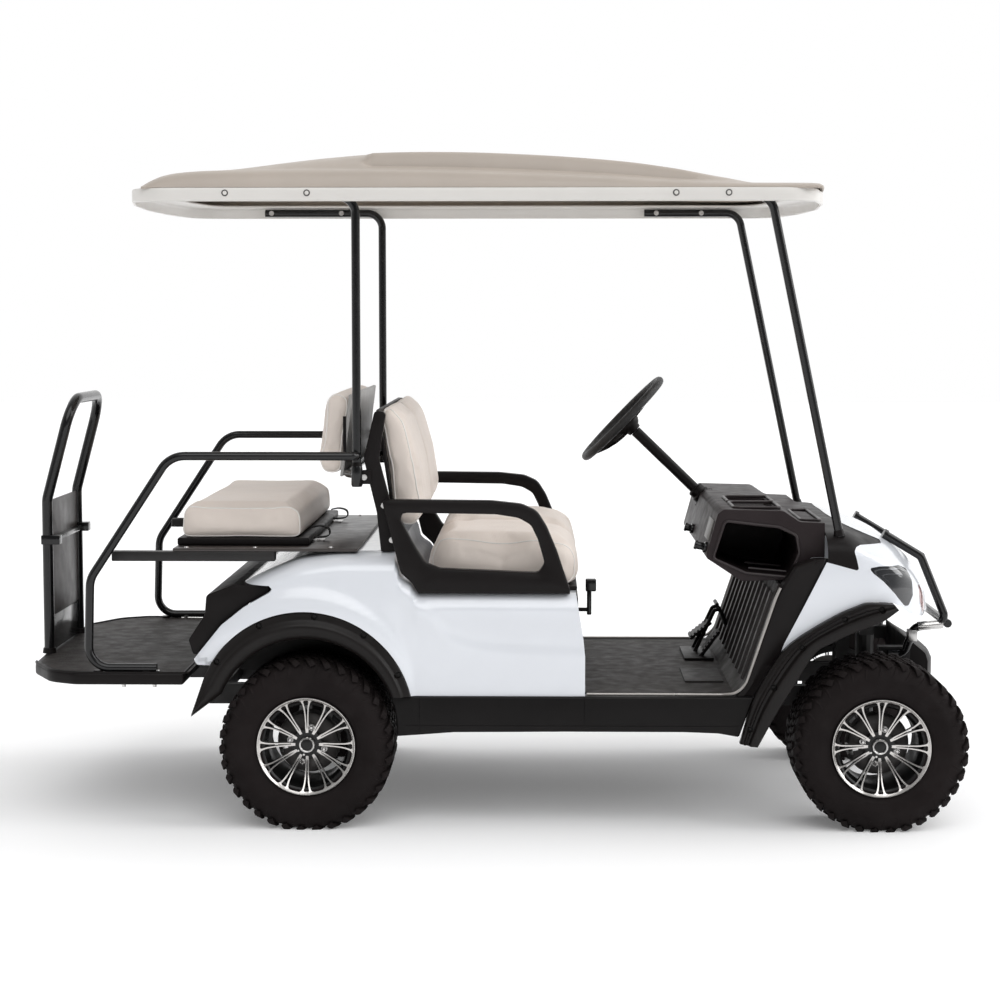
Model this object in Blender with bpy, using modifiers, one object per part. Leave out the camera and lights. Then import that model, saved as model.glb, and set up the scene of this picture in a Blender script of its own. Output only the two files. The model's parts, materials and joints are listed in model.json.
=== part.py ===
"""Four-seat lifted golf cart, modelled as an assembly of separate pieces.

Metres, +Z up, +X towards the front of the cart, +Y to its left. The cart stands on Z = 0 with the middle of
its overall length and width at the origin. A side outline is a list of (x, z) points and a plan outline is a
list of (x, y) points.
"""

import math

import bmesh
import bpy
from mathutils import Matrix, Vector

GAP = 0.0003
SIDES = (("right", -1.0), ("left", 1.0))
THROUGH = (-1.0, 1.0)

# Running gear
WHEELBASE = 1.649
REAR_AXLE_X = -0.545
FRONT_AXLE_X = REAR_AXLE_X + WHEELBASE
TYRE_RADIUS = 0.243
TYRE_WIDTH = 0.240
WHEEL_Y = 0.505
RIM_RADIUS = 0.1277
RIM_LIP_RADIUS = 0.1425
RIM_WALL = 0.009
SPOKES = 12
WHEEL_STEPS = 24
SPOKE_BAR = 0.0065
HUB_RADIUS = 0.045
FLANGE_RADIUS = 0.058
AXLE_Z = TYRE_RADIUS
AXLE_TUBE_RADIUS = 0.028
KINGPIN_Y = 0.360
KINGPIN_RADIUS = 0.020

# Chassis
RAIL_Y = 0.220
RAIL_WIDTH = 0.040
RAIL_Z = (0.300, 0.360)
CARRIER_Z = 0.415

# Body
BODY_WALL = 0.006
FLOOR_TOP = 0.385
FLOOR_THICKNESS = 0.012
SILL_Y = 0.530
SILL_OUTER_Y = 0.586
SILL_BOTTOM = 0.2825
SILL_END_BOTTOM = 0.268
ARCH_X = -0.551
ARCH_Z = 0.318
ARCH_RADIUS = 0.314
ARCH_STEPS = 48
FLARE_INNER_X = -0.548
FLARE_INNER_Z = 0.290
FLARE_INNER_RADIUS = 0.262
FLARE_Y = (0.574, 0.616)
LINER_Y = 0.345
SEAT_LEDGE_Z = 0.682
BODY_FRONT_X = 0.2565

# Roof and its struts
TUBE_RADIUS = 0.0125
ROOF_BASE = 1.800
ROOF_RIM_HEIGHT = 0.040
ROOF_HALF_WIDTH = 0.560
ROOF_WALL = 0.006
STRUT_Y = ROOF_HALF_WIDTH - 0.040
REAR_STRUT_X = -0.402
REAR_STRUT_FOOT = 1.045

# Seats
SEAT_BOARD = 0.013
SEAT_X = (-0.200, 0.244)
SEAT_TOP = 0.850
SEAT_HALF_WIDTH = 0.500
BACKREST_BOTTOM = 0.866
BACKREST_HEIGHT = 0.340
BACKREST_THICKNESS = 0.078
BACKREST_HALF_WIDTH = 0.470
BACKREST_PANEL = 0.010
POST_Y = (SEAT_HALF_WIDTH - 0.014, SEAT_HALF_WIDTH + 0.014)
ARMREST_Y = (SEAT_HALF_WIDTH + 0.045, SEAT_HALF_WIDTH + 0.085)
DECK_Z = (0.7965, 0.8065)
DECK_REAR_X = -0.9375
DECK_FRONT_X = -0.400
DECK_HALF_WIDTH = 0.530
REAR_BOARD = 0.023
REAR_BOARD_X = (-0.935, -0.548)
REAR_BOARD_HALF_WIDTH = 0.460
REAR_CUSHION_X = (-0.925, -0.569)
REAR_CUSHION_TOP = 0.930
REAR_CUSHION_HALF_WIDTH = 0.450

# Rear step, rails and handle
STEP_TOP = 0.450
STEP_THICKNESS = 0.035
STEP_HALF_WIDTH = 0.585
STEP_REAR_X = -1.397
STEP_FRONT_X = -0.900
GRAB_Y = 0.566
GRAB_TOP = 1.076
HANDLE_X = -1.372
HANDLE_Y = 0.211
HANDLE_RADIUS = 0.016

# Steering
STEERING_Y = 0.250
COLUMN_FOOT = (0.6680, 0.8800)
COLUMN_HEAD = (0.4330, 1.1065)
COLUMN_RADIUS = 0.017
COLUMN_STEPS = 12
BOOT_RADIUS = 0.038
BOOT_LENGTH = 0.060
WHEEL_RADIUS = 0.180
WHEEL_RIM_RADIUS = 0.0135

GUARD_FRONT_X = 1.345

# Seams between the dash, the black cowl top and the hood
HOOD_SEAM_X = 1.020
DASH_SEAM_X = 0.9500
DASH_TOP = 0.919
DASH_BIN_X = 0.877
ORIGIN_SHIFT = -(STEP_REAR_X + GUARD_FRONT_X + TUBE_RADIUS) / 2


def clear_scene():
    for obj in list(bpy.data.objects):
        bpy.data.objects.remove(obj, do_unlink=True)


def make_collection(name):
    collection = bpy.data.collections.new(name)
    bpy.context.scene.collection.children.link(collection)
    return collection


clear_scene()
CART = make_collection("golf_cart")
CUTTERS = make_collection("cutters")
FRAME = bpy.data.objects.new("cart_frame", None)
FRAME.location.x = ORIGIN_SHIFT
CART.objects.link(FRAME)


def finish(name, colour, roughness, metallic=0.0):
    """Returns a material of one colour, given as linear RGB."""
    material = bpy.data.materials.new(name)
    material.use_nodes = True
    shader = material.node_tree.nodes["Principled BSDF"]
    shader.inputs["Base Color"].default_value = (*colour, 1.0)
    shader.inputs["Roughness"].default_value = roughness
    shader.inputs["Metallic"].default_value = metallic
    return material


WHITE_PAINT = finish("white_paint", (0.76, 0.78, 0.82), 0.25)
BLACK_PLASTIC = finish("black_plastic", (0.025, 0.021, 0.021), 0.45)
BLACK_TUBE = finish("black_tube", (0.012, 0.012, 0.012), 0.25)
ROOF_PLASTIC = finish("roof_plastic", (0.57, 0.51, 0.45), 0.45)
RIM_BAND = finish("roof_rim_plastic", (0.86, 0.84, 0.81), 0.40)
VINYL = finish("seat_vinyl", (0.68, 0.60, 0.53), 0.50)
RUBBER = finish("tyre_rubber", (0.020, 0.020, 0.020), 0.85)
ALLOY = finish("machined_alloy", (0.70, 0.70, 0.72), 0.25, 1.0)
STEEL = finish("black_steel", (0.030, 0.030, 0.030), 0.50, 0.6)
LAMP = finish("smoked_lens", (0.020, 0.022, 0.025), 0.10)
MAT = finish("floor_mat", (0.045, 0.040, 0.038), 0.80)
GREY_PANEL = finish("grey_panel", (0.12, 0.11, 0.11), 0.40)


def add_object(name, data, material, location=(0.0, 0.0, 0.0), collection=None):
    obj = bpy.data.objects.new(name, data)
    obj.parent = FRAME
    obj.location = location
    if material is not None:
        data.materials.append(material)
    (collection or CART).objects.link(obj)
    return obj


def mesh_object(name, bm, material, location=(0.0, 0.0, 0.0), smooth=None):
    bmesh.ops.recalc_face_normals(bm, faces=bm.faces)
    mesh = bpy.data.meshes.new(name)
    bm.to_mesh(mesh)
    bm.free()
    if smooth is not None:
        mesh.shade_smooth()
        mesh.set_sharp_from_angle(angle=math.radians(smooth))
    return add_object(name, mesh, material, location)


def box(name, x, y, z, material, bevel=0.0):
    """A block between two values on each axis, its object at its middle."""
    bm = bmesh.new()
    bmesh.ops.create_cube(bm, size=1.0)
    bmesh.ops.scale(bm, vec=(x[1] - x[0], y[1] - y[0], z[1] - z[0]), verts=bm.verts)
    middle = (sum(x) / 2, sum(y) / 2, sum(z) / 2)
    obj = mesh_object(name, bm, material, middle)
    if bevel:
        round_edges(obj, bevel)
    return obj


def round_edges(obj, width, segments=2, angle=30.0):
    modifier = obj.modifiers.new("Rounded edges", "BEVEL")
    modifier.width = width
    modifier.segments = segments
    modifier.limit_method = "ANGLE"
    modifier.angle_limit = math.radians(angle)


def filleted(points, radius, steps=4, closed=True):
    """Points of a route or outline with each corner rounded. radius is one value, or one for each point."""
    vectors = [Vector(point) for point in points]
    radii = radius if isinstance(radius, (list, tuple)) else [radius] * len(vectors)
    found = []
    last = len(vectors) - 1
    for index, corner in enumerate(vectors):
        if radii[index] <= 0 or (not closed and index in (0, last)):
            found.append(corner)
            continue
        before = vectors[index - 1] - corner
        after = vectors[(index + 1) % len(vectors)] - corner
        half = before.angle(after) / 2
        reach = min(radii[index] / math.tan(half), before.length * 0.499, after.length * 0.499)
        start = corner + before.normalized() * reach
        end = corner + after.normalized() * reach
        middle = corner + (before.normalized() + after.normalized()).normalized() * reach / math.cos(half)
        arm = (start - middle).length
        for step in range(steps + 1):
            point = start.lerp(end, step / steps)
            found.append(middle + (point - middle).normalized() * arm)
    return found


def arc(centre, radius, start, end, steps):
    """Points of an arc between two angles in degrees."""
    turns = [math.radians(start + (end - start) * step / steps) for step in range(steps + 1)]
    return [(centre[0] + radius * math.cos(turn), centre[1] + radius * math.sin(turn)) for turn in turns]


def flat_curve(name, outlines, half_thickness, material):
    curve = bpy.data.curves.new(name, "CURVE")
    curve.dimensions = "2D"
    curve.fill_mode = "BOTH"
    curve.extrude = half_thickness
    for outline in outlines:
        spline = curve.splines.new("POLY")
        spline.points.add(len(outline) - 1)
        for point, place in zip(spline.points, outline):
            point.co = (place[0], place[1], 0.0, 1.0)
        spline.use_cyclic_u = True
    return add_object(name, curve, material)


def side_plate(name, outline, y, material, holes=()):
    """A flat piece with the given side outline, from one y to another."""
    obj = flat_curve(name, [outline, *holes], abs(y[1] - y[0]) / 2, material)
    obj.rotation_euler.x = math.pi / 2
    obj.location.y = sum(y) / 2
    return as_mesh(obj)


def level_plate(name, outline, z, material, holes=()):
    """A flat piece with the given plan outline, from one z to another."""
    obj = flat_curve(name, [outline, *holes], (z[1] - z[0]) / 2, material)
    obj.location.z = sum(z) / 2
    return as_mesh(obj)


def tube(name, route, radius, material, bend=0.0, resolution=2, steps=3):
    """A round bar along a route, its inner corners bent to a radius."""
    curve = bpy.data.curves.new(name, "CURVE")
    curve.dimensions = "3D"
    curve.bevel_depth = radius
    curve.bevel_resolution = resolution
    curve.use_fill_caps = True
    points = filleted(route, bend, steps, closed=False) if bend else [Vector(point) for point in route]
    spline = curve.splines.new("POLY")
    spline.points.add(len(points) - 1)
    for point, place in zip(spline.points, points):
        point.co = (*place, 1.0)
    return add_object(name, curve, material)


def turned(name, profile, material, centre, axis="Y", steps=24, closed=False):
    """A turned piece from (radius, height along the axis) points that run down its outer side."""
    bm = bmesh.new()
    verts = [bm.verts.new((radius, 0.0, height)) for radius, height in profile]
    for first, second in zip(verts, verts[1:]):
        bm.edges.new((first, second))
    if closed:
        bm.edges.new((verts[-1], verts[0]))
    mesh = bpy.data.meshes.new(name)
    bm.to_mesh(mesh)
    bm.free()
    obj = add_object(name, mesh, material, centre)
    if axis == "Y":
        obj.rotation_euler.x = -math.pi / 2
    elif isinstance(axis, Vector):
        obj.rotation_euler = axis.to_track_quat("Z", "Y").to_euler()
    modifier = obj.modifiers.new("Turned", "SCREW")
    modifier.steps = modifier.render_steps = steps
    modifier.use_merge_vertices = True
    modifier.merge_threshold = 0.00005
    modifier.use_smooth_shade = True
    return obj


def rod(name, start, end, radius, material, steps=12):
    """A straight round bar between two points."""
    start, end = Vector(start), Vector(end)
    length = (end - start).length
    profile = [(0.0, length), (radius, length), (radius, 0.0), (0.0, 0.0)]
    return turned(name, profile, material, start, (end - start).normalized(), steps)


def loft(name, rings, material, smooth=None):
    """A closed skin through rings of points, with a flat cap on each end."""
    bm = bmesh.new()
    rows = [[bm.verts.new(point) for point in ring] for ring in rings]
    for row, following in zip(rows, rows[1:]):
        for index in range(len(row)):
            after = (index + 1) % len(row)
            bm.faces.new((row[index], row[after], following[after], following[index]))
    bm.faces.new(rows[0])
    bm.faces.new(rows[-1])
    return mesh_object(name, bm, material, smooth=smooth)


def as_mesh(obj):
    """Replaces an object by its evaluated shape as a plain mesh with its seams welded."""
    bpy.context.view_layer.update()
    evaluated = obj.evaluated_get(bpy.context.evaluated_depsgraph_get())
    mesh = bpy.data.meshes.new_from_object(evaluated)
    bm = bmesh.new()
    bm.from_mesh(mesh)
    bmesh.ops.remove_doubles(bm, verts=bm.verts, dist=0.00002)
    bmesh.ops.recalc_face_normals(bm, faces=bm.faces)
    bm.to_mesh(mesh)
    bm.free()
    name = obj.name
    place = obj.matrix_local.copy()
    bpy.data.objects.remove(obj, do_unlink=True)
    result = bpy.data.objects.new(name, mesh)
    mesh.name = name
    result.parent = FRAME
    result.matrix_local = place
    CART.objects.link(result)
    return result


def as_cutter(obj):
    for collection in list(obj.users_collection):
        collection.objects.unlink(obj)
    CUTTERS.objects.link(obj)
    obj.hide_render = True
    obj.display_type = "WIRE"
    return obj


def boolean(target, tool, operation, solver="EXACT"):
    modifier = target.modifiers.new(operation.capitalize(), "BOOLEAN")
    modifier.operation = operation
    modifier.solver = solver
    modifier.object = as_cutter(tool)


def cut(target, *tools):
    for tool in tools:
        boolean(target, tool, "DIFFERENCE")
    return target


def joined(name, pieces, solver="EXACT"):
    """Makes pieces that run into each other one solid. MANIFOLD is for pieces with faces in one plane."""
    solids = [as_mesh(piece) for piece in pieces]
    first, others = solids[0], solids[1:]
    for other in others:
        boolean(first, other, "UNION", solver)
    result = as_mesh(first)
    result.name = name
    for other in others:
        bpy.data.objects.remove(other, do_unlink=True)
    return result


def copied(name, source):
    """A second object on the same mesh."""
    obj = bpy.data.objects.new(name, source.data)
    obj.parent = FRAME
    CART.objects.link(obj)
    return obj


def mirrored_outline(half):
    """A full outline from the points of its +Y half, both ends on the middle line or facing it."""
    return [*half, *[(x, -y) for x, y in reversed(half) if y > 1e-6]]


# Running gear


def wheel_profiles():
    half = TYRE_WIDTH / 2
    bead = half - 0.015
    tyre = [
        (RIM_RADIUS + GAP, bead),
        (RIM_LIP_RADIUS + 0.001, bead),
        (0.152, half - 0.006),
        (0.185, half),
        (0.216, half - 0.003),
        (0.234, half - 0.016),
        (TYRE_RADIUS, half - 0.036),
    ]
    tyre = [*tyre, *[(radius, -height) for radius, height in reversed(tyre)]]
    lip = bead + GAP
    inner = RIM_RADIUS - RIM_WALL
    rim = [
        (inner, lip + 0.009),
        (RIM_LIP_RADIUS, lip + 0.009),
        (RIM_LIP_RADIUS, lip),
        (RIM_RADIUS, lip),
        (RIM_RADIUS, -lip),
        (RIM_LIP_RADIUS, -lip),
        (RIM_LIP_RADIUS, -lip - 0.008),
        (inner, -lip - 0.008),
    ]
    return tyre, rim


def spoke_bars():
    """Twelve spokes, each split in two slim bars that part towards the rim."""
    bm = bmesh.new()
    reach = RIM_RADIUS - RIM_WALL / 2
    start = HUB_RADIUS * 0.8
    for index in range(SPOKES):
        for side in (-1.0, 1.0):
            inner = math.radians(index * 360 / SPOKES + side * 5.5)
            outer = math.radians(index * 360 / SPOKES + side * 4.8)
            for radius, turn, height, depth in ((start, inner, 0.074, 0.020), (reach, outer, 0.100, 0.016)):
                middle = Vector((radius * math.cos(turn), radius * math.sin(turn), height))
                across = Vector((-math.sin(turn), math.cos(turn), 0.0)) * SPOKE_BAR / 2
                down = Vector((0.0, 0.0, -depth))
                for place in (middle - across, middle + across, middle + across + down, middle - across + down):
                    bm.verts.new(place)
            bm.verts.ensure_lookup_table()
            ring = bm.verts[-8:]
            for corner in range(4):
                after = (corner + 1) % 4
                bm.faces.new((ring[corner], ring[after], ring[after + 4], ring[corner + 4]))
            bm.faces.new(ring[:4])
            bm.faces.new(ring[4:])
    obj = mesh_object("spoke_bars", bm, ALLOY)
    obj.rotation_euler.x = -math.pi / 2
    return obj


def make_wheels():
    tyre_profile, rim_profile = wheel_profiles()
    tyre = as_mesh(turned("tyre_pattern", tyre_profile, RUBBER, (0, 0, 0), steps=WHEEL_STEPS, closed=True))
    barrel = turned("barrel", rim_profile, ALLOY, (0, 0, 0), steps=WHEEL_STEPS, closed=True)
    hub_profile = [(0.0, 0.090), (0.024, 0.090), (0.028, 0.080), (HUB_RADIUS, 0.077), (HUB_RADIUS, 0.050)]
    hub_profile += [(FLANGE_RADIUS * 0.9, 0.045), (FLANGE_RADIUS * 0.9, 0.035), (0.0, 0.035)]
    hub = turned("hub", hub_profile, ALLOY, (0, 0, 0), steps=12)
    rim = joined("rim_pattern", [barrel, hub, spoke_bars()])
    for end, x in (("front", FRONT_AXLE_X), ("rear", REAR_AXLE_X)):
        for side, sign in SIDES:
            for kind, pattern in (("tyre", tyre), ("rim", rim)):
                obj = copied(f"{kind}_{end}_{side}", pattern)
                obj.location = (x, sign * WHEEL_Y, AXLE_Z)
                # The patterns lie on the Y axis with their outer face towards +Y.
                obj.rotation_euler = (-math.pi / 2 if sign > 0 else math.pi / 2, 0.0, 0.0)
    for pattern in (tyre, rim):
        bpy.data.objects.remove(pattern, do_unlink=True)


def make_chassis():
    # Columns: x from and to, |y| from and to, z from and to. Each row is made on both sides.
    half = RAIL_WIDTH / 2
    inner, outer = RAIL_Y - half, RAIL_Y + half
    members = (
        (-0.880, 1.190, inner, outer, *RAIL_Z),
        (-0.880, -0.840, 0.0, outer, 0.310, 0.350),
        (-0.300, -0.260, 0.0, outer, 0.310, 0.350),
        (0.180, 0.220, 0.0, outer, 0.310, 0.350),
        (0.640, 0.680, 0.0, outer, 0.310, 0.350),
        (1.150, 1.190, 0.0, outer, 0.310, 0.350),
        (-0.200, -0.160, inner, SILL_Y - GAP, 0.310, 0.350),
        (0.600, 0.640, inner, SILL_Y - GAP, 0.310, 0.350),
        (-0.880, -0.840, inner, outer, RAIL_Z[0], CARRIER_Z - GAP),
        (-1.320, -0.840, inner, outer, CARRIER_Z - 0.035, CARRIER_Z - GAP),
        (REAR_AXLE_X - 0.02, REAR_AXLE_X + 0.02, inner, outer, RAIL_Z[0], 0.580),
        (REAR_AXLE_X - 0.02, REAR_AXLE_X + 0.02, inner, 0.325, 0.545, 0.580),
        (REAR_AXLE_X - 0.02, REAR_AXLE_X + 0.02, 0.0, outer, 0.545, 0.580),
        (FRONT_AXLE_X - 0.02, FRONT_AXLE_X + 0.02, inner, outer, RAIL_Z[0], 0.560),
        (FRONT_AXLE_X - 0.02, FRONT_AXLE_X + 0.02, 0.0, 0.300, 0.525, 0.560),
        (1.150, 1.190, inner, outer, RAIL_Z[0], 0.480),
        (1.150, 1.245, inner, outer, 0.440, 0.480),
        (0.180, 0.220, inner, outer, RAIL_Z[0], FLOOR_TOP - FLOOR_THICKNESS - GAP),
        (0.640, 0.680, inner, outer, RAIL_Z[0], FLOOR_TOP - FLOOR_THICKNESS - GAP),
    )
    pieces = []
    for index, (x0, x1, y0, y1, z0, z1) in enumerate(members):
        spans = ((-y1, y1),) if y0 == 0.0 else ((y0, y1), (-y1, -y0))
        for side, span in enumerate(spans):
            pieces.append(box(f"member_{index}_{side}", (x0, x1), span, (z0, z1), STEEL))
    return joined("chassis_frame", pieces, "MANIFOLD")


def make_axles():
    reach = WHEEL_Y + 0.035 - GAP
    pieces = [
        rod("rear_tube", (REAR_AXLE_X, -reach + 0.012, AXLE_Z), (REAR_AXLE_X, reach - 0.012, AXLE_Z), AXLE_TUBE_RADIUS, STEEL),
        turned(
            "differential",
            [(0.0, 0.085), (0.055, 0.075), (0.085, 0.030), (0.085, -0.030), (0.055, -0.075), (0.0, -0.085)],
            STEEL,
            (REAR_AXLE_X, 0.0, AXLE_Z),
            steps=16,
        ),
    ]
    for side, sign in SIDES:
        pieces.append(
            rod(
                f"rear_flange_{side}",
                (REAR_AXLE_X, sign * (reach - 0.030), AXLE_Z),
                (REAR_AXLE_X, sign * reach, AXLE_Z),
                FLANGE_RADIUS,
                STEEL,
                16,
            )
        )
        pieces.append(
            rod(
                f"rear_shock_{side}",
                (REAR_AXLE_X, sign * 0.290, AXLE_Z),
                (REAR_AXLE_X, sign * 0.290, 0.545 - GAP),
                0.027,
                STEEL,
            )
        )
    joined("rear_axle", pieces)
    pin_half = 0.030
    pieces = [
        box("front_beam", (FRONT_AXLE_X - 0.020, FRONT_AXLE_X + 0.020), (-KINGPIN_Y, KINGPIN_Y), (AXLE_Z - 0.018, AXLE_Z + 0.018), STEEL)
    ]
    for side, sign in SIDES:
        y = sign * KINGPIN_Y
        pieces.append(
            rod(f"eye_{side}", (FRONT_AXLE_X, y, AXLE_Z - pin_half), (FRONT_AXLE_X, y, AXLE_Z + pin_half), KINGPIN_RADIUS, STEEL)
        )
        pieces.append(
            rod(
                f"front_shock_{side}",
                (FRONT_AXLE_X, sign * 0.272, AXLE_Z),
                (FRONT_AXLE_X, sign * 0.272, 0.525 - GAP),
                0.025,
                STEEL,
            )
        )
    joined("front_axle", pieces)
    for side, sign in SIDES:
        make_knuckle(side, sign, pin_half)


def make_knuckle(side, sign, pin_half):
    """A fork over the axle's eye, with the stub that carries the front hub."""
    inner, back, face = KINGPIN_Y - 0.022, KINGPIN_Y + 0.030, KINGPIN_Y + 0.042
    fork = 0.012
    low, high = AXLE_Z - pin_half - GAP, AXLE_Z + pin_half + GAP
    x = (FRONT_AXLE_X - 0.022, FRONT_AXLE_X + 0.022)
    reach = WHEEL_Y + 0.035 - GAP

    def span(near, far):
        return (near, far) if sign > 0 else (-far, -near)

    pieces = [
        box("fork_top", x, span(inner, face), (high, high + fork), STEEL),
        box("fork_bottom", x, span(inner, face), (low - fork, low), STEEL),
        box("fork_back", x, span(back, face), (low - fork, high + fork), STEEL),
        rod("stub", (FRONT_AXLE_X, sign * (back + 0.004), AXLE_Z), (FRONT_AXLE_X, sign * (reach - 0.012), AXLE_Z), 0.024, STEEL),
        rod("front_flange", (FRONT_AXLE_X, sign * (reach - 0.030), AXLE_Z), (FRONT_AXLE_X, sign * reach, AXLE_Z), FLANGE_RADIUS, STEEL, 16),
    ]
    joined(f"knuckle_{side}", pieces)


# Body

SEAT_SEAM = ((-0.2885, 0.7965), (-0.2750, 0.7420), (-0.2410, 0.7110), (-0.2240, SEAT_LEDGE_Z))


def rear_body_rings(inset):
    """Arch-shaped sections of the rear body, or of the space inside it when inset is its wall."""
    # Columns: x, top z, half width of the flat top, half width at the shoulder, half width of the side.
    deck = DECK_Z[0] - GAP
    stations = (
        (-0.900, 0.580, 0.430, 0.500, 0.560),
        (-0.840, 0.640, 0.450, 0.520, 0.575),
        (-0.724, 0.710, 0.460, 0.530, 0.590),
        (-0.640, 0.750, 0.465, 0.535, 0.596),
        (-0.545, 0.784, 0.470, 0.535, 0.598),
        (-0.430, deck, 0.475, 0.535, 0.597),
        (SEAT_SEAM[0][0], deck, 0.480, 0.535, 0.592),
        (*SEAT_SEAM[1], 0.500, 0.552, 0.590),
        (*SEAT_SEAM[2], 0.530, 0.566, 0.588),
        (*SEAT_SEAM[3], 0.562, 0.575, 0.587),
        (0.300, SEAT_LEDGE_Z, 0.562, 0.575, SILL_OUTER_Y),
    )
    rings = []
    for index, (x, top, flat, shoulder, side) in enumerate(stations):
        if inset:
            x += (-0.05 if index == 0 else 0.0) + (0.05 if index == len(stations) - 1 else 0.0)
        foot = FLOOR_TOP - (0.05 if inset else 0.0)
        half = [
            (foot, side - 0.010 - inset),
            (0.500, side - 0.004 - inset),
            (min(0.560, top - 0.07), side - inset),
            (top - 0.045, (side + shoulder) / 2 + 0.016 - inset),
            (top - 0.010, shoulder - inset),
            (top - inset, flat - inset),
        ]
        ring = [Vector((x, y, z)) for z, y in half] + [Vector((x, -y, z)) for z, y in reversed(half)]
        rings.append(ring)
    return rings


TAIL_EDGE = ((-0.873, 0.488), (-0.790, 0.5900), (-0.725, 0.6420), (-0.650, 0.6850))


def make_rear_body():
    body = loft("rear_body", rear_body_rings(0.0), WHITE_PAINT, smooth=25)
    room = loft("rear_body_room", rear_body_rings(BODY_WALL), None)
    # The cutter's flats, not its corners, lie on the arch.
    reach = ARCH_RADIUS / math.cos(math.pi / ARCH_STEPS)
    arch = rod("arch", (ARCH_X, -1.0, ARCH_Z), (ARCH_X, 1.0, ARCH_Z), reach, None, ARCH_STEPS)
    tail = [*TAIL_EDGE, (-0.700, 0.703), (-0.760, 0.704), (-1.000, 0.704), (-1.000, 0.488)]
    tail_cut = side_plate("tail_cut", tail, THROUGH, None)
    low_cut = box("low_cut", (-1.0, -0.60), THROUGH, (0.30, 0.4715), None)
    front_edge = [(0.231, 0.690), (0.2525, 0.547), (0.260, 0.474), (BODY_FRONT_X, 0.380), (BODY_FRONT_X, 0.300)]
    front_cut = side_plate("front_cut", [*front_edge, (0.50, 0.300), (0.50, 0.690)], THROUGH, None)
    bay = box("engine_bay", (-0.180, 0.200), (-0.400, 0.400), (0.500, 0.750), None)
    return cut(body, room, tail_cut, low_cut, as_mesh(arch), front_cut, bay)


def make_tail():
    edge = [(x - GAP * 1.5, z + GAP) for x, z in TAIL_EDGE]
    outline = [*edge, (-0.700, 0.7025), (-0.760, 0.7025), (-0.837, 0.6730), (-0.842, 0.616), (-0.890, 0.543)]
    tail = side_plate("rear_tail", outline, (-0.556, 0.556), BLACK_PLASTIC)
    hollow = [(-0.860, 0.470), (-0.860, 0.520), (-0.878, 0.545), (-0.832, 0.614), (-0.827, 0.665), (-0.760, 0.6930)]
    hollow += [(-0.700, 0.6930), (-0.560, 0.640), (-0.560, 0.470)]
    return cut(tail, side_plate("tail_hollow", hollow, (-0.546, 0.546), None))


def circle_x(centre_x, centre_z, radius, z):
    return centre_x + math.sqrt(radius**2 - (z - centre_z) ** 2)


def make_rear_flares():
    outer_radius = ARCH_RADIUS - GAP
    low = FLOOR_TOP + GAP * 2
    start = math.degrees(math.asin((low - ARCH_Z) / outer_radius))
    outer = arc((ARCH_X, ARCH_Z), outer_radius, start, 156.0, 22)
    inner_start = math.degrees(math.asin((low - FLARE_INNER_Z) / FLARE_INNER_RADIUS))
    inner = arc((FLARE_INNER_X, FLARE_INNER_Z), FLARE_INNER_RADIUS, inner_start, 157.0, 20)
    flap = [(-0.886, 0.328), (-0.872, 0.322)]
    outline = [*outer, *flap, *reversed(inner)]
    skin = arc((FLARE_INNER_X, FLARE_INNER_Z), FLARE_INNER_RADIUS + 0.006, 150.0, inner_start + 3.0, 18)
    inside = arc((FLARE_INNER_X, FLARE_INNER_Z), FLARE_INNER_RADIUS, inner_start + 3.0, 150.0, 18)
    for side, sign in SIDES:
        lip = side_plate("flare_lip", outline, sorted((sign * FLARE_Y[0], sign * FLARE_Y[1])), BLACK_PLASTIC)
        liner = side_plate("flare_liner", [*skin, *inside], sorted((sign * LINER_Y, sign * (FLARE_Y[0] + 0.01))), BLACK_PLASTIC)
        joined(f"rear_flare_{side}", [lip, liner])


ROCKER_FRONT = ((0.7000, SILL_END_BOTTOM), (0.7420, FLOOR_TOP))


def make_rockers():
    top = FLOOR_TOP
    rear = [(circle_x(FLARE_INNER_X, FLARE_INNER_Z, FLARE_INNER_RADIUS, z), z) for z in (SILL_END_BOTTOM, 0.300, 0.340, top)]
    outline = [*rear, (ROCKER_FRONT[1][0], top), ROCKER_FRONT[0], (0.62, SILL_BOTTOM), (-0.20, SILL_BOTTOM)]
    for side, sign in SIDES:
        rocker = side_plate(f"rocker_{side}", outline, sorted((sign * SILL_Y, sign * SILL_OUTER_Y)), BLACK_PLASTIC)
        rocker.data.shade_flat()


TRIM_LINE = ((0.6880, 0.3850), (0.7240, 0.4310), (0.7900, 0.5620), (0.8410, 0.6785), (0.9150, 0.7800))
COWL_EDGE = ((0.7420, 0.3860), (0.8150, 0.5130), (0.9420, 0.7820))


def make_floor():
    inner = SILL_Y - GAP
    floor_low = FLOOR_TOP - FLOOR_THICKNESS
    # The toe board's thickness, measured forwards.
    ahead = 0.012
    toe = [(0.262, FLOOR_TOP), *TRIM_LINE, *[(x + ahead, z - 0.004) for x, z in reversed(TRIM_LINE[1:])]]
    toe += [(0.700, floor_low), (0.262, floor_low)]
    floor = side_plate("floor", toe, (-inner, inner), MAT)
    pieces = [floor]
    low = FLOOR_TOP + 2 * GAP
    band = [(0.6890, low), (COWL_EDGE[0][0] - 0.0006, low), *[(x - 0.0008, z) for x, z in COWL_EDGE[1:]]]
    band += [(0.9150, 0.7820), *reversed(TRIM_LINE[1:4])]
    for side, sign in SIDES:
        pieces.append(side_plate(f"pillar_{side}", band, sorted((sign * (inner - 0.010), sign * 0.574)), BLACK_PLASTIC))
    return joined("floor_pan", pieces)


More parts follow.
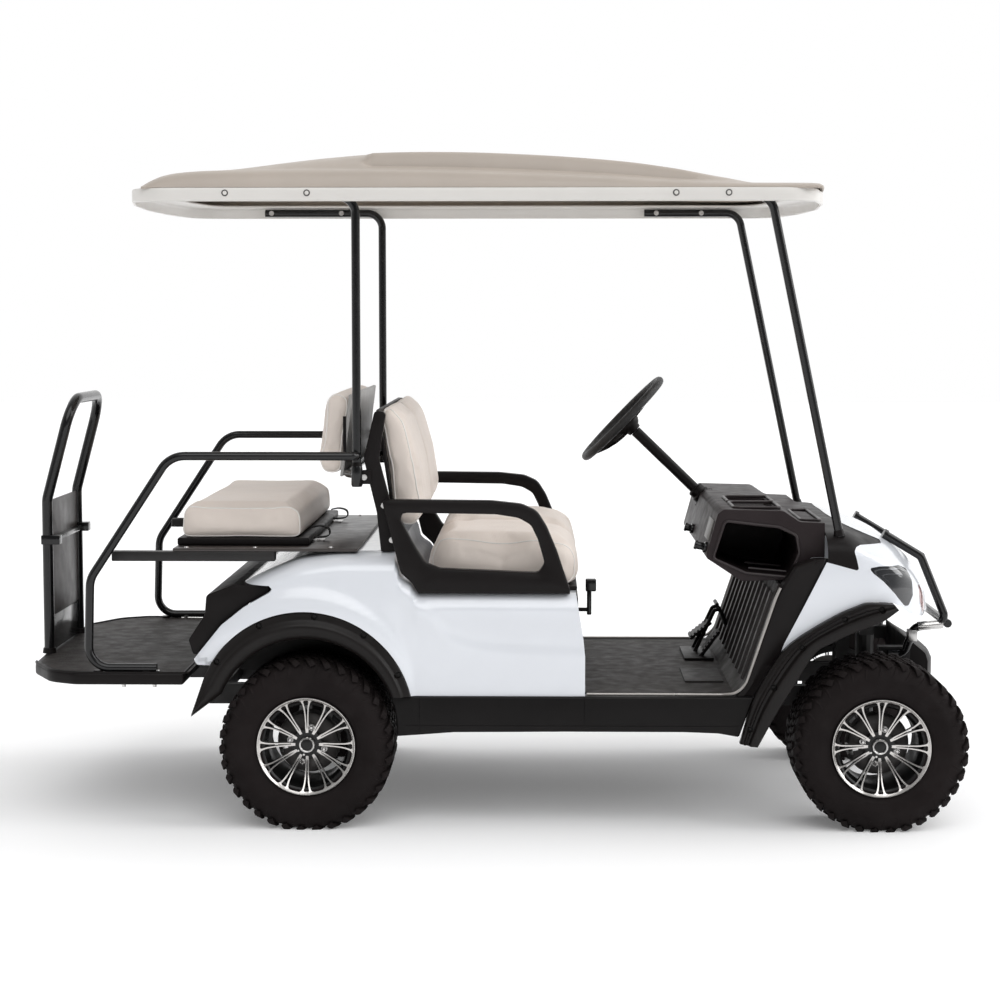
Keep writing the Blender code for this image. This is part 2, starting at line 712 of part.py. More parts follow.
def make_seat_front():
    panel = box("seat_front_panel", (0.222, 0.234), (-SEAT_HALF_WIDTH, SEAT_HALF_WIDTH), (FLOOR_TOP - FLOOR_THICKNESS, SEAT_LEDGE_Z - BODY_WALL - 0.002), BLACK_PLASTIC)
    foot = box("seat_front_foot", (0.222, 0.2617), (-SEAT_HALF_WIDTH, SEAT_HALF_WIDTH), (FLOOR_TOP - FLOOR_THICKNESS, FLOOR_TOP), BLACK_PLASTIC)
    stem = rod("lever_stem", (0.228, -0.200, 0.620), (0.284, -0.200, 0.632), 0.006, BLACK_PLASTIC, 8)
    knob = tube("lever_knob", [(0.284, -0.200, 0.585), (0.290, -0.200, 0.675)], 0.010, BLACK_PLASTIC)
    return joined("seat_front_panel", [panel, foot, stem, knob])


def cowl_rings(inset):
    """Arch-shaped sections of the front cowl from the dash to the nose."""
    # Columns: x, top z, half width and z of the shoulder, half width of the side, foot z.
    stations = (
        (0.800, 0.885, 0.490, 0.850, 0.574, 0.480),
        (1.000, 0.878, 0.485, 0.845, 0.574, 0.480),
        (1.070, 0.862, 0.470, 0.825, 0.572, 0.500),
        (1.140, 0.832, 0.440, 0.795, 0.556, 0.520),
        (1.200, 0.792, 0.395, 0.755, 0.510, 0.550),
        (1.245, 0.745, 0.330, 0.710, 0.430, 0.570),
        (1.275, 0.680, 0.250, 0.660, 0.310, 0.580),
    )
    rings = []
    last = len(stations) - 1
    for index, (x, top, shoulder, shoulder_z, side, foot) in enumerate(stations):
        if inset:
            x += -0.05 if index == 0 else (-inset if index == last else -inset * 0.6)
            foot -= 0.08
        half = [
            (foot, side - 0.012 - inset),
            (0.5 * (foot + shoulder_z) - 0.01, side - inset),
            (shoulder_z - 0.045, side - 0.008 - inset),
            (shoulder_z, shoulder - inset),
            (top - 0.008 - inset, shoulder * 0.62 - inset),
            (top - inset, 0.0),
        ]
        ring = [Vector((x, y, z)) for z, y in half] + [Vector((x, -y, z)) for z, y in reversed(half[:-1])]
        rings.append(ring)
    return rings


FLARE_TOP = ((0.8150, 0.5130), (0.8740, 0.5630), (0.9710, 0.6220), (1.0685, 0.6600), (1.1370, 0.6565))
FLARE_LOW = ((1.0970, 0.6040), (0.9940, 0.5620), (0.9110, 0.5140), (0.8550, 0.4240), (0.8010, 0.3350), (0.7650, 0.2620))
LAMP_OUTLINE = ((1.070, 0.752), (1.136, 0.760), (1.191, 0.747), (1.204, 0.700), (1.188, 0.640), (1.1185, 0.709))


def make_cowl():
    cowl = loft("front_cowl", cowl_rings(0.0), WHITE_PAINT, smooth=25)
    room = loft("cowl_room", cowl_rings(BODY_WALL), None)
    edge = [(0.60, 0.30), (0.60, 1.00), (HOOD_SEAM_X, 1.000), (HOOD_SEAM_X, 0.758), (DASH_SEAM_X - 0.003, 0.782), COWL_EDGE[1], (COWL_EDGE[1][0], 0.30)]
    rear_cut = side_plate("cowl_rear_cut", edge, THROUGH, None)
    arch = [*FLARE_TOP, (1.170, 0.640), (1.230, 0.590), (1.400, 0.590), (1.400, 0.200), (0.700, 0.200)]
    arch_cut = side_plate("cowl_arch_cut", arch, THROUGH, None)
    cut(cowl, room, rear_cut, arch_cut)
    for side, sign in SIDES:
        y = sorted((sign * 0.36, sign * 0.70))
        hole = side_plate(f"lamp_hole_{side}", LAMP_OUTLINE, y, None)
        cut(cowl, hole)
        lens = loft(f"headlight_{side}", cowl_rings(0.0015), LAMP)
        grown = [(x + (1.135 - x) * 0.012, z + (0.715 - z) * 0.012) for x, z in LAMP_OUTLINE]
        keep = side_plate(f"lamp_keep_{side}", grown, sorted((sign * 0.372, sign * 0.70)), None)
        boolean(lens, keep, "INTERSECT")
    return cowl


def make_cowl_top():
    """The black panel between the dash and the hood, where a windscreen would stand."""
    rings = [ring for ring in cowl_rings(0.001)[:2]]
    first, second = rings
    rings = [[point.lerp(other, (DASH_SEAM_X + 0.0005 - point.x) / (other.x - point.x)) for point, other in zip(first, second)]]
    rings.append([point + Vector((HOOD_SEAM_X - GAP - point.x, 0.0, 0.0)) for point in rings[0]])
    panel = loft("cowl_top", rings, BLACK_PLASTIC)
    under = box("cowl_top_low", (0.9, 1.1), THROUGH, (0.30, 0.7835), None)
    room = box("cowl_top_room", (0.9, 1.1), (-0.500, 0.500), (0.30, 0.836), None)
    return cut(panel, under, room)


def make_front_flares():
    upper = [(x, z - 2 * GAP) for x, z in FLARE_TOP]
    upper[0] = (FLARE_TOP[0][0] + 0.001, FLARE_TOP[0][1] - 0.002)
    rear = [(ROCKER_FRONT[0][0] + 2 * GAP, 0.252), (ROCKER_FRONT[1][0] + 2 * GAP, FLOOR_TOP)]
    outline = [*rear, *upper, (1.150, 0.6400), *FLARE_LOW, (0.752, 0.244)]
    for side, sign in SIDES:
        lip = side_plate(f"front_flare_{side}", outline, sorted((sign * 0.560, sign * FLARE_Y[1])), BLACK_PLASTIC)
        lip.data.shade_flat()


def make_front_bumper():
    outline = [(1.2453, 0.500), (1.263, 0.490), (1.318, 0.460), (1.3300, 0.436), (1.3300, 0.381), (1.290, 0.360), (1.2453, 0.360)]
    bumper = side_plate("front_bumper", outline, (-0.232, 0.232), BLACK_PLASTIC)
    round_edges(bumper, 0.008)
    return bumper


def make_brush_guard():
    y = 0.300
    low = (GUARD_FRONT_X, 0.560)
    high = (1.262, 0.762)
    pieces = []
    for side, sign in SIDES:
        beside = sign * (RAIL_Y + RAIL_WIDTH / 2 + TUBE_RADIUS + GAP)
        route = [(1.175, beside, 0.460), (1.225, beside, 0.460), (1.245, sign * y, 0.550)]
        route += [(low[0], sign * y, low[1]), (high[0], sign * y, high[1])]
        route += [(1.150, sign * y, 0.829)]
        pieces.append(tube(f"guard_{side}", route, TUBE_RADIUS, BLACK_TUBE, bend=0.025, steps=3))
    for name, place in (("guard_low", low), ("guard_high", high)):
        pieces.append(rod(name, (place[0], -y, place[1]), (place[0], y, place[1]), TUBE_RADIUS, BLACK_TUBE))
    return joined("brush_guard", pieces)


def make_dashboard():
    outline = [(0.606, 0.779), (0.640, DASH_TOP - 0.014), (0.657, DASH_TOP), (0.830, DASH_TOP - 0.004), (DASH_BIN_X, 0.883), (DASH_SEAM_X, 0.880)]
    foot = TRIM_LINE[-1][1] + GAP
    outline += [(DASH_SEAM_X, foot), (0.9110, foot), (0.8880, 0.7500), (0.858, 0.715), (0.711, 0.710)]
    dash = side_plate("dashboard", outline, (-0.500, 0.500), BLACK_PLASTIC)
    bin_outline = [(0.627, 0.777), (0.661, 0.886), (0.818, 0.868), (0.868, 0.844), (DASH_BIN_X, 0.795), (0.848, 0.722), (0.723, 0.734)]
    for side, sign in SIDES:
        cut(dash, side_plate(f"glovebox_{side}", bin_outline, sorted((sign * 0.060, sign * 0.600)), None))
    tray = box("tray", (0.700, 0.815), (-0.440, -0.080), (0.895, 1.0), None)
    start, end = column_line()
    bore = rod("column_bore", start - (end - start).normalized() * GAP, end, BOOT_RADIUS + GAP, None, COLUMN_STEPS)
    return cut(dash, tray, as_mesh(bore))


# Steering and controls


def column_line():
    foot = Vector((COLUMN_FOOT[0], STEERING_Y, COLUMN_FOOT[1]))
    return foot, Vector((COLUMN_HEAD[0], STEERING_Y, COLUMN_HEAD[1]))


def make_steering():
    foot, head = column_line()
    along = (head - foot).normalized()
    column = rod("column_tube", foot, head, COLUMN_RADIUS, BLACK_PLASTIC, COLUMN_STEPS)
    boot_profile = [(0.0, BOOT_LENGTH), (0.026, BOOT_LENGTH), (BOOT_RADIUS, 0.0), (0.0, 0.0)]
    boot = turned("column_boot", boot_profile, BLACK_PLASTIC, foot, along, COLUMN_STEPS)
    joined("steering_column", [column, boot])
    hub = turned(
        "steering_hub",
        [(0.0, 0.052), (0.030, 0.048), (0.042, 0.034), (0.042, 0.018), (0.022, 0.012), (0.022, 0.0), (0.0, 0.0)],
        BLACK_PLASTIC,
        head + along * GAP,
        along,
        16,
    )
    rim_height = 0.052
    rim_ring = [
        (WHEEL_RADIUS - WHEEL_RIM_RADIUS + WHEEL_RIM_RADIUS * math.cos(turn), rim_height - WHEEL_RIM_RADIUS * math.sin(turn))
        for turn in [math.radians(step * 60 - 90) for step in range(6)]
    ]
    ring = turned("steering_rim", rim_ring, BLACK_PLASTIC, head + along * GAP, along, 24, closed=True)
    pieces = [hub, ring]
    across = Vector((0.0, 1.0, 0.0))
    up = along.cross(across)
    centre = head + along * (GAP + 0.030)
    for index, (sideways, upward) in enumerate(((1.0, 0.25), (-1.0, 0.25), (0.0, -1.0))):
        direction = (across * sideways + up * upward).normalized()
        tip = head + along * (GAP + rim_height) + direction * (WHEEL_RADIUS - WHEEL_RIM_RADIUS)
        spoke = tube(f"steering_spoke_{index}", [centre + direction * 0.02, tip], 0.011, BLACK_PLASTIC)
        pieces.append(spoke)
    joined("steering_wheel", pieces)


def make_pedals():
    """Brake and accelerator on one floor frame."""
    pieces = [box("pedal_base", (0.585, 0.680), (0.080, 0.330), (FLOOR_TOP + GAP, FLOOR_TOP + 0.009), BLACK_PLASTIC)]
    for name, y, width, reach in (("brake", 0.270, 0.090, 0.0), ("accelerator", 0.130, 0.060, 0.0)):
        arm = [(0.660, y, FLOOR_TOP + 0.005), (0.690, y, 0.500), (0.640 + reach, y, 0.585)]
        pieces.append(tube(f"{name}_arm", arm, 0.008, BLACK_PLASTIC, bend=0.02))
        pad = box(f"{name}_pad", (-0.006, 0.006), (-width / 2, width / 2), (-0.045, 0.045), BLACK_PLASTIC)
        pad.location = (0.640 + reach, y, 0.580)
        pad.rotation_euler.y = math.radians(30)
        pieces.append(pad)
    return joined("pedals", pieces)


# Roof


def make_roof():
    half = [(-1.100, 0.0), (-1.095, 0.300), (-1.060, ROOF_HALF_WIDTH), (0.930, ROOF_HALF_WIDTH), (0.975, 0.300), (0.985, 0.0)]
    radii = [0, 0.3, 0.08, 0.08, 0.3, 0]
    outer = filleted(mirrored_outline(half), radii + radii[4:0:-1], 4)
    margin = 0.085
    inner = [(x + (margin if x < 0 else -margin), y * (1 - margin / ROOF_HALF_WIDTH)) for x, y in mirrored_outline(half)]
    inner = filleted(inner, radii + radii[4:0:-1], 3)
    rim = level_plate("roof_rim", outer, (ROOF_BASE, ROOF_BASE + ROOF_RIM_HEIGHT), RIM_BAND, holes=[inner])
    rim.data.shade_flat()
    make_crown()


def make_crown():
    """The raised top: an open tray, upside down, that stands on the rim."""
    base = ROOF_BASE + ROOF_RIM_HEIGHT + GAP
    # Columns: x at the middle, height of the top over the rim, pull of the corners towards the middle.
    stations = (
        (-1.092, 0.010, 0.040),
        (-1.070, 0.055, 0.035),
        (-0.980, 0.086, 0.010),
        (-0.820, 0.096, 0.0),
        (-0.720, 0.116, 0.0),
        (-0.540, 0.134, 0.0),
        (0.310, 0.124, 0.0),
        (0.605, 0.080, 0.0),
        (0.794, 0.040, 0.0),
        (0.940, 0.034, -0.010),
        (0.976, 0.010, -0.040),
    )
    # Columns: share of the half width, share of the height.
    across = ((1.0, 0.0), (0.985, 0.30), (0.93, 0.60), (0.82, 0.80), (0.66, 0.93), (0.40, 1.0), (0.0, 1.0))
    half_width = ROOF_HALF_WIDTH - 0.004
    rings = []
    for x, height, pull in stations:
        outer = [Vector((x + pull * share**2, half_width * share, base + height * lift)) for share, lift in across]
        outer = outer + [Vector((point.x, -point.y, point.z)) for point in reversed(outer[:-1])]
        thickness = min(ROOF_WALL, height * 0.45)
        inner = []
        for point in outer:
            narrow = point.y * (1 - ROOF_WALL / half_width)
            inner.append(Vector((point.x, narrow, max(base, point.z - thickness))))
        rings.append(outer + list(reversed(inner)))
    bm = bmesh.new()
    rows = [[bm.verts.new(point) for point in ring] for ring in rings]
    for row, following in zip(rows, rows[1:]):
        for index in range(len(row)):
            after = (index + 1) % len(row)
            bm.faces.new((row[index], row[after], following[after], following[index]))
    count = len(rows[0]) // 2
    for row in (rows[0], rows[-1]):
        for index in range(count - 1):
            bm.faces.new((row[index], row[index + 1], row[-2 - index], row[-1 - index]))
    bmesh.ops.remove_doubles(bm, verts=bm.verts, dist=0.00002)
    return mesh_object("roof_crown", bm, ROOF_PLASTIC, smooth=30)


def make_struts():
    top = ROOF_BASE - GAP - TUBE_RADIUS
    for side, sign in SIDES:
        y = sign * STRUT_Y
        rear = [(REAR_STRUT_X, y, REAR_STRUT_FOOT + GAP), (REAR_STRUT_X, y, top), (-0.790, y, top)]
        tube(f"rear_strut_{side}", rear, TUBE_RADIUS, BLACK_TUBE, bend=0.05)
        front = [(0.9830, sign * 0.5130, 0.8780), (0.8100, y, top), (0.470, y, top)]
        tube(f"front_strut_{side}", front, TUBE_RADIUS, BLACK_TUBE, bend=0.05)


# Seats


def make_seat_back_frame():
    rear_edge = [(-0.351, 1.205), (-0.383, 1.065), (-0.346, 0.911), (-0.334, DECK_Z[0])]
    front_edge = [(-0.292, DECK_Z[0]), (-0.300, 0.915), (-0.340, 1.065), (-0.318, 1.200)]
    pieces = []
    for side, sign in SIDES:
        pieces.append(side_plate(f"post_{side}", [*rear_edge, *front_edge], sorted((sign * POST_Y[0], sign * POST_Y[1])), BLACK_PLASTIC))
        pieces.append(
            rod(f"sleeve_{side}", (REAR_STRUT_X, sign * STRUT_Y, 0.985), (REAR_STRUT_X, sign * STRUT_Y, REAR_STRUT_FOOT), 0.0165, BLACK_TUBE)
        )
        y = sorted((sign * (POST_Y[0] + 0.004), sign * STRUT_Y))
        pieces.append(box(f"bracket_{side}", (REAR_STRUT_X, -0.360), y, (0.992, 1.032), BLACK_PLASTIC))
    for name, x, z in (("bar_high", -0.352, 1.130), ("bar_low", -0.322, 0.930)):
        pieces.append(rod(name, (x, -POST_Y[0] - 0.01, z), (x, POST_Y[0] + 0.01, z), TUBE_RADIUS, BLACK_TUBE, 8))
    rear_bar = [(REAR_STRUT_X, -STRUT_Y, 1.02), (-0.4338, -0.46, 1.02), (-0.4338, 0.46, 1.02), (REAR_STRUT_X, STRUT_Y, 1.02)]
    pieces.append(tube("bar_rear", rear_bar, TUBE_RADIUS, BLACK_TUBE))
    return joined("seat_back_frame", pieces)


def leaning(bottom, top, depth):
    """A side outline that leans back: bottom and top are points of its rear face."""
    return [bottom, (bottom[0] + depth, bottom[1]), (top[0] + depth, top[1]), top]


def make_front_seat():
    slope = (0.352 - 0.322) / (1.130 - 0.930)

    def panel_x(z):
        return -0.322 - (z - 0.930) * slope + TUBE_RADIUS + GAP + 0.0006

    bottom, top = BACKREST_BOTTOM, BACKREST_BOTTOM + BACKREST_HEIGHT
    panel = leaning((panel_x(bottom), bottom), (panel_x(top), top), BACKREST_PANEL)
    side_plate("front_backrest_panel", panel, (-0.475, 0.475), BLACK_PLASTIC)
    ahead = BACKREST_PANEL + 0.001
    pad = leaning((panel_x(bottom) + ahead, bottom), (panel_x(top) + ahead, top), BACKREST_THICKNESS)
    pad = side_plate("front_backrest", pad, (-BACKREST_HALF_WIDTH, BACKREST_HALF_WIDTH), VINYL)
    round_edges(pad, 0.020)
    board_z = (SEAT_LEDGE_Z + GAP, SEAT_LEDGE_Z + GAP + SEAT_BOARD)
    box("front_seat_board", (SEAT_X[0], 0.235), (-SEAT_HALF_WIDTH, SEAT_HALF_WIDTH), board_z, BLACK_PLASTIC)
    box(
        "front_seat_cushion",
        SEAT_X,
        (-SEAT_HALF_WIDTH, SEAT_HALF_WIDTH),
        (board_z[1] + GAP, SEAT_TOP),
        VINYL,
        bevel=0.025,
    )


def make_armrests():
    outer = [(-0.327, 0.950), (-0.311, 0.953), (-0.012, 0.950), (0.073, 0.941), (0.118, 0.921), (0.146, 0.876)]
    outer += [(0.174, 0.809), (0.214, 0.690), (0.228, SEAT_LEDGE_Z + GAP)]
    outer += [(x + 0.001, z + 2 * GAP) for x, z in reversed(SEAT_SEAM)]
    hole = [(-0.266, 0.915), (0.000, 0.911), (0.065, 0.901), (0.100, 0.881), (0.120, 0.840), (0.140, 0.771)]
    hole += [(0.122, 0.743), (-0.161, 0.755), (-0.202, 0.771), (-0.230, 0.816), (-0.274, 0.897)]
    for side, sign in SIDES:
        rest = side_plate(f"armrest_{side}", outer, sorted((sign * ARMREST_Y[0], sign * ARMREST_Y[1])), BLACK_PLASTIC, holes=[hole])
        rest.data.shade_flat()


def make_rear_seat():
    plate = box("deck_plate", (DECK_REAR_X, DECK_FRONT_X), (-DECK_HALF_WIDTH, DECK_HALF_WIDTH), DECK_Z, GREY_PANEL)
    pieces = [plate]
    for side, sign in SIDES:
        pieces.append(
            box(f"deck_bar_{side}", (-1.115, -0.640), sorted((sign * 0.490, sign * DECK_HALF_WIDTH)), (0.768, DECK_Z[0] + 0.002), BLACK_TUBE)
        )
    joined("rear_deck", pieces)
    board_z = (DECK_Z[1] + GAP, DECK_Z[1] + GAP + REAR_BOARD)
    box("rear_seat_board", REAR_BOARD_X, (-REAR_BOARD_HALF_WIDTH, REAR_BOARD_HALF_WIDTH), board_z, BLACK_PLASTIC)
    box(
        "rear_seat_cushion",
        REAR_CUSHION_X,
        (-REAR_CUSHION_HALF_WIDTH, REAR_CUSHION_HALF_WIDTH),
        (board_z[1] + GAP, REAR_CUSHION_TOP),
        VINYL,
        bevel=0.020,
    )
    panel = [(-0.458, 1.009), (-0.4475, 1.009), (-0.4195, 1.248), (-0.430, 1.248)]
    side_plate("rear_backrest_panel", panel, (-0.450, 0.450), BLACK_PLASTIC)
    pad = [(-0.459, 1.012), (-0.431, 1.246), (-0.495, 1.262), (-0.520, 1.030)]
    pad = side_plate("rear_backrest", pad, (-0.440, 0.440), VINYL)
    round_edges(pad, 0.015)


# Rear step, rails and handle


def make_step():
    half = [(STEP_REAR_X, 0.0), (-1.374, 0.400), (-1.300, 0.540), (-1.220, STEP_HALF_WIDTH), (STEP_FRONT_X, STEP_HALF_WIDTH)]
    half += [(STEP_FRONT_X, 0.0)]
    outline = mirrored_outline(half)
    step = level_plate("rear_step", outline, (STEP_TOP - STEP_THICKNESS, STEP_TOP), BLACK_PLASTIC)
    step.data.shade_flat()


def make_grab_rails():
    low = STEP_TOP + GAP + TUBE_RADIUS
    for side, sign in SIDES:
        y = sign * GRAB_Y
        route = [
            (REAR_STRUT_X, sign * (STRUT_Y + TUBE_RADIUS + GAP * 2), GRAB_TOP),
            (REAR_STRUT_X, y, GRAB_TOP),
            (-0.840, y, GRAB_TOP),
            (-1.170, y, 0.720),
            (-1.178, y, low),
            (-0.980, y, low),
        ]
        points = filleted(route, [0, 0.020, 0.080, 0.080, 0.060, 0], 3, closed=False)
        tube(f"grab_rail_{side}", points, TUBE_RADIUS, BLACK_TUBE)


def make_handle():
    foot = STEP_TOP + GAP
    lean = [(HANDLE_X, foot), (HANDLE_X, 0.920), (-1.290, 1.225)]
    up = [(x, -HANDLE_Y, z) for x, z in lean]
    down = [(x, HANDLE_Y, z) for x, z in reversed(lean)]
    tube("rear_handle", [*up, *down], HANDLE_RADIUS, BLACK_TUBE, bend=0.09)
    reach = HANDLE_Y - HANDLE_RADIUS - GAP * 2
    box("handle_panel", (HANDLE_X - 0.004, HANDLE_X + 0.004), (-reach, reach), (0.560, 0.900), GREY_PANEL)


def make_engine():
    box("engine", (-0.430, 0.100), (-0.195, 0.195), (0.350 + GAP, 0.620), STEEL, bevel=0.01)


def main():
    make_wheels()
    make_chassis()
    make_axles()
    make_rear_body()
    make_tail()
    make_rear_flares()
    make_rockers()
    make_floor()
    make_seat_front()
    make_cowl()
    make_cowl_top()
    make_front_flares()
    make_front_bumper()
    make_brush_guard()
    make_dashboard()
    make_steering()
    make_pedals()
    make_roof()
    make_struts()
    make_seat_back_frame()
    make_front_seat()
    make_armrests()
    make_rear_seat()
    make_step()
    make_grab_rails()
    make_handle()
    make_engine()


main()
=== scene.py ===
"""Looks of a lifted golf cart: its finishes, its modelled pieces and a plain studio round it.

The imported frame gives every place. Lengths are in metres, +X points to the front of the cart and +Y to
its left. Outlines are written from the modelled body's own zero, which lies CART_SHIFT behind the middle
of the cart.
"""

from __future__ import annotations

import json
import logging
import math
from collections.abc import Callable, Iterable, Sequence
from dataclasses import dataclass, field
from enum import Enum

import bmesh
import bpy
from mathutils import Matrix, Vector

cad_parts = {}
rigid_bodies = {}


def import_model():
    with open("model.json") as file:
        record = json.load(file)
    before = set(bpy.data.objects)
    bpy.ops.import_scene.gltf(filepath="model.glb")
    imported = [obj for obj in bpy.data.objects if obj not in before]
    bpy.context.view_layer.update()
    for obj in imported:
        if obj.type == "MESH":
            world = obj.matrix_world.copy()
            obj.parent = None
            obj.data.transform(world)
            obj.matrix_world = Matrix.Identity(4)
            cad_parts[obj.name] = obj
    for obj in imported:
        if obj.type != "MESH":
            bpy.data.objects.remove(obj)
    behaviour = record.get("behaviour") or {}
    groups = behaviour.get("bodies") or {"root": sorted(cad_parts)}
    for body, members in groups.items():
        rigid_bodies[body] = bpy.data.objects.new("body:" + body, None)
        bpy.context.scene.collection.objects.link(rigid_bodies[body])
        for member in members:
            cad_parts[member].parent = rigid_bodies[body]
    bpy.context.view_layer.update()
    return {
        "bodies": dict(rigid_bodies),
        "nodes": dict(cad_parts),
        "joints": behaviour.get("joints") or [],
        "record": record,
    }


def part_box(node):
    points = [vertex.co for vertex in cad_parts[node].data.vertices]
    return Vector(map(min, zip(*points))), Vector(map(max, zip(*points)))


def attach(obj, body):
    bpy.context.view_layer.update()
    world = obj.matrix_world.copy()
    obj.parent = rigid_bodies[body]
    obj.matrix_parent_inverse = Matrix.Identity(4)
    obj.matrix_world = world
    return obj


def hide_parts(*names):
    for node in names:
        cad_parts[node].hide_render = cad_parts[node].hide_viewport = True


LOG = logging.getLogger("golf_cart")

CART_SHIFT = 0.01975
SMOOTH_UP_TO = 32.0
SAME_PLACE = 1e-6
SIDES = (("right", -1.0), ("left", 1.0))
ENDS = ("front", "rear")
Colour = tuple[float, float, float]
BMesh = bmesh.types.BMesh
Object = bpy.types.Object
Socket = bpy.types.NodeSocket
Tree = bpy.types.NodeTree
Point = tuple[float, float]


class Relief(Enum):
    """The kind of fine relief that a surface carries."""

    ORANGE_PEEL = "orange peel"
    GRAIN = "grain"
    LEATHER = "leather"
    BRUSHED = "brushed"
    STIPPLE = "stipple"


def fill(tree: Tree, node: bpy.types.Node, inputs: dict) -> None:
    """Links or sets a node's inputs.

    Args:
        tree: The node tree.
        node: The node.
        inputs: A socket to link or a value to set, by the input's name or number.
    """
    for name, value in inputs.items():
        if isinstance(value, Socket):
            tree.links.new(value, node.inputs[name])
        else:
            node.inputs[name].default_value = value


def add_node(tree: Tree, kind: str, inputs: dict | None = None, **setup: str) -> bpy.types.Node:
    """Adds a shader node.

    Args:
        tree: The node tree.
        kind: The node's type, without the word ShaderNode.
        inputs: What its inputs take, as in fill.
        **setup: Its own properties, which are set first.

    Returns:
        The node.
    """
    node = tree.nodes.new(f"ShaderNode{kind}")
    for name, value in setup.items():
        setattr(node, name, value)
    fill(tree, node, inputs or {})
    return node


def noise(tree: Tree, place: Socket, cells: float, octaves: float) -> Socket:
    """Adds a noise texture and returns its value's socket."""
    return add_node(tree, "TexNoise", {"Scale": cells, "Detail": octaves, "Vector": place}).outputs["Fac"]


def patchy(tree: Tree, value: Socket, low: float, high: float) -> Socket:
    """Stretches a noise value to a range and returns the result's socket."""
    inputs = {"From Min": 0.3, "From Max": 0.7, "To Min": low, "To Max": high, "Value": value}
    return add_node(tree, "MapRange", inputs).outputs["Result"]


@dataclass(frozen=True)
class Finish:
    """One surface finish, made into a node material the first time that it is used.

    Attributes:
        name: Name of the material.
        colour: Linear base colour.
        roughness: Middle value of the roughness.
        slot: The record's material slot. It is not used.
        relief: The kind of relief.
        relief_scale: Cells to the metre.
        relief_depth: Depth of the relief.
        metallic: Metallic value.
        coat: Weight of a clear coat.
        specular: Specular level.
        sheen: Weight of the sheen.
        mottling: Share by which the colour varies.
        dust: Weight of pale dust that lies on faces that look up.
    """

    name: str
    colour: Colour
    roughness: float
    slot: str
    relief: Relief
    relief_scale: float
    relief_depth: float
    metallic: float = 0.0
    coat: float = 0.0
    specular: float = 0.5
    sheen: float = 0.0
    mottling: float = 0.04
    dust: float = 0.0

    WANDER = 0.15
    COAT_ROUGHNESS = 0.06
    DUST_COLOUR = (0.3, 0.27, 0.24, 1.0)

    def material(self) -> bpy.types.Material:
        """Gives the finish's material.

        Returns:
            The material, made on the first call and reused later.
        """
        found = bpy.data.materials.get(self.name)
        if found:
            return found
        made = bpy.data.materials.new(self.name)
        made.use_nodes = True
        made.diffuse_color = (*self.colour, 1.0)
        tree = made.node_tree
        place = add_node(tree, "TexCoord").outputs["Object"]
        low, high = self.roughness * (1 - self.WANDER), min(1.0, self.roughness * (1 + self.WANDER))
        bump = add_node(tree, "Bump", {
            "Strength": 0.3 if self.relief is Relief.ORANGE_PEEL else 1.0,
            "Distance": self.relief_depth,
            "Height": self._height(tree, place),
        })
        fill(tree, tree.nodes["Principled BSDF"], {
            "Base Color": self._colour(tree, place),
            "Roughness": patchy(tree, noise(tree, place, 23.0, 3.0), low, high),
            "Metallic": self.metallic,
            "Coat Weight": self.coat,
            "Coat Roughness": self.COAT_ROUGHNESS,
            "Specular IOR Level": self.specular,
            "IOR": 1.5,
            "Sheen Weight": self.sheen,
            "Normal": bump.outputs["Normal"],
        })
        return made

    def _colour(self, tree: Tree, place: Socket) -> Socket:
        """Mottles the colour and lays thin dust on faces that look up.

        Args:
            tree: The material's node tree.
            place: Socket with Object coordinates.

        Returns:
            The socket with the colour.
        """
        clean = add_node(tree, "Mix", {
            "Factor": patchy(tree, noise(tree, place, 7.0, 4.0), 0.0, 1.0),
            "A": (*[c * (1 - self.mottling) for c in self.colour], 1.0),
            "B": (*[min(1.0, c * (1 + self.mottling)) for c in self.colour], 1.0),
        }, data_type="RGBA").outputs["Result"]
        if not self.dust:
            return clean
        normal = add_node(tree, "NewGeometry").outputs["Normal"]
        up = add_node(tree, "SeparateXYZ", {"Vector": normal}).outputs["Z"]
        facing = add_node(tree, "MapRange", {"From Min": 0.2, "To Max": self.dust, "Value": up})
        patches = patchy(tree, noise(tree, place, 31.0, 6.0), 0.4, 1.0)
        share = add_node(tree, "Math", {0: facing.outputs["Result"], 1: patches}, operation="MULTIPLY")
        inputs = {"Factor": share.outputs["Value"], "A": clean, "B": self.DUST_COLOUR}
        return add_node(tree, "Mix", inputs, data_type="RGBA").outputs["Result"]

    def _height(self, tree: Tree, place: Socket) -> Socket:
        """Makes the height that the bump reads.

        Args:
            tree: The material's node tree.
            place: Socket with Object coordinates.

        Returns:
            The socket with the height.
        """
        inputs = {"Scale": self.relief_scale, "Vector": place}
        if self.relief is Relief.STIPPLE:
            return add_node(tree, "TexVoronoi", inputs).outputs["Distance"]
        if self.relief is Relief.LEATHER:
            cells = add_node(tree, "TexVoronoi", inputs, feature="DISTANCE_TO_EDGE")
            inputs = {"From Max": 0.12, "Value": cells.outputs["Distance"]}
            return add_node(tree, "MapRange", inputs, interpolation_type="SMOOTHSTEP").outputs["Result"]
        if self.relief is Relief.BRUSHED:
            place = add_node(tree, "Mapping", {"Scale": (0.05, 1.0, 1.0), "Vector": place}).outputs["Vector"]
        octaves = {Relief.ORANGE_PEEL: 1.0, Relief.BRUSHED: 4.0}.get(self.relief, 5.0)
        return noise(tree, place, self.relief_scale, octaves)


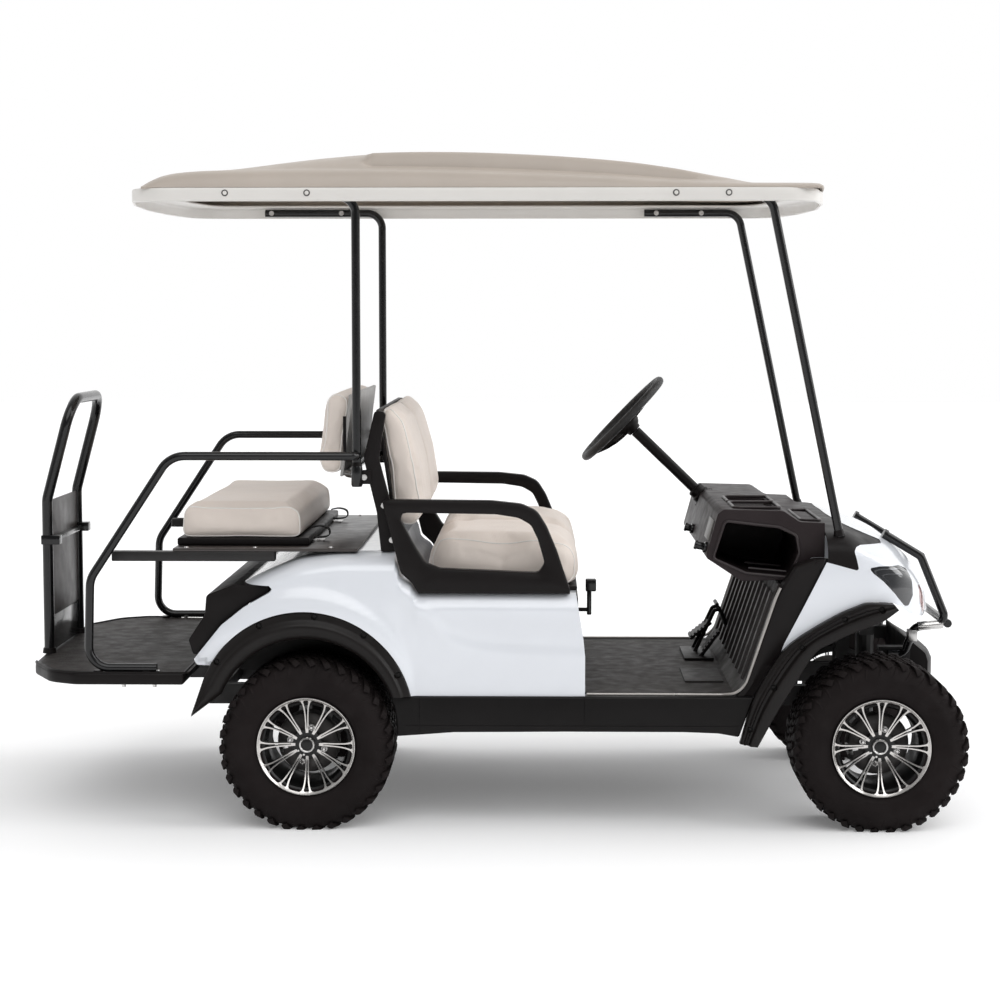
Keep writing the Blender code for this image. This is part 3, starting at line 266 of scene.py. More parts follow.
class Palette:
    """The finishes of the cart's own pieces."""

    BODY_WHITE = Finish(
        "body_white", (0.76, 0.785, 0.83), 0.22, "white_paint", Relief.ORANGE_PEEL, 260.0, 0.00005, coat=0.6,
        mottling=0.012,
    )
    MOULDED_BLACK = Finish(
        "moulded_black", (0.0085, 0.007, 0.007), 0.42, "black_plastic", Relief.GRAIN, 900.0, 0.00008,
        specular=0.14, mottling=0.12,
    )
    FLARE_BLACK = Finish(
        "flare_black", (0.009, 0.0075, 0.0072), 0.36, "black_plastic", Relief.GRAIN, 700.0, 0.0001,
        specular=0.2, mottling=0.12,
    )
    GLOSS_TUBE = Finish(
        "gloss_black_tube", (0.006, 0.006, 0.0065), 0.2, "black_tube", Relief.ORANGE_PEEL, 500.0, 0.00005,
        specular=0.35, coat=0.15, mottling=0.05,
    )
    FRAME_STEEL = Finish(
        "frame_steel", (0.014, 0.013, 0.013), 0.5, "black_steel", Relief.GRAIN, 300.0, 0.0001, metallic=0.2,
        mottling=0.25, dust=0.06,
    )
    ROOF_STONE = Finish(
        "roof_stone", (0.44, 0.385, 0.335), 0.42, "roof_plastic", Relief.GRAIN, 260.0, 0.00012,
        mottling=0.03,
    )
    # Pale colour of the roof rim and its bolt caps: a painted highlight, the light that the rim band catches
    # put into its colour.
    ROOF_RIM_PAINTED_HIGHLIGHT = Finish(
        "roof_rim_painted_highlight", (0.72, 0.7, 0.67), 0.35, "roof_rim_plastic", Relief.GRAIN, 260.0, 0.0001,
        mottling=0.02,
    )
    SEAT_VINYL = Finish(
        "cream_vinyl", (0.79, 0.705, 0.64), 0.46, "seat_vinyl", Relief.LEATHER, 520.0, 0.00022, sheen=0.08,
        mottling=0.03,
    )
    SEAT_PIPING = Finish(
        "seat_piping", (0.8, 0.765, 0.73), 0.4, "seat_vinyl", Relief.GRAIN, 600.0, 0.0001,
    )
    TYRE_RUBBER = Finish(
        "tread_rubber", (0.0105, 0.0078, 0.0078), 0.72, "tyre_rubber", Relief.GRAIN, 350.0, 0.00018,
        specular=0.12, mottling=0.18, dust=0.012,
    )
    MACHINED = Finish(
        "turned_alloy", (0.62, 0.6, 0.58), 0.24, "machined_alloy", Relief.GRAIN, 900.0, 0.00003,
        metallic=1.0,
    )
    POCKET_BLACK = Finish(
        "pocket_black", (0.006, 0.006, 0.006), 0.35, "machined_alloy", Relief.ORANGE_PEEL, 500.0, 0.00005,
        specular=0.3, coat=0.1,
    )
    BRIGHT_STEEL = Finish(
        "bright_steel", (0.62, 0.61, 0.6), 0.28, "machined_alloy", Relief.BRUSHED, 800.0, 0.00003,
        metallic=1.0,
    )
    CAST_DRUM = Finish(
        "cast_drum", (0.085, 0.08, 0.077), 0.55, "black_steel", Relief.GRAIN, 400.0, 0.0002, metallic=0.6,
        mottling=0.3,
    )
    LENS_SMOKE = Finish(
        "lens_smoke", (0.012, 0.013, 0.016), 0.06, "smoked_lens", Relief.ORANGE_PEEL, 90.0, 0.00004,
        coat=1.0, specular=0.6,
    )
    LAMP_RED = Finish(
        "lamp_red", (0.2, 0.028, 0.02), 0.22, "smoked_lens", Relief.STIPPLE, 260.0, 0.0003, coat=0.8,
    )
    FLOOR_RUBBER = Finish(
        "floor_rubber", (0.02, 0.017, 0.016), 0.62, "floor_mat", Relief.STIPPLE, 330.0, 0.0004,
        specular=0.25, mottling=0.15, dust=0.05,
    )
    STEP_TREAD = Finish(
        "step_tread", (0.014, 0.011, 0.0105), 0.55, "black_plastic", Relief.STIPPLE, 150.0, 0.0008,
        specular=0.16, mottling=0.18, dust=0.05,
    )
    DECK_GREY = Finish(
        "deck_grey", (0.04, 0.033, 0.031), 0.34, "grey_panel", Relief.GRAIN, 500.0, 0.0001, mottling=0.1,
    )
    WHEEL_GRIP = Finish(
        "wheel_grip", (0.013, 0.013, 0.0135), 0.5, "black_plastic", Relief.LEATHER, 700.0, 0.0002,
    )
    SILL_BLACK = Finish(
        "sill_black", (0.008, 0.0072, 0.0072), 0.38, "black_plastic", Relief.GRAIN, 600.0, 0.00008,
        specular=0.14, mottling=0.1,
    )
    MAT_RIB = Finish(
        "mat_rib", (0.022, 0.019, 0.018), 0.55, "floor_mat", Relief.GRAIN, 500.0, 0.0002, specular=0.35,
        mottling=0.15,
    )
    DASH_BROWN = Finish(
        "dash_brown", (0.025, 0.019, 0.02), 0.45, "black_plastic", Relief.GRAIN, 900.0, 0.00008,
        specular=0.14, mottling=0.12,
    )
    DASH_EDGE = Finish(
        "dash_edge", (0.03, 0.023, 0.024), 0.34, "black_plastic", Relief.GRAIN, 900.0, 0.00006, specular=0.3,
        mottling=0.1,
    )
    PLATE_GREY = Finish(
        "plate_grey", (0.1, 0.095, 0.09), 0.4, "black_plastic", Relief.GRAIN, 600.0, 0.00008, specular=0.4,
        mottling=0.08,
    )
    LENS_EDGE = Finish(
        "lens_edge", (0.16, 0.165, 0.175), 0.12, "smoked_lens", Relief.ORANGE_PEEL, 90.0, 0.00004,
        metallic=0.7, coat=0.8,
    )
    SHELL_GREY = Finish(
        "shell_grey", (0.36, 0.35, 0.34), 0.4, "grey_panel", Relief.GRAIN, 500.0, 0.0001,
    )
    BOLT_GREY = Finish(
        "bolt_grey", (0.12, 0.115, 0.11), 0.35, "machined_alloy", Relief.GRAIN, 900.0, 0.00003, metallic=0.8,
    )
    PANEL_BROWN = Finish(
        "panel_brown", (0.034, 0.026, 0.025), 0.35, "grey_panel", Relief.GRAIN, 500.0, 0.0001, specular=0.35,
        mottling=0.06,
    )
    STRAP_BLACK = Finish(
        "strap_black", (0.01, 0.01, 0.01), 0.8, "black_plastic", Relief.STIPPLE, 700.0, 0.0002, specular=0.2,
        mottling=0.2,
    )
    TRIM_SILVER = Finish(
        "trim_silver", (0.42, 0.4, 0.38), 0.32, "black_plastic", Relief.ORANGE_PEEL, 300.0, 0.00004,
        metallic=0.5,
    )


# Shaping


def at(x: float, y: float, z: float) -> Vector:
    """Gives a point of the modelled body in the frame of the cart."""
    return Vector((x + CART_SHIFT, y, z))


def side_points(outline: Iterable[Sequence[float]], y: float) -> list[Vector]:
    """Lays an (x, z) outline in the plane of one y."""
    return [at(x, y, z) for x, z in outline]


def arc(centre: Point, radius: float, start: float, end: float, steps: int) -> list[Point]:
    """Gives points of an arc between two angles in degrees."""
    turns = [math.radians(start + (end - start) * step / steps) for step in range(steps + 1)]
    return [(centre[0] + radius * math.cos(turn), centre[1] + radius * math.sin(turn)) for turn in turns]


def rounded(
    points: Sequence[Sequence[float]], radius: float | Sequence[float], steps: int = 6, closed: bool = True,
) -> list[Vector]:
    """Rounds the corners of a route or outline.

    Args:
        points: The corners, flat or in space.
        radius: One radius, or one for each corner.
        steps: Pieces in each round corner.
        closed: Whether the last point meets the first.

    Returns:
        The points with an arc in place of each corner.
    """
    corners = [Vector(point) for point in points]
    radii = [radius] * len(corners) if isinstance(radius, (int, float)) else list(radius)
    found: list[Vector] = []
    for index, corner in enumerate(corners):
        if radii[index] <= 0 or (not closed and index in (0, len(corners) - 1)):
            found.append(corner)
            continue
        before = corners[index - 1] - corner
        after = corners[(index + 1) % len(corners)] - corner
        half = before.angle(after) / 2
        if half > math.radians(89):
            found.append(corner)
            continue
        reach = min(radii[index] / math.tan(half), before.length * 0.49, after.length * 0.49)
        start, end = corner + before.normalized() * reach, corner + after.normalized() * reach
        middle = corner + (before.normalized() + after.normalized()).normalized() * reach / math.cos(half)
        arm = (start - middle).length
        for step in range(steps + 1):
            found.append(middle + (start.lerp(end, step / steps) - middle).normalized() * arm)
    return found


def smooth_line(points: Sequence[Sequence[float]], count: int, closed: bool = False) -> list[Vector]:
    """Runs a smooth curve through points.

    Args:
        points: The points that the curve passes.
        count: Number of points to give.
        closed: Whether the curve returns to its start.

    Returns:
        Points spaced evenly by the curve's own parameter.
    """
    knots = [Vector(point) for point in points]
    spans = len(knots) if closed else len(knots) - 1
    found = []
    for index in range(count):
        place = index * spans / (count if closed else count - 1)
        span = min(int(place), spans - 1)
        share = place - span
        if closed:
            a, b, c, d = (knots[(span + offset) % len(knots)] for offset in (-1, 0, 1, 2))
        else:
            b, c = knots[span], knots[span + 1]
            a = knots[span - 1] if span else b * 2 - c
            d = knots[span + 2] if span + 2 < len(knots) else c * 2 - b
        curve = b * 2 + (c - a) * share + (a * 2 - b * 5 + c * 4 - d) * share**2
        found.append((curve + (b * 3 - a - c * 3 + d) * share**3) / 2)
    return found


def value_at(knots: Sequence[Point], x: float) -> float:
    """Reads a smooth curve through (x, value) knots that never overshoots them, held level past its ends.

    Args:
        knots: The knots, in rising x.
        x: Where to read.

    Returns:
        The value there.
    """
    if x <= knots[0][0]:
        return knots[0][1]
    if x >= knots[-1][0]:
        return knots[-1][1]
    index = next(i for i in range(len(knots) - 1) if x <= knots[i + 1][0])

    def secant(i: int) -> float:
        """Gives the slope of one step between points."""
        i = min(max(i, 0), len(knots) - 2)
        return (knots[i + 1][1] - knots[i][1]) / (knots[i + 1][0] - knots[i][0])

    def slope(i: int) -> float:
        """Gives the slope at a point, flat where the steps turn back."""
        before, after = secant(i - 1), secant(i)
        return 0.0 if before * after <= 0 else 2 * before * after / (before + after)

    (x0, v0), (x1, v1) = knots[index], knots[index + 1]
    share, span = (x - x0) / (x1 - x0), x1 - x0
    s2, s3 = share**2, share**3
    rise = (s3 - 2 * s2 + share) * slope(index) * span + (s3 - s2) * slope(index + 1) * span
    return (2 * s3 - 3 * s2 + 1) * v0 + rise + (3 * s2 - 2 * s3) * v1


def ease(low: float, high: float, x: float) -> float:
    """Rises smoothly from 0 at low to 1 at high."""
    share = min(1.0, max(0.0, (x - low) / (high - low)))
    return share * share * (3 - 2 * share)


def spaced(points: Sequence[Sequence[float]], count: int, closed: bool = False) -> list[Vector]:
    """Spaces points evenly along a line.

    Args:
        points: Corners of the line.
        count: Number of points to give.
        closed: Whether the line returns to its start.

    Returns:
        The points.
    """
    line = [Vector(point) for point in points]
    if closed:
        line.append(line[0].copy())
    reach = [0.0]
    for first, second in zip(line, line[1:]):
        reach.append(reach[-1] + (second - first).length)
    found, span = [], 0
    for index in range(count):
        goal = reach[-1] * index / (count if closed else count - 1)
        while span < len(line) - 2 and reach[span + 1] < goal:
            span += 1
        width = reach[span + 1] - reach[span]
        found.append(line[span].lerp(line[span + 1], (goal - reach[span]) / width if width else 0.0))
    return found


def around(outline: Sequence[Sequence[float]], centre: Point, count: int) -> list[Point]:
    """Finds where rays from a point inside cross a closed outline.

    Args:
        outline: Flat outline.
        centre: The point inside.
        count: Number of rays, evenly turned.

    Returns:
        The farthest crossing of each ray.
    """
    found = []
    for index in range(count):
        turn = math.tau * index / count
        along = (math.cos(turn), math.sin(turn))
        best = 0.0
        for number, first in enumerate(outline):
            second = outline[(number + 1) % len(outline)]
            ax, ay = first[0] - centre[0], first[1] - centre[1]
            bx, by = second[0] - first[0], second[1] - first[1]
            across = along[0] * by - along[1] * bx
            if abs(across) < 1e-12:
                continue
            reach = (ax * by - ay * bx) / across
            share = (ax * along[1] - ay * along[0]) / across
            if reach > 0 and -1e-9 <= share <= 1 + 1e-9:
                best = max(best, reach)
        found.append((centre[0] + along[0] * best, centre[1] + along[1] * best))
    return found


def skin(
    bm: BMesh, rings: Sequence[Sequence[Vector]], closed: bool = True, caps: bool = True,
    ends_meet: bool = False,
) -> None:
    """Draws a grid over rings of points that all have the same length.

    Args:
        bm: The mesh that takes the skin.
        rings: The rings, in order.
        closed: Whether each ring returns to its start.
        caps: Whether the open ends are filled.
        ends_meet: Whether the last ring joins the first.
    """
    across = len(rings[0]) if closed else len(rings[0]) - 1
    along = len(rings) if ends_meet else len(rings) - 1
    verts = bmesh.ops.create_grid(bm, x_segments=along, y_segments=across, size=0.5)["verts"]
    for vert in verts:
        row, place = round((vert.co.x + 0.5) * along), round((vert.co.y + 0.5) * across)
        vert.co = rings[row % len(rings)][place % len(rings[0])]
    bmesh.ops.remove_doubles(bm, verts=verts, dist=SAME_PLACE)
    if caps:
        alive = {vert for vert in verts if vert.is_valid}
        edges = [edge for edge in bm.edges if edge.is_boundary and edge.verts[0] in alive]
        bmesh.ops.holes_fill(bm, edges=edges, sides=0)


def frame_ring(bm: BMesh, outer: Sequence[Point], inner: Sequence[Point], y: Point, radius: float) -> None:
    """Draws a flat loop with rounded edges between two side outlines.

    Args:
        bm: The mesh that takes the loop.
        outer: Points of the outside, facing those of the inside one to one.
        inner: Points of the hole.
        y: The loop's two faces.
        radius: Rounding of its edges.
    """
    near, far = y
    step = math.copysign(radius, far - near)
    rings = []
    for first, second in zip(outer, inner):
        edge, hole = Vector(first), Vector(second)
        width = (hole - edge).length
        soft = min(radius, width * 0.4) / width
        corners = ((0.0, 1.0), (soft * 0.3, 0.3), (soft, 0.0))
        near_side = [(share, near + step * drop) for share, drop in corners]
        near_side += [(1.0 - share, near + step * drop) for share, drop in reversed(corners)]
        far_side = [(share, near + far - level) for share, level in reversed(near_side)]
        ring = []
        for share, level in (*near_side, *far_side):
            place = edge.lerp(hole, share)
            ring.append(at(place[0], level, place[1]))
        rings.append(ring)
    skin(bm, rings, closed=True, caps=False, ends_meet=True)


def sweep(bm: BMesh, route: Sequence[Vector], radius: float | Sequence[float], steps: int = 16) -> None:
    """Draws a round bar along a route.

    Args:
        bm: The mesh that takes the bar.
        route: Points of the middle line.
        radius: One radius, or one for each point.
        steps: Sides of the bar.
    """
    radii = [radius] * len(route) if isinstance(radius, (int, float)) else list(radius)
    tangents = []
    for index in range(len(route)):
        tangents.append((route[min(index + 1, len(route) - 1)] - route[max(index - 1, 0)]).normalized())
    turn = tangents[0].to_track_quat("Z", "Y")
    matrix = Matrix.Translation(route[0]) @ turn.to_matrix().to_4x4() @ Matrix.Scale(radii[0], 4)
    ring = bmesh.ops.create_circle(bm, cap_ends=True, segments=steps, radius=1.0, matrix=matrix)["verts"]
    face = next(face for face in ring[0].link_faces if len(face.verts) == steps)
    if face.normal.dot(tangents[0]) > 0:
        face.normal_flip()
    edges = list(face.edges)
    for index in range(1, len(route)):
        made = bmesh.ops.extrude_edge_only(bm, edges=edges)["geom"]
        verts = [item for item in made if isinstance(item, bmesh.types.BMVert)]
        edges = [item for item in made if isinstance(item, bmesh.types.BMEdge)]
        turn = tangents[index - 1].rotation_difference(tangents[index]) @ turn
        size = Matrix.Scale(radii[index], 4)
        following = Matrix.Translation(route[index]) @ turn.to_matrix().to_4x4() @ size
        bmesh.ops.transform(bm, matrix=following @ matrix.inverted(), verts=verts)
        matrix = following
    bmesh.ops.contextual_create(bm, geom=edges)


def prism(bm: BMesh, outline: Sequence[Vector], depth: Vector) -> list[bmesh.types.BMVert]:
    """Extrudes a closed outline.

    Args:
        bm: The mesh that takes the shape.
        outline: The outline's points in space.
        depth: The way from one face to the other.

    Returns:
        The vertices of the shape.
    """
    verts = [bm.verts.new(point) for point in outline]
    face = bm.faces.new(verts)
    made = bmesh.ops.extrude_face_region(bm, geom=[face])["geom"]
    moved = [item for item in made if isinstance(item, bmesh.types.BMVert)]
    bmesh.ops.translate(bm, vec=depth, verts=moved)
    return verts + moved


def block(bm: BMesh, low: Vector, high: Vector) -> list[bmesh.types.BMVert]:
    """Adds a block between two corners and returns its vertices."""
    size = high - low
    matrix = Matrix.Translation((low + high) / 2) @ Matrix.Diagonal((*size, 1.0))
    return bmesh.ops.create_cube(bm, size=1.0, matrix=matrix)["verts"]


def drum(
    bm: BMesh, start: Vector, end: Vector, radius: float, steps: int = 24, tip: float | None = None,
) -> list:
    """Adds a cylinder or cone between two points and returns its vertices.

    Args:
        bm: The mesh that is added to.
        start: Middle of the first end.
        end: Middle of the last end.
        radius: Radius at the first end.
        steps: Corners round.
        tip: Radius at the last end, where it differs.

    Returns:
        The new vertices.
    """
    length = (end - start).length
    turn = (end - start).to_track_quat("Z", "Y").to_matrix().to_4x4()
    matrix = Matrix.Translation((start + end) / 2) @ turn
    made = bmesh.ops.create_cone(
        bm, cap_ends=True, segments=steps, radius1=radius, radius2=radius if tip is None else tip,
        depth=length, matrix=matrix,
    )
    return made["verts"]


def lathe(bm: BMesh, profile: Sequence[Point], steps: int, closed: bool = False) -> None:
    """Turns a profile of (radius, height) points round the Y axis.

    Args:
        bm: The mesh that takes the shape.
        profile: Points of the profile, the height along Y.
        steps: Pieces round the axis.
        closed: Whether the last point meets the first.
    """
    verts = [bm.verts.new((radius, height, 0.0)) for radius, height in profile]
    pairs = list(zip(verts, verts[1:]))
    if closed:
        pairs.append((verts[-1], verts[0]))
    edges = [bm.edges.new(pair) for pair in pairs]
    bmesh.ops.spin(
        bm, geom=verts + edges, cent=(0, 0, 0), axis=(0, 1, 0), angle=math.tau, steps=steps, use_merge=True,
        use_duplicate=False,
    )
    bmesh.ops.remove_doubles(bm, verts=bm.verts, dist=SAME_PLACE)


def soften(
    bm: BMesh, width: float, segments: int = 2, angle: float = 35.0,
    verts: Iterable[bmesh.types.BMVert] | None = None,
) -> None:
    """Rounds the sharp edges of a mesh.

    Args:
        bm: The mesh.
        width: Width of the rounding.
        segments: Pieces in each rounding.
        angle: Least angle between two faces, in degrees, that counts as sharp.
        verts: Vertices whose edges are taken, or None for all.
    """
    limit = math.radians(angle)
    edges = bm.edges if verts is None else {edge for vert in verts for edge in vert.link_edges}
    sharp = [edge for edge in edges if len(edge.link_faces) == 2 and edge.calc_face_angle(0.0) > limit]
    bmesh.ops.bevel(
        bm, geom=sharp, offset=width, offset_type="OFFSET", affect="EDGES", segments=segments, profile=0.5,
        material=-1, clamp_overlap=True,
    )


def patch(
    bm: BMesh, columns: int, rows: int, place: Callable[[float, float], Vector],
) -> list[bmesh.types.BMFace]:
    """Lays a grid over a curved surface.

    Args:
        bm: The mesh that takes the grid.
        columns: Pieces along the first share.
        rows: Pieces along the second share.
        place: Gives the point for two shares from 0 to 1.

    Returns:
        The faces of the grid.
    """
    verts = bmesh.ops.create_grid(bm, x_segments=columns, y_segments=rows, size=0.5)["verts"]
    for vert in verts:
        vert.co = place(vert.co.x + 0.5, vert.co.y + 0.5)
    return list({face for vert in verts for face in vert.link_faces})


def stamp(bm: BMesh, pattern: bpy.types.Mesh, matrix: Matrix) -> None:
    """Adds a copy of a pattern mesh, placed by a matrix.

    Args:
        bm: The mesh that is added to.
        pattern: The mesh that is copied.
        matrix: Where the copy goes.
    """
    before = len(bm.verts)
    bm.from_mesh(pattern)
    bm.verts.ensure_lookup_table()
    bmesh.ops.transform(bm, matrix=matrix, verts=bm.verts[before:])


def as_pattern(bm: BMesh, name: str) -> bpy.types.Mesh:
    """Makes a mesh to stamp from, its faces turned outwards.

    Args:
        bm: The mesh. It is freed.
        name: The pattern's name.

    Returns:
        The pattern.
    """
    bmesh.ops.recalc_face_normals(bm, faces=bm.faces)
    mesh = bpy.data.meshes.new(name)
    bm.to_mesh(mesh)
    bm.free()
    return mesh


def subtract(obj: Object, cutter: BMesh, operation: str = "DIFFERENCE", crossing: bool = False) -> Object:
    """Cuts a shape out of an object and keeps the result as its mesh.

    Args:
        obj: The object that is cut.
        cutter: The shape to cut with. It is freed.
        operation: The kind of Boolean.
        crossing: Whether parts of the cutter cross each other.

    Returns:
        The object, with a new mesh.
    """
    tool = bpy.data.objects.new("cutter", as_pattern(cutter, "cutter"))
    bpy.context.scene.collection.objects.link(tool)
    modifier = obj.modifiers.new("cut", "BOOLEAN")
    modifier.operation = operation
    modifier.solver = "EXACT"
    modifier.use_self = crossing
    modifier.object = tool
    settle(obj)
    bpy.data.objects.remove(tool, do_unlink=True)
    return obj


def opened(obj: Object) -> BMesh:
    """Opens an object's mesh for more work."""
    bm = bmesh.new()
    bm.from_mesh(obj.data)
    return bm


def put_back(bm: BMesh, obj: Object, turn_out: bool = False) -> None:
    """Puts a mesh back into its object.

    Args:
        bm: The mesh. It is freed.
        obj: The object.
        turn_out: Whether its faces are turned outwards.
    """
    if turn_out:
        bmesh.ops.recalc_face_normals(bm, faces=bm.faces)
    bm.to_mesh(obj.data)
    bm.free()


def settle(obj: Object) -> Object:
    """Applies all modifiers of an object to its mesh.

    Args:
        obj: The object with modifiers.

    Returns:
        The same object.
    """
    bpy.context.view_layer.update()
    mesh = bpy.data.meshes.new_from_object(obj.evaluated_get(bpy.context.evaluated_depsgraph_get()))
    obj.modifiers.clear()
    obj.data = mesh
    return obj


def shade(obj: Object, angle: float = SMOOTH_UP_TO) -> Object:
    """Shades an object smooth up to an angle in degrees."""
    obj.data.shade_smooth()
    obj.data.set_sharp_from_angle(angle=math.radians(angle))
    return obj


def loose(name: str, bm: BMesh, turn_out: bool = True) -> Object:
    """Makes an object from a mesh that is still being worked on.

    Args:
        name: Name of the object.
        bm: The mesh. It is freed.
        turn_out: Whether its faces are turned outwards.

    Returns:
        The object, linked to the scene.
    """
    if turn_out:
        bmesh.ops.recalc_face_normals(bm, faces=bm.faces)
    mesh = bpy.data.meshes.new(name)
    bm.to_mesh(mesh)
    bm.free()
    obj = bpy.data.objects.new(name, mesh)
    bpy.context.scene.collection.objects.link(obj)
    return obj


def dress(
    obj: Object, finish: Finish | Sequence[Finish], body: str = "root", stands_for: Sequence[str] = (),
    angle: float = SMOOTH_UP_TO,
) -> Object:
    """Gives a modelled piece its finish, its body and the nodes that it stands for.

    Args:
        obj: The piece.
        finish: One finish, or one for each material index.
        body: The body that it rides on.
        stands_for: Nodes that it replaces.
        angle: Sharpest angle that is shaded smooth, in degrees.

    Returns:
        The piece.
    """
    finishes = [finish] if isinstance(finish, Finish) else list(finish)
    kept = [polygon.material_index for polygon in obj.data.polygons] if len(finishes) > 1 else []
    obj.data.materials.clear()
    for each in finishes:
        obj.data.materials.append(each.material())
    if kept:
        obj.data.polygons.foreach_set("material_index", kept)
    shade(obj, angle)
    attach(obj, body)
    if stands_for:
        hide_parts(*stands_for)
    LOG.info("%s: %d faces", obj.name, len(obj.data.polygons))
    return obj


def finished(
    name: str, bm: BMesh, finish: Finish | Sequence[Finish], body: str = "root",
    stands_for: Sequence[str] = (), angle: float = SMOOTH_UP_TO,
) -> Object:
    """Makes a finished piece straight from a mesh.

    Args:
        name: Name of the piece.
        bm: The mesh. It is freed.
        finish: One finish, or one for each material index.
        body: The body that it rides on.
        stands_for: Nodes that it replaces.
        angle: Sharpest angle that is shaded smooth, in degrees.

    Returns:
        The piece.
    """
    return dress(loose(name, bm), finish, body, stands_for, angle)


# Wheels


@dataclass
class Wheel:
    """An all-terrain tyre on a rim with twin spokes.

    Attributes:
        end: Front or rear.
        side: Right or left.
        rim_radius: Radius of the rim's lip.
        barrel_radius: Outer radius of the rim's barrel.
        spokes: Number of twin spokes.
        nut_circle: Radius of the circle of wheel nuts.
        shoulder_lugs: Lugs round one shoulder.
        reach: Radius that the worn lugs end at.
        tread_rows: Places of the rows of blocks across the tread.
        lug_pivot: Radius that the shoulder lugs are turned round.
        lug_yaw: Turn of the shoulder lugs in the tyre's plane, in degrees.
        lug_lean: Lean of the shoulder lugs, in degrees.
        block_yaw: Turn of the blocks between the shoulders, in degrees.
        hub_radius: Radius inside which the face is black.
        face_level: Distance from the wheel's middle above which the face is machined.
    """

    end: str
    side: str
    rim_radius: float = 0.1425
    barrel_radius: float = 0.1277
    spokes: int = 12
    nut_circle: float = 0.0508
    shoulder_lugs: int = 68
    reach: float = 0.2518
    tread_rows: tuple[float, ...] = (-0.048, -0.016, 0.016, 0.048)
    lug_pivot: float = 0.228
    lug_yaw: float = 26.0
    lug_lean: float = 14.0
    block_yaw: float = 28.0
    hub_radius: float = 0.0445
    face_level: float = 0.0755

    TYRE = "tyre_pattern"
    RIM = "rim_pattern"

    def build(self) -> None:
        """Places a tyre and a rim on this wheel's own body."""
        low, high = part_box(f"tyre_{self.end}_{self.side}")
        turn = Matrix.Rotation(0.0 if self.side == "left" else math.pi, 4, "Z")
        place = Matrix.Translation((low + high) / 2) @ turn
        body = f"{self.end}_wheel_{self.side}"
        tyre = bpy.data.meshes.get(self.TYRE) or self.tyre_pattern()
        rim = bpy.data.meshes.get(self.RIM) or self.rim_pattern()
        rim_finishes = (Palette.POCKET_BLACK, Palette.MACHINED, Palette.BRIGHT_STEEL, Palette.CAST_DRUM)
        for kind, pattern, finishes in (("tyre", tyre, (Palette.TYRE_RUBBER,)), ("rim", rim, rim_finishes)):
            node = f"{kind}_{self.end}_{self.side}"
            mesh = pattern.copy()
            mesh.transform(place)
            obj = bpy.data.objects.new(f"{node}_dressed", mesh)
            bpy.context.scene.collection.objects.link(obj)
            dress(obj, finishes, body, [node], 30.0)

    def tyre_pattern(self) -> bpy.types.Mesh:
        """Makes the tyre round the Y axis, its outer side towards +Y.

        Returns:
            The mesh, kept for the other wheels.
        """
        half = [
            (0.128, 0.1035), (0.142, 0.104), (0.1438, 0.1062), (0.147, 0.1085), (0.15, 0.1092),
            (0.156, 0.1122), (0.16, 0.114), (0.162, 0.114), (0.17, 0.1168), (0.18, 0.1185), (0.19, 0.1192),
            (0.2, 0.1186), (0.206, 0.1172), (0.2075, 0.1164), (0.219, 0.1128), (0.231, 0.1062),
            (0.2388, 0.0975), (0.2436, 0.082), (0.2458, 0.055), (0.2464, 0.0),
        ]
        bm = bmesh.new()
        lathe(bm, [*half, *[(r, -y) for r, y in reversed(half[:-1])]], 108, closed=True)
        for sign in (1.0, -1.0):
            self._shoulder(bm, sign)
        self._tread(bm)
        for vert in bm.verts:
            reach = math.hypot(vert.co.x, vert.co.z)
            if reach > self.reach:
                vert.co.x *= self.reach / reach
                vert.co.z *= self.reach / reach
        return as_pattern(bm, self.TYRE)

    def _shoulder(self, bm: BMesh, sign: float) -> None:
        """Adds the lugs of one shoulder, long and short in turn.

        Args:
            bm: The tyre's mesh.
            sign: The side along Y.
        """
        long_outline = (
            (0.242, 0.066), (0.2516, 0.068), (0.25, 0.094), (0.242, 0.1078), (0.23, 0.1148), (0.211, 0.1194),
            (0.209, 0.114), (0.227, 0.103),
        )
        short_outline = (
            (0.242, 0.07), (0.2512, 0.072), (0.2492, 0.093), (0.2408, 0.1064), (0.229, 0.1142),
            (0.2215, 0.1156), (0.221, 0.11), (0.232, 0.1),
        )
        for kind, (outline, width) in enumerate(((long_outline, 0.0196), (short_outline, 0.0182))):
            lug = bmesh.new()
            prism(
                lug, [Vector((radius, sign * y, -width / 2)) for radius, y in outline], Vector((0, 0, width)),
            )
            soften(lug, 0.001, 1, 20.0)
            pattern = as_pattern(lug, f"shoulder_lug_{kind}")
            pivot = Matrix.Translation((self.lug_pivot, 0, 0))
            yaw = Matrix.Rotation(math.radians(self.lug_yaw if kind else -self.lug_yaw), 4, "Y")
            lean = Matrix.Rotation(math.radians(sign * self.lug_lean), 4, "X")
            slant = pivot @ yaw @ lean @ Matrix.Translation((-self.lug_pivot, 0, 0))
            for index in range(kind, self.shoulder_lugs, 2):
                turn = math.tau * (index + (0.25 if sign > 0 else -0.25)) / self.shoulder_lugs
                stamp(bm, pattern, Matrix.Rotation(turn, 4, "Y") @ slant)

    def _tread(self, bm: BMesh) -> None:
        """Adds the angled blocks between the shoulders.

        Args:
            bm: The mesh that is added to.
        """
        block_outline = (
            (-0.013, -0.0075), (-0.004, -0.0092), (0.0138, -0.004), (0.0125, 0.0072), (0.002, 0.0044),
            (-0.0108, 0.0085),
        )
        lug = bmesh.new()
        prism(lug, [Vector((0.243, y, z)) for y, z in block_outline], Vector((0.0088, 0, 0)))
        soften(lug, 0.0009, 1, 30.0)
        pattern = as_pattern(lug, "tread_block")
        for row, y in enumerate(self.tread_rows):
            lean = Matrix.Rotation(math.radians(self.block_yaw if row % 2 else -self.block_yaw), 4, "X")
            for index in range(self.shoulder_lugs):
                turn = math.tau * (index + 0.5 * (row % 2) + 0.2 * row) / self.shoulder_lugs
                stamp(bm, pattern, Matrix.Rotation(turn, 4, "Y") @ Matrix.Translation((0, y, 0)) @ lean)

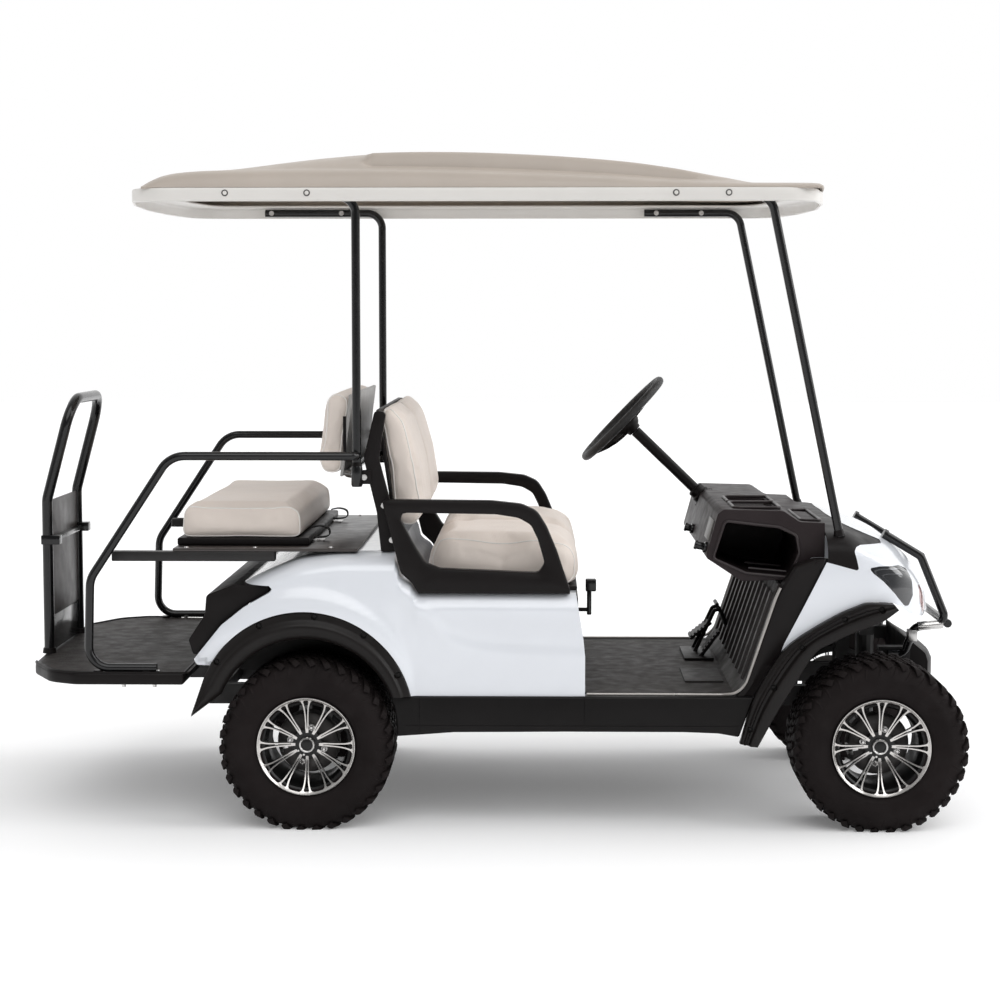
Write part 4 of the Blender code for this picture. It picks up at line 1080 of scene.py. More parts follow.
    def rim_pattern(self) -> bpy.types.Mesh:
        """Makes the rim round the Y axis: barrel, machined face, nuts, cap and brake drum.

        Returns:
            The mesh, kept for the other wheels.
        """
        face = self._face()
        bm = opened(face)
        bpy.data.objects.remove(face, do_unlink=True)
        self._barrel(bm)
        self._hub(bm)
        return as_pattern(bm, self.RIM)

    def _face(self) -> Object:
        """Cuts the pockets out of the dished face and marks what is machined.

        Returns:
            An object that holds the face.
        """
        front = [
            (0.0, 0.0765), (0.034, 0.0765), (0.06, 0.08), (0.095, 0.0905), (0.12, 0.1015), (0.132, 0.1065),
        ]
        lip = [
            (0.136, 0.11), (0.1392, 0.1132), (0.141, 0.1136), (0.1422, 0.112), (self.rim_radius, 0.1052),
            (0.1335, 0.104),
        ]
        back = [(0.131, 0.089), (0.12, 0.085), (0.095, 0.074), (0.06, 0.064), (0.034, 0.06), (0.0, 0.06)]
        bm = bmesh.new()
        lathe(bm, [*front, *lip, *back], 120)
        face = loose("rim_face", bm)
        cutter = bmesh.new()
        for index in range(self.spokes):
            turn = Matrix.Rotation(math.tau * (index + 0.5) / self.spokes, 4, "Y")
            for outline in (self._pocket_outline(), self._slot_outline()):
                verts = prism(cutter, [Vector((x, 0.045, z)) for x, z in outline], Vector((0, 0.075, 0)))
                bmesh.ops.transform(cutter, matrix=turn, verts=verts)
                turn = Matrix.Rotation(math.tau * index / self.spokes, 4, "Y")
        for index in range(4):
            spot = self._nut(index)
            drum(cutter, spot + Vector((0, 0.05, 0)), spot + Vector((0, 0.11, 0)), 0.0098, 24)
        subtract(face, cutter, crossing=True)
        bm = opened(face)
        bmesh.ops.remove_doubles(bm, verts=bm.verts, dist=1e-5)
        bm.normal_update()
        for polygon in bm.faces:
            middle = polygon.calc_center_median()
            reach = math.hypot(middle.x, middle.z)
            machined = polygon.normal.y > 0.35 and reach > self.hub_radius and middle.y > self.face_level
            polygon.material_index = int(machined)
        put_back(bm, face)
        return face

    def _nut(self, index: int) -> Vector:
        """Gives the place of a wheel nut on its circle."""
        turn = math.radians(90 * index + 15)
        return Vector((math.cos(turn), 0.0, math.sin(turn))) * self.nut_circle

    def _pocket_outline(self) -> list[Vector]:
        """Gives the wide pocket between two twin spokes, as (along the radius, across) points.

        Returns:
            The closed outline.
        """
        # Columns: radius, half width of the twin spoke there.
        flare = (
            (0.043, 0.0052), (0.06, 0.005), (0.08, 0.0054), (0.098, 0.0064), (0.112, 0.0082), (0.122, 0.0108),
            (0.13, 0.014),
        )
        half = math.pi / self.spokes
        edge = [
            (r * math.cos(half) + w * math.sin(half), r * math.sin(half) - w * math.cos(half))
            for r, w in flare
        ]
        tip = math.atan2(edge[-1][1], edge[-1][0])
        far = [
            (0.1342 * math.cos(tip * share), 0.1342 * math.sin(tip * share))
            for share in (-0.7, -0.35, 0.0, 0.35, 0.7)
        ]
        corners = [*[(x, -y) for x, y in edge], *far, *reversed(edge)]
        radii = [0.004, *[0.02] * 5, 0.006, *[0.0] * 5, 0.006, *[0.02] * 5, 0.004]
        return rounded(corners, radii, 3)

    def _slot_outline(self) -> list[Vector]:
        """Gives the slot inside a twin spoke, as (along the radius, across) points.

        Returns:
            The closed outline.
        """
        flare = (
            (0.046, 0.0008), (0.066, 0.0014), (0.09, 0.0024), (0.112, 0.0042), (0.124, 0.0066),
            (0.1325, 0.0088),
        )
        radii = [0.001, *[0.02] * 4, 0.004]
        return rounded([*[(x, -y) for x, y in flare], *reversed(flare)], [*radii, *reversed(radii)], 3)

    def _barrel(self, bm: BMesh) -> None:
        """Adds the barrel and the inner lip.

        Args:
            bm: The mesh that is added to.
        """
        outer, inner = self.barrel_radius, self.barrel_radius - 0.005
        profile = [
            (outer, 0.1045), (outer, 0.09), (0.119, 0.07), (0.119, -0.05), (outer, -0.075), (outer, -0.104),
            (self.rim_radius, -0.105),
        ]
        profile += [
            (self.rim_radius, -0.1125), (inner, -0.111), (inner, -0.075), (0.1145, -0.05), (0.1145, 0.07),
            (inner, 0.088), (inner, 0.1),
        ]
        lathe(bm, profile, 72, closed=True)

    def _hub(self, bm: BMesh) -> None:
        """Adds the centre cap, the nuts on their bosses, the brake drum and the valve.

        Args:
            bm: The mesh that is added to.
        """
        marks: list[tuple[int, int]] = []

        def mark(index: int) -> None:
            """Notes the finish of the faces that come next."""
            marks.append((len(bm.faces), index))

        mark(2)
        lathe(
            bm,
            [
                (0.0165, 0.08), (0.0172, 0.087), (0.019, 0.0885), (0.0215, 0.088), (0.0232, 0.085),
                (0.0236, 0.076), (0.0165, 0.076),
            ],
            48, closed=True,
        )
        mark(0)
        lathe(bm, [(0.0, 0.085), (0.01, 0.0848), (0.0168, 0.0835), (0.0168, 0.077), (0.0, 0.077)], 48)
        for index in range(10):
            turn = math.tau * index / 10
            spot = Vector((math.cos(turn), 0.0, math.sin(turn))) * 0.0315
            drum(bm, spot + Vector((0, 0.0755, 0)), spot + Vector((0, 0.0772, 0)), 0.003, 12)
        mark(2)
        for index in range(4):
            spot = self._nut(index)
            drum(bm, spot + Vector((0, 0.05, 0)), spot + Vector((0, 0.07, 0)), 0.0092, 20, 0.0088)
            drum(bm, spot + Vector((0, 0.07, 0)), spot + Vector((0, 0.08, 0)), 0.0082, 6)
            drum(bm, spot + Vector((0, 0.08, 0)), spot + Vector((0, 0.084, 0)), 0.0068, 16, 0.0034)
        mark(3)
        drum_profile = [(0.0, 0.05), (0.06, 0.05), (0.076, 0.046), (0.086, 0.04)]
        drum_profile += [
            (0.086, 0.034), (0.083, 0.033), (0.083, 0.027), (0.086, 0.026), (0.086, 0.018), (0.092, 0.016),
            (0.092, 0.008), (0.0, 0.008),
        ]
        lathe(bm, drum_profile, 48)
        mark(0)
        drum(bm, Vector((0.112, 0.075, 0.012)), Vector((0.116, 0.1, 0.012)), 0.0036, 12)
        bm.faces.ensure_lookup_table()
        ends = [start for start, _ in marks[1:]] + [len(bm.faces)]
        for (start, index), end in zip(marks, ends):
            for face in bm.faces[start:end]:
                face.material_index = index


# Body


def section(half: Sequence[Point], count: int) -> list[Point]:
    """Smooths the half section of a shell.

    Args:
        half: (y, z) points from the foot to the middle.
        count: Number of points to give.

    Returns:
        Points that follow the half section with softened corners.
    """
    reach = [0.0]
    for first, second in zip(half, half[1:]):
        reach.append(reach[-1] + math.dist(first, second))
    across = [(place, point[0]) for place, point in zip(reach, half)]
    up = [(place, point[1]) for place, point in zip(reach, half)]
    shares = [reach[-1] * index / (count - 1) for index in range(count)]
    return [(value_at(across, place), value_at(up, place)) for place in shares]


def thicken(obj: Object, wall: float) -> Object:
    """Turns a sheet's faces outwards and gives it a wall on its inner side.

    Args:
        obj: The sheet.
        wall: The wall's thickness.

    Returns:
        The same object.
    """
    put_back(opened(obj), obj, turn_out=True)
    modifier = obj.modifiers.new("wall", "SOLIDIFY")
    modifier.thickness = wall
    modifier.offset = -1.0
    return settle(obj)


@dataclass
class RearBody:
    """The white rear quarter with its swollen wheel arch and stepped side.

    Attributes:
        arch: Centre of the wheel arch.
        arch_radius: Radius of the cut over the wheel.
        wall: Thickness of the shell.
        swell: How far the arch stands proud.
        step: How far the upper side panel lies back.
        columns: Pieces along the body.
        rows: Pieces over half of the body.
    """

    arch: Point = (-0.551, 0.318)
    arch_radius: float = 0.3139
    wall: float = 0.004
    swell: float = 0.013
    step: float = 0.007
    columns: int = 150
    rows: int = 64
    kept: dict[float, list[Point]] = field(default_factory=dict, repr=False)
    # Columns: x, top z, half width of the flat top, half width at the shoulder, half width of the side.
    stations: tuple = (
        (-0.9, 0.58, 0.43, 0.5, 0.56),
        (-0.84, 0.64, 0.45, 0.52, 0.575),
        (-0.724, 0.71, 0.46, 0.53, 0.59),
        (-0.64, 0.75, 0.465, 0.535, 0.596),
        (-0.545, 0.784, 0.47, 0.535, 0.598),
        (-0.43, 0.7962, 0.475, 0.535, 0.597),
        (-0.2885, 0.7962, 0.48, 0.535, 0.592),
        (-0.275, 0.742, 0.5, 0.552, 0.59),
        (-0.241, 0.711, 0.53, 0.566, 0.588),
        (-0.224, 0.682, 0.562, 0.575, 0.587),
        (0.2565, 0.682, 0.562, 0.575, 0.586),
    )
    # Columns: angle round the arch in degrees, radius of the crease over it.
    crease: tuple = (
        (8, 0.315), (28, 0.347), (35, 0.356), (47, 0.3667), (56, 0.3717), (70, 0.378), (87, 0.3817),
        (104, 0.379), (125, 0.372),
    )
    step_low: tuple = (
        (-0.2384, 0.6806), (-0.2039, 0.6344), (-0.1578, 0.573), (-0.1193, 0.5443), (-0.0657, 0.5214),
        (0.0226, 0.5056), (0.2297, 0.4985),
    )
    step_high: tuple = (
        (-0.2154, 0.6734), (-0.189, 0.6418), (-0.1503, 0.5997), (-0.1202, 0.5702), (-0.0743, 0.5575),
        (0.0031, 0.5444), (0.2297, 0.5392),
    )
    tail_edge: tuple = ((-0.873, 0.488), (-0.79, 0.59), (-0.725, 0.642), (-0.65, 0.685))

    def build(self) -> None:
        """Makes the shell, the cut-outs and the finish."""
        bm = bmesh.new()
        patch(bm, self.columns, 2 * self.rows, self._place)
        body = thicken(loose("rear_body_shell", bm, turn_out=False), self.wall)
        for cutter in self._openings():
            subtract(body, cutter)
        dress(body, Palette.BODY_WHITE, stands_for=["rear_body"], angle=30.0)

    def _place(self, along: float, over: float) -> Vector:
        """Gives a point of the skin.

        Args:
            along: Share of the way from the tail to the front edge.
            over: Share of the way from the right foot over the top to the left one.

        Returns:
            The point.
        """
        low, high = self.stations[0][0], self.stations[-1][0]
        x = low + (high - low) * along
        half = self._half(round(x, 6))
        index = round(over * 2 * self.rows)
        side = -1.0 if index <= self.rows else 1.0
        y, z = half[index if index <= self.rows else 2 * self.rows - index]
        if y > 0.5 and z < 0.79:
            y += self._relief(x, z)
        return at(x, side * y, z)

    def _half(self, x: float) -> list[Point]:
        """Gives the half section at x, kept for the next call.

        Args:
            x: Place along the cart.

        Returns:
            The section, from its foot to the middle.
        """
        if x not in self.kept:
            top, flat, shoulder, side = (
                value_at([(row[0], row[column]) for row in self.stations], x) for column in (1, 2, 3, 4)
            )
            knots = [
                (side - 0.01, 0.385),
                (side - 0.004, 0.5),
                (side, min(0.56, top - 0.07)),
                ((side + shoulder) / 2 + 0.016, top - 0.045),
                (shoulder, top - 0.01),
                (flat, top),
                (0.0, top),
            ]
            self.kept[x] = section(knots, self.rows + 1)
        return self.kept[x]

    def _relief(self, x: float, z: float) -> float:
        """Gives how far the side stands out of its plain section.

        Args:
            x: Place along the body.
            z: Height.

        Returns:
            The distance outwards.
        """
        across, up = x - self.arch[0], z - self.arch[1]
        reach, turn = math.hypot(across, up), math.degrees(math.atan2(up, across))
        crease = value_at(self.crease, turn)
        out = self.swell * min(1.0, max(0.0, (crease - reach) / 0.026)) if -5 < turn < 150 else 0.0
        if x > self.step_low[0][0]:
            low, high = value_at(self.step_low, x), value_at(self.step_high, x)
            out -= self.step * min(1.0, max(0.0, (z - low) / max(high - low, 0.004)))
        return out

    def _openings(self) -> list[BMesh]:
        """Makes the shapes cut from the shell: wheel arch, tail, and front edge with the engine bay.

        Returns:
            The cutters, one after the other.
        """
        cutters = [bmesh.new() for _ in range(3)]
        across = Vector((0, 2.0, 0))
        arch = arc(self.arch, self.arch_radius, 0, 360, 160)[:-1]
        prism(cutters[0], side_points(arch, -1.0), across)
        low = [(-1.05, 0.2), (-0.6, 0.2), (-0.6, 0.4715), (-0.865, 0.4715), *self.tail_edge]
        low += [(-0.6425, 0.6935), (-0.652, 0.703), (-0.7, 0.7035), (-0.76, 0.704), (-1.05, 0.704)]
        tail = rounded(low, [0, 0, 0, 0.012, 0, 0.05, 0.05, 0.004, 0.004, 0.004, 0, 0, 0], 4)
        prism(cutters[1], side_points(tail, -1.01), across)
        front = [
            (0.225, 0.76), (0.229, 0.69), (0.252, 0.547), (0.259, 0.474), (0.2565, 0.39), (0.2565, 0.3),
            (0.5, 0.3), (0.5, 0.76),
        ]
        front = rounded(front, [0, 0, 0.1, 0.08, 0.02, 0, 0, 0], 5)
        prism(cutters[2], side_points(front, -1.02), across)
        block(cutters[2], at(-0.18, -0.4, 0.66), at(0.2, 0.4, 0.75))
        return cutters


@dataclass
class RearTail:
    """The black moulding behind the rear quarter, with its shelf and folded lower lip."""

    half_width: float = 0.555
    wall: float = 0.007

    def build(self) -> None:
        """Makes the moulding and hollows it out."""
        edge = [(-0.8738, 0.4885), (-0.7908, 0.5905), (-0.7258, 0.6425), (-0.6508, 0.6855)]
        outer = [
            *edge, (-0.656, 0.7015), (-0.7, 0.7025), (-0.76, 0.7025), (-0.837, 0.673), (-0.842, 0.616),
            (-0.89, 0.543),
        ]
        outline = rounded(outer, [0.01, 0.05, 0.05, 0.006, 0.004, 0.02, 0.015, 0.014, 0.015, 0.012], 5)
        bm = bmesh.new()
        prism(bm, side_points(outline, -self.half_width), Vector((0, 2 * self.half_width, 0)))
        soften(bm, 0.005, 3, 60.0)
        tail = loose("rear_tail_moulding", bm)
        cutter = bmesh.new()
        hollow = [
            (-0.86, 0.47), (-0.86, 0.52), (-0.878, 0.545), (-0.832, 0.614), (-0.827, 0.665), (-0.76, 0.693),
        ]
        hollow += [(-0.7, 0.693), (-0.56, 0.64), (-0.56, 0.47)]
        prism(
            cutter, side_points(hollow, -self.half_width + 0.01), Vector((0, 2 * self.half_width - 0.02, 0)),
        )
        subtract(tail, cutter)
        dress(tail, Palette.MOULDED_BLACK, stands_for=["rear_tail"])


@dataclass
class WheelLip:
    """A black lip round the rear wheel opening, with a ridge, bolt wells and an inner liner.

    Attributes:
        side: Right or left.
        sign: The side along Y.
        outer: Centre and radius of the edge against the body.
        inner: Centre and radius of the edge over the tyre.
        low: Height of the lip's foot.
        bolts: Angles of the bolt wells in degrees.
        ends: Angles that the outer edge, the inner edge and the liner end at, in degrees.
        liner: Radius of the liner's underside.
    """

    side: str
    sign: float
    outer: tuple = (-0.551, 0.318, 0.3136)
    inner: tuple = (-0.548, 0.29, 0.262)
    low: float = 0.3856
    bolts: tuple = (146, 115, 84, 55, 26)
    ends: tuple = (156.0, 157.0, 150.0)
    liner: float = 0.2625
    # Columns: share of the way from the outer to the inner edge, distance from the middle of the cart.
    face: tuple = (
        (0.0, 0.58), (0.0, 0.597), (0.05, 0.601), (0.26, 0.602), (0.34, 0.604), (0.42, 0.613), (0.52, 0.6165),
        (0.66, 0.616), (0.8, 0.612), (0.92, 0.605), (1.0, 0.595), (1.0, 0.58),
    )
    back: tuple = ((0.95, 0.576), (0.5, 0.575), (0.05, 0.576))

    def build(self) -> None:
        """Makes the lip and the liner as one piece."""
        bm = bmesh.new()
        start = math.degrees(math.asin((self.low - self.outer[1]) / self.outer[2]))
        inner_start = math.degrees(math.asin((self.low - self.inner[1]) / self.inner[2]))
        rings = []
        steps = 96
        for index in range(steps + 1):
            share = index / steps
            rings.append(self._ring(
                start + (self.ends[0] - start) * share, inner_start + (self.ends[1] - inner_start) * share,
            ))
        # The flap below the arch's rear end narrows to its tip.
        for drop in (0.4, 0.75, 1.0):
            first, last = rings[steps], []
            for point in first:
                goal = at(-0.88, point.y, 0.324)
                last.append(point.lerp(goal, drop * (0.93 if drop == 1.0 else 1.0)))
            rings.append(last)
        skin(bm, rings)
        lip = loose(f"rear_lip_{self.side}", bm)
        self._bolt_wells(lip)
        bm = opened(lip)
        self._liner(bm, inner_start)
        self._screws(bm)
        put_back(bm, lip, turn_out=True)
        dress(lip, Palette.FLARE_BLACK, stands_for=[f"rear_flare_{self.side}"], angle=40.0)

    def _ring(self, outer_turn: float, inner_turn: float) -> list[Vector]:
        """Gives the lip's section at one angle of each edge.

        Args:
            outer_turn: Angle of the outer edge's point.
            inner_turn: Angle of the inner edge's point.

        Returns:
            The closed section.
        """
        turn_out, turn_in = math.radians(outer_turn), math.radians(inner_turn)
        outer = Vector((
            self.outer[0] + self.outer[2] * math.cos(turn_out),
            self.outer[1] + self.outer[2] * math.sin(turn_out),
        ))
        inner = Vector((
            self.inner[0] + self.inner[2] * math.cos(turn_in),
            self.inner[1] + self.inner[2] * math.sin(turn_in),
        ))
        ring = []
        for share, y in (*self.face, *self.back):
            place = outer.lerp(inner, share)
            ring.append(at(place[0], self.sign * y, place[1]))
        return ring

    def _spot(self, turn: float, share: float = 0.2) -> Vector:
        """Gives the middle of a bolt well.

        Args:
            turn: Angle round the arch, in degrees.
            share: Place across the lip.

        Returns:
            The middle, at no distance along Y.
        """
        reach = self.outer[2] - 0.011 - 0.02 * (share - 0.2)
        return at(
            self.outer[0] + reach * math.cos(math.radians(turn)), 0.0,
            self.outer[1] + reach * math.sin(math.radians(turn)),
        )

    def _bolt_wells(self, lip: Object) -> None:
        """Sinks a slot for each bolt.

        Args:
            lip: The lip that is cut.
        """
        cutter = bmesh.new()
        for turn in self.bolts:
            spot = self._spot(turn)
            aim = Vector((math.cos(math.radians(turn)), 0.0, math.sin(math.radians(turn))))
            near, far = spot + Vector((0, self.sign * 0.59, 0)), spot + Vector((0, self.sign * 0.63, 0))
            drum(cutter, near - aim * 0.001, far - aim * 0.001, 0.0095, 20, 0.0125)
        subtract(lip, cutter)

    def _screws(self, bm: BMesh) -> None:
        """Sets a domed screw in each well.

        Args:
            bm: The mesh that is added to.
        """
        for turn in self.bolts:
            spot = self._spot(turn)
            drum(
                bm, spot + Vector((0, self.sign * 0.588, 0)), spot + Vector((0, self.sign * 0.5945, 0)),
                0.0062, 16, 0.004,
            )

    def _liner(self, bm: BMesh, start: float) -> None:
        """Adds the curved sheet over the tyre.

        Args:
            bm: The mesh that is added to.
            start: Angle that the sheet starts at, in degrees.
        """
        rings = []
        for index in range(61):
            turn = math.radians(start + 3.0 + (self.ends[2] - start - 3.0) * index / 60)
            ring = []
            for lift, y in ((0.0, 0.347), (0.0, 0.578), (0.005, 0.578), (0.005, 0.347)):
                ring.append(self._over_tyre(turn, lift, y))
            rings.append(ring)
        skin(bm, rings)
        turns = [start + 3.0 + (self.ends[2] - start - 3.0) * step / 40 for step in range(41)]
        wall = [self._over_tyre(math.radians(turn), 0.004, 0.343) for turn in turns]
        prism(bm, wall, Vector((0, self.sign * 0.004, 0)))

    def _over_tyre(self, turn: float, lift: float, y: float) -> Vector:
        """Gives a point of the liner.

        Args:
            turn: Angle round the tyre, in radians.
            lift: Distance above the liner's underside.
            y: Distance from the middle of the cart.

        Returns:
            The point.
        """
        reach = self.liner + lift
        return at(
            self.inner[0] + reach * math.cos(turn), self.sign * y, self.inner[1] + reach * math.sin(turn),
        )


@dataclass
class Rocker:
    """The black sill under one side of the body."""

    side: str
    sign: float

    def build(self) -> None:
        """Makes the sill with its rolled lower edge and joint lines."""
        rear = [
            (-0.548 + math.sqrt(0.2623**2 - (z - 0.29) ** 2), z) for z in (0.268, 0.29, 0.32, 0.35, 0.3848)
        ]
        low = [(0.6995, 0.2685), (0.64, 0.279), (0.54, 0.2825), (0.2, 0.2825), (-0.12, 0.28), (-0.22, 0.2725)]
        outline = [*rear, (0.7415, 0.3848), *low]
        bm = bmesh.new()
        prism(bm, side_points(outline, self.sign * 0.5302), Vector((0, self.sign * 0.0555, 0)))
        soften(bm, 0.006, 3, 50.0)
        sill = loose(f"sill_{self.side}", bm)
        cutter = bmesh.new()
        for x in (-0.2205, 0.255):
            block(
                cutter, at(x - 0.0009, self.sign * 0.585 - 0.0022, 0.26),
                at(x + 0.0009, self.sign * 0.585 + 0.0022, 0.4),
            )
        groove = [(-0.26, 0.3), (0.7, 0.3), (0.7, 0.3014), (-0.26, 0.3014)]
        prism(cutter, side_points(groove, self.sign * 0.5842), Vector((0, self.sign * 0.01, 0)))
        subtract(sill, cutter, crossing=True)
        dress(sill, Palette.SILL_BLACK, stands_for=[f"rocker_{self.side}"])


@dataclass
class FrontLip:
    """The black lip round one front wheel, from the sill to the hood, with two long ridges."""

    side: str
    sign: float
    outer: tuple = (
        (0.701, 0.252), (0.7425, 0.385), (0.816, 0.511), (0.874, 0.5624), (0.971, 0.6214), (1.03, 0.648),
        (1.0685, 0.6594), (1.137, 0.6559),
    )
    inner: tuple = (
        (0.752, 0.244), (0.801, 0.335), (0.855, 0.424), (0.911, 0.514), (0.956, 0.543), (1.02, 0.574),
        (1.097, 0.604), (1.15, 0.64),
    )
    # Columns: share of the way from the outer to the inner edge, distance from the middle of the cart.
    face: tuple = (
        (0.0, 0.57), (0.0, 0.595), (0.06, 0.6), (0.16, 0.601), (0.22, 0.608), (0.28, 0.609), (0.34, 0.603),
        (0.44, 0.603), (0.52, 0.614), (0.62, 0.6158), (0.8, 0.612), (0.97, 0.609), (1.0, 0.604), (1.0, 0.57),
    )
    bolts: tuple = ((0.729, 0.296), (0.795, 0.418), (0.875, 0.533), (0.996, 0.614), (1.101, 0.642))

    def build(self) -> None:
        """Makes the lip and its screws."""
        steps = 72
        outer, inner = smooth_line(self.outer, steps), smooth_line(self.inner, steps)
        rings = []
        for first, second in zip(outer, inner):
            narrow = min(1.0, (second - first).length / 0.05)
            ring = []
            for share, y in (*self.face, (0.5, 0.561), (0.05, 0.562)):
                place = first.lerp(second, share)
                level = 0.6 + (y - 0.6) * narrow if y > 0.6 else y
                ring.append(at(place[0], self.sign * level, place[1]))
            rings.append(ring)
        bm = bmesh.new()
        skin(bm, rings)
        lip = loose(f"front_lip_{self.side}", bm)
        cutter = bmesh.new()
        for x, z in self.bolts:
            drum(cutter, at(x, self.sign * 0.592, z), at(x, self.sign * 0.625, z), 0.009, 20, 0.0115)
        subtract(lip, cutter)
        bm = opened(lip)
        for x, z in self.bolts:
            drum(bm, at(x, self.sign * 0.59, z), at(x, self.sign * 0.5965, z), 0.0058, 16, 0.0038)
        put_back(bm, lip)
        dress(lip, Palette.FLARE_BLACK, stands_for=[f"front_flare_{self.side}"], angle=40.0)


# Front of the body


@dataclass
class Hood:
    """The white hood with its lamps, the black panel behind it and the marker lamps.

    Attributes:
        wall: Thickness of the shell.
        columns: Pieces along the hood.
        rows: Pieces over half of the hood.
    """

    wall: float = 0.004
    columns: int = 96
    rows: int = 48
    # Columns: x, top z, half width and z of the shoulder, half width of the side, foot z.
    stations: tuple = (
        (0.8, 0.885, 0.505, 0.856, 0.574, 0.48),
        (1.0, 0.878, 0.5, 0.851, 0.574, 0.48),
        (1.07, 0.862, 0.47, 0.825, 0.572, 0.5),
        (1.14, 0.832, 0.44, 0.795, 0.556, 0.52),
        (1.2, 0.792, 0.395, 0.755, 0.51, 0.55),
        (1.245, 0.745, 0.33, 0.71, 0.43, 0.57),
        (1.275, 0.68, 0.25, 0.66, 0.31, 0.58),
    )
    lamp: tuple = (
        (1.067, 0.757), (1.1, 0.762), (1.16, 0.76), (1.189, 0.746), (1.203, 0.712), (1.205, 0.672),
        (1.19, 0.643), (1.176, 0.643), (1.145, 0.681), (1.11, 0.718), (1.08, 0.742),
    )
    marker: tuple = (
        (1.229, 0.703), (1.242, 0.683), (1.256, 0.652), (1.269, 0.606), (1.248, 0.61), (1.233, 0.65),
    )
    notch: tuple = (
        (0.947, 0.774), (1.04, 0.7485), (1.033, 0.78), (1.026, 0.805), (1.033, 0.816), (1.047, 0.82),
        (1.128, 0.812), (1.127, 0.82), (0.995, 0.876),
    )
    flare_top: tuple = (
        (0.815, 0.513), (0.874, 0.563), (0.971, 0.622), (1.03, 0.6485), (1.0685, 0.66), (1.137, 0.6565),
    )

    def build(self) -> None:
        """Makes the hood, its lamps and the black panel."""
        self._hood()
        self._panel()
        for side, sign in SIDES:
            self._lamp(side, sign)
            self._marker(side, sign)

    def _sheet(self, name: str, inset: float) -> Object:
        """Makes the hood's skin as a shell that lies inset below its surface.

        Args:
            name: Name of the shell.
            inset: How far it lies under the skin.

        Returns:
            The shell.
        """
        bm = bmesh.new()
        low, high = self.stations[0][0], self.stations[-1][0]
        kept: dict[int, list[Point]] = {}

        def place(along: float, over: float) -> Vector:
            """Gives a point of the surface.

            Args:
                along: Place from the low end to the high end, from 0 to 1.
                over: Place across, from 0 to 1.

            Returns:
                The point of the surface.
            """
            column, row = round(along * self.columns), round(over * 2 * self.rows)
            if column not in kept:
                kept[column] = self._half(low + (high - low) * along, inset)
            side = -1.0 if row <= self.rows else 1.0
            y, z = kept[column][row if row <= self.rows else 2 * self.rows - row]
            return at(low + (high - low) * along, side * max(y, 0.0), z)

        patch(bm, self.columns, 2 * self.rows, place)
        self._close_nose(bm, inset)
        return thicken(loose(name, bm, turn_out=False), self.wall)

    def _close_nose(self, bm: BMesh, inset: float) -> None:
        """Rounds the nose over its open front edge.

        Args:
            bm: The mesh that is added to.
            inset: How far the skin lies inside.
        """
        front = max(vert.co.x for vert in bm.verts)
        edges = [edge for edge in bm.edges if all(abs(vert.co.x - front) < 1e-6 for vert in edge.verts)]
        middle = Vector((front, 0.0, 0.63))
        for shift, shrink in ((0.006, 0.965), (0.01, 0.9), (0.012, 0.7), (0.013, 0.4)):
            made = bmesh.ops.extrude_edge_only(bm, edges=edges)["geom"]
            verts = [item for item in made if isinstance(item, bmesh.types.BMVert)]
            edges = [item for item in made if isinstance(item, bmesh.types.BMEdge)]
            for vert in verts:
                vert.co = middle + (vert.co - middle) * shrink
                vert.co.x = front + shift - inset
        bmesh.ops.contextual_create(bm, geom=edges)

    def _half(self, x: float, inset: float) -> list[Point]:
        """Gives the half section at x from its foot to the middle.

        Args:
            x: Place along the cart.
            inset: How far it lies under the skin.

        Returns:
            The section, from its foot to the middle.
        """
        top, shoulder, shoulder_z, side, foot = (
            value_at([(row[0], row[column]) for row in self.stations], x) for column in (1, 2, 3, 4, 5)
        )
        knots = [
            (side - 0.012 - inset, foot),
            (side - inset, 0.5 * (foot + shoulder_z) - 0.01),
            (side - 0.008 - inset, shoulder_z - 0.045),
            (shoulder - inset, shoulder_z - inset * 0.5),
            (shoulder * 0.62 - inset, top - 0.008 - inset),
            (0.0, top - inset),
        ]
        return section(knots, self.rows + 1)

    def _outline(self, points: Sequence[Point], radius: float, y: float) -> list[Vector]:
        """Rounds a side outline and lays it at y."""
        return side_points(rounded(points, radius, 5), y)

    def _hood(self) -> None:
        """Cuts the white shell to its seams."""
        hood = self._sheet("hood_shell", 0.0)
        across = Vector((0, 2.0, 0))
        cutter = bmesh.new()
        rear = [
            (0.6, 0.3), (0.6, 1.0), (0.995, 1.0), (0.995, 0.876), *reversed(self.notch[:-1]), (0.815, 0.513),
            (0.815, 0.3),
        ]
        radii = [0, 0, 0, 0.004, 0.002, 0.002, 0.006, 0.008, 0.01, 0.012, 0.006, 0.004, 0.004, 0]
        prism(cutter, side_points(rounded(rear, radii, 5), -1.0), across)
        subtract(hood, cutter)
        cutter = bmesh.new()
        low = [
            *smooth_line(self.flare_top, 40), (1.17, 0.64), (1.2, 0.615), (1.25, 0.6), (1.4, 0.596),
            (1.4, 0.2), (0.7, 0.2), (0.8, 0.48),
        ]
        prism(cutter, side_points(low, -1.01), across)
        subtract(hood, cutter)
        cutter = bmesh.new()
        for _, sign in SIDES:
            for outline, soft in ((self.lamp, 0.012), (self.marker, 0.004)):
                prism(cutter, self._outline(outline, soft, sign * 0.2), Vector((0, sign * 0.6, 0)))
        subtract(hood, cutter)
        dress(hood, Palette.BODY_WHITE, stands_for=["front_cowl"], angle=30.0)

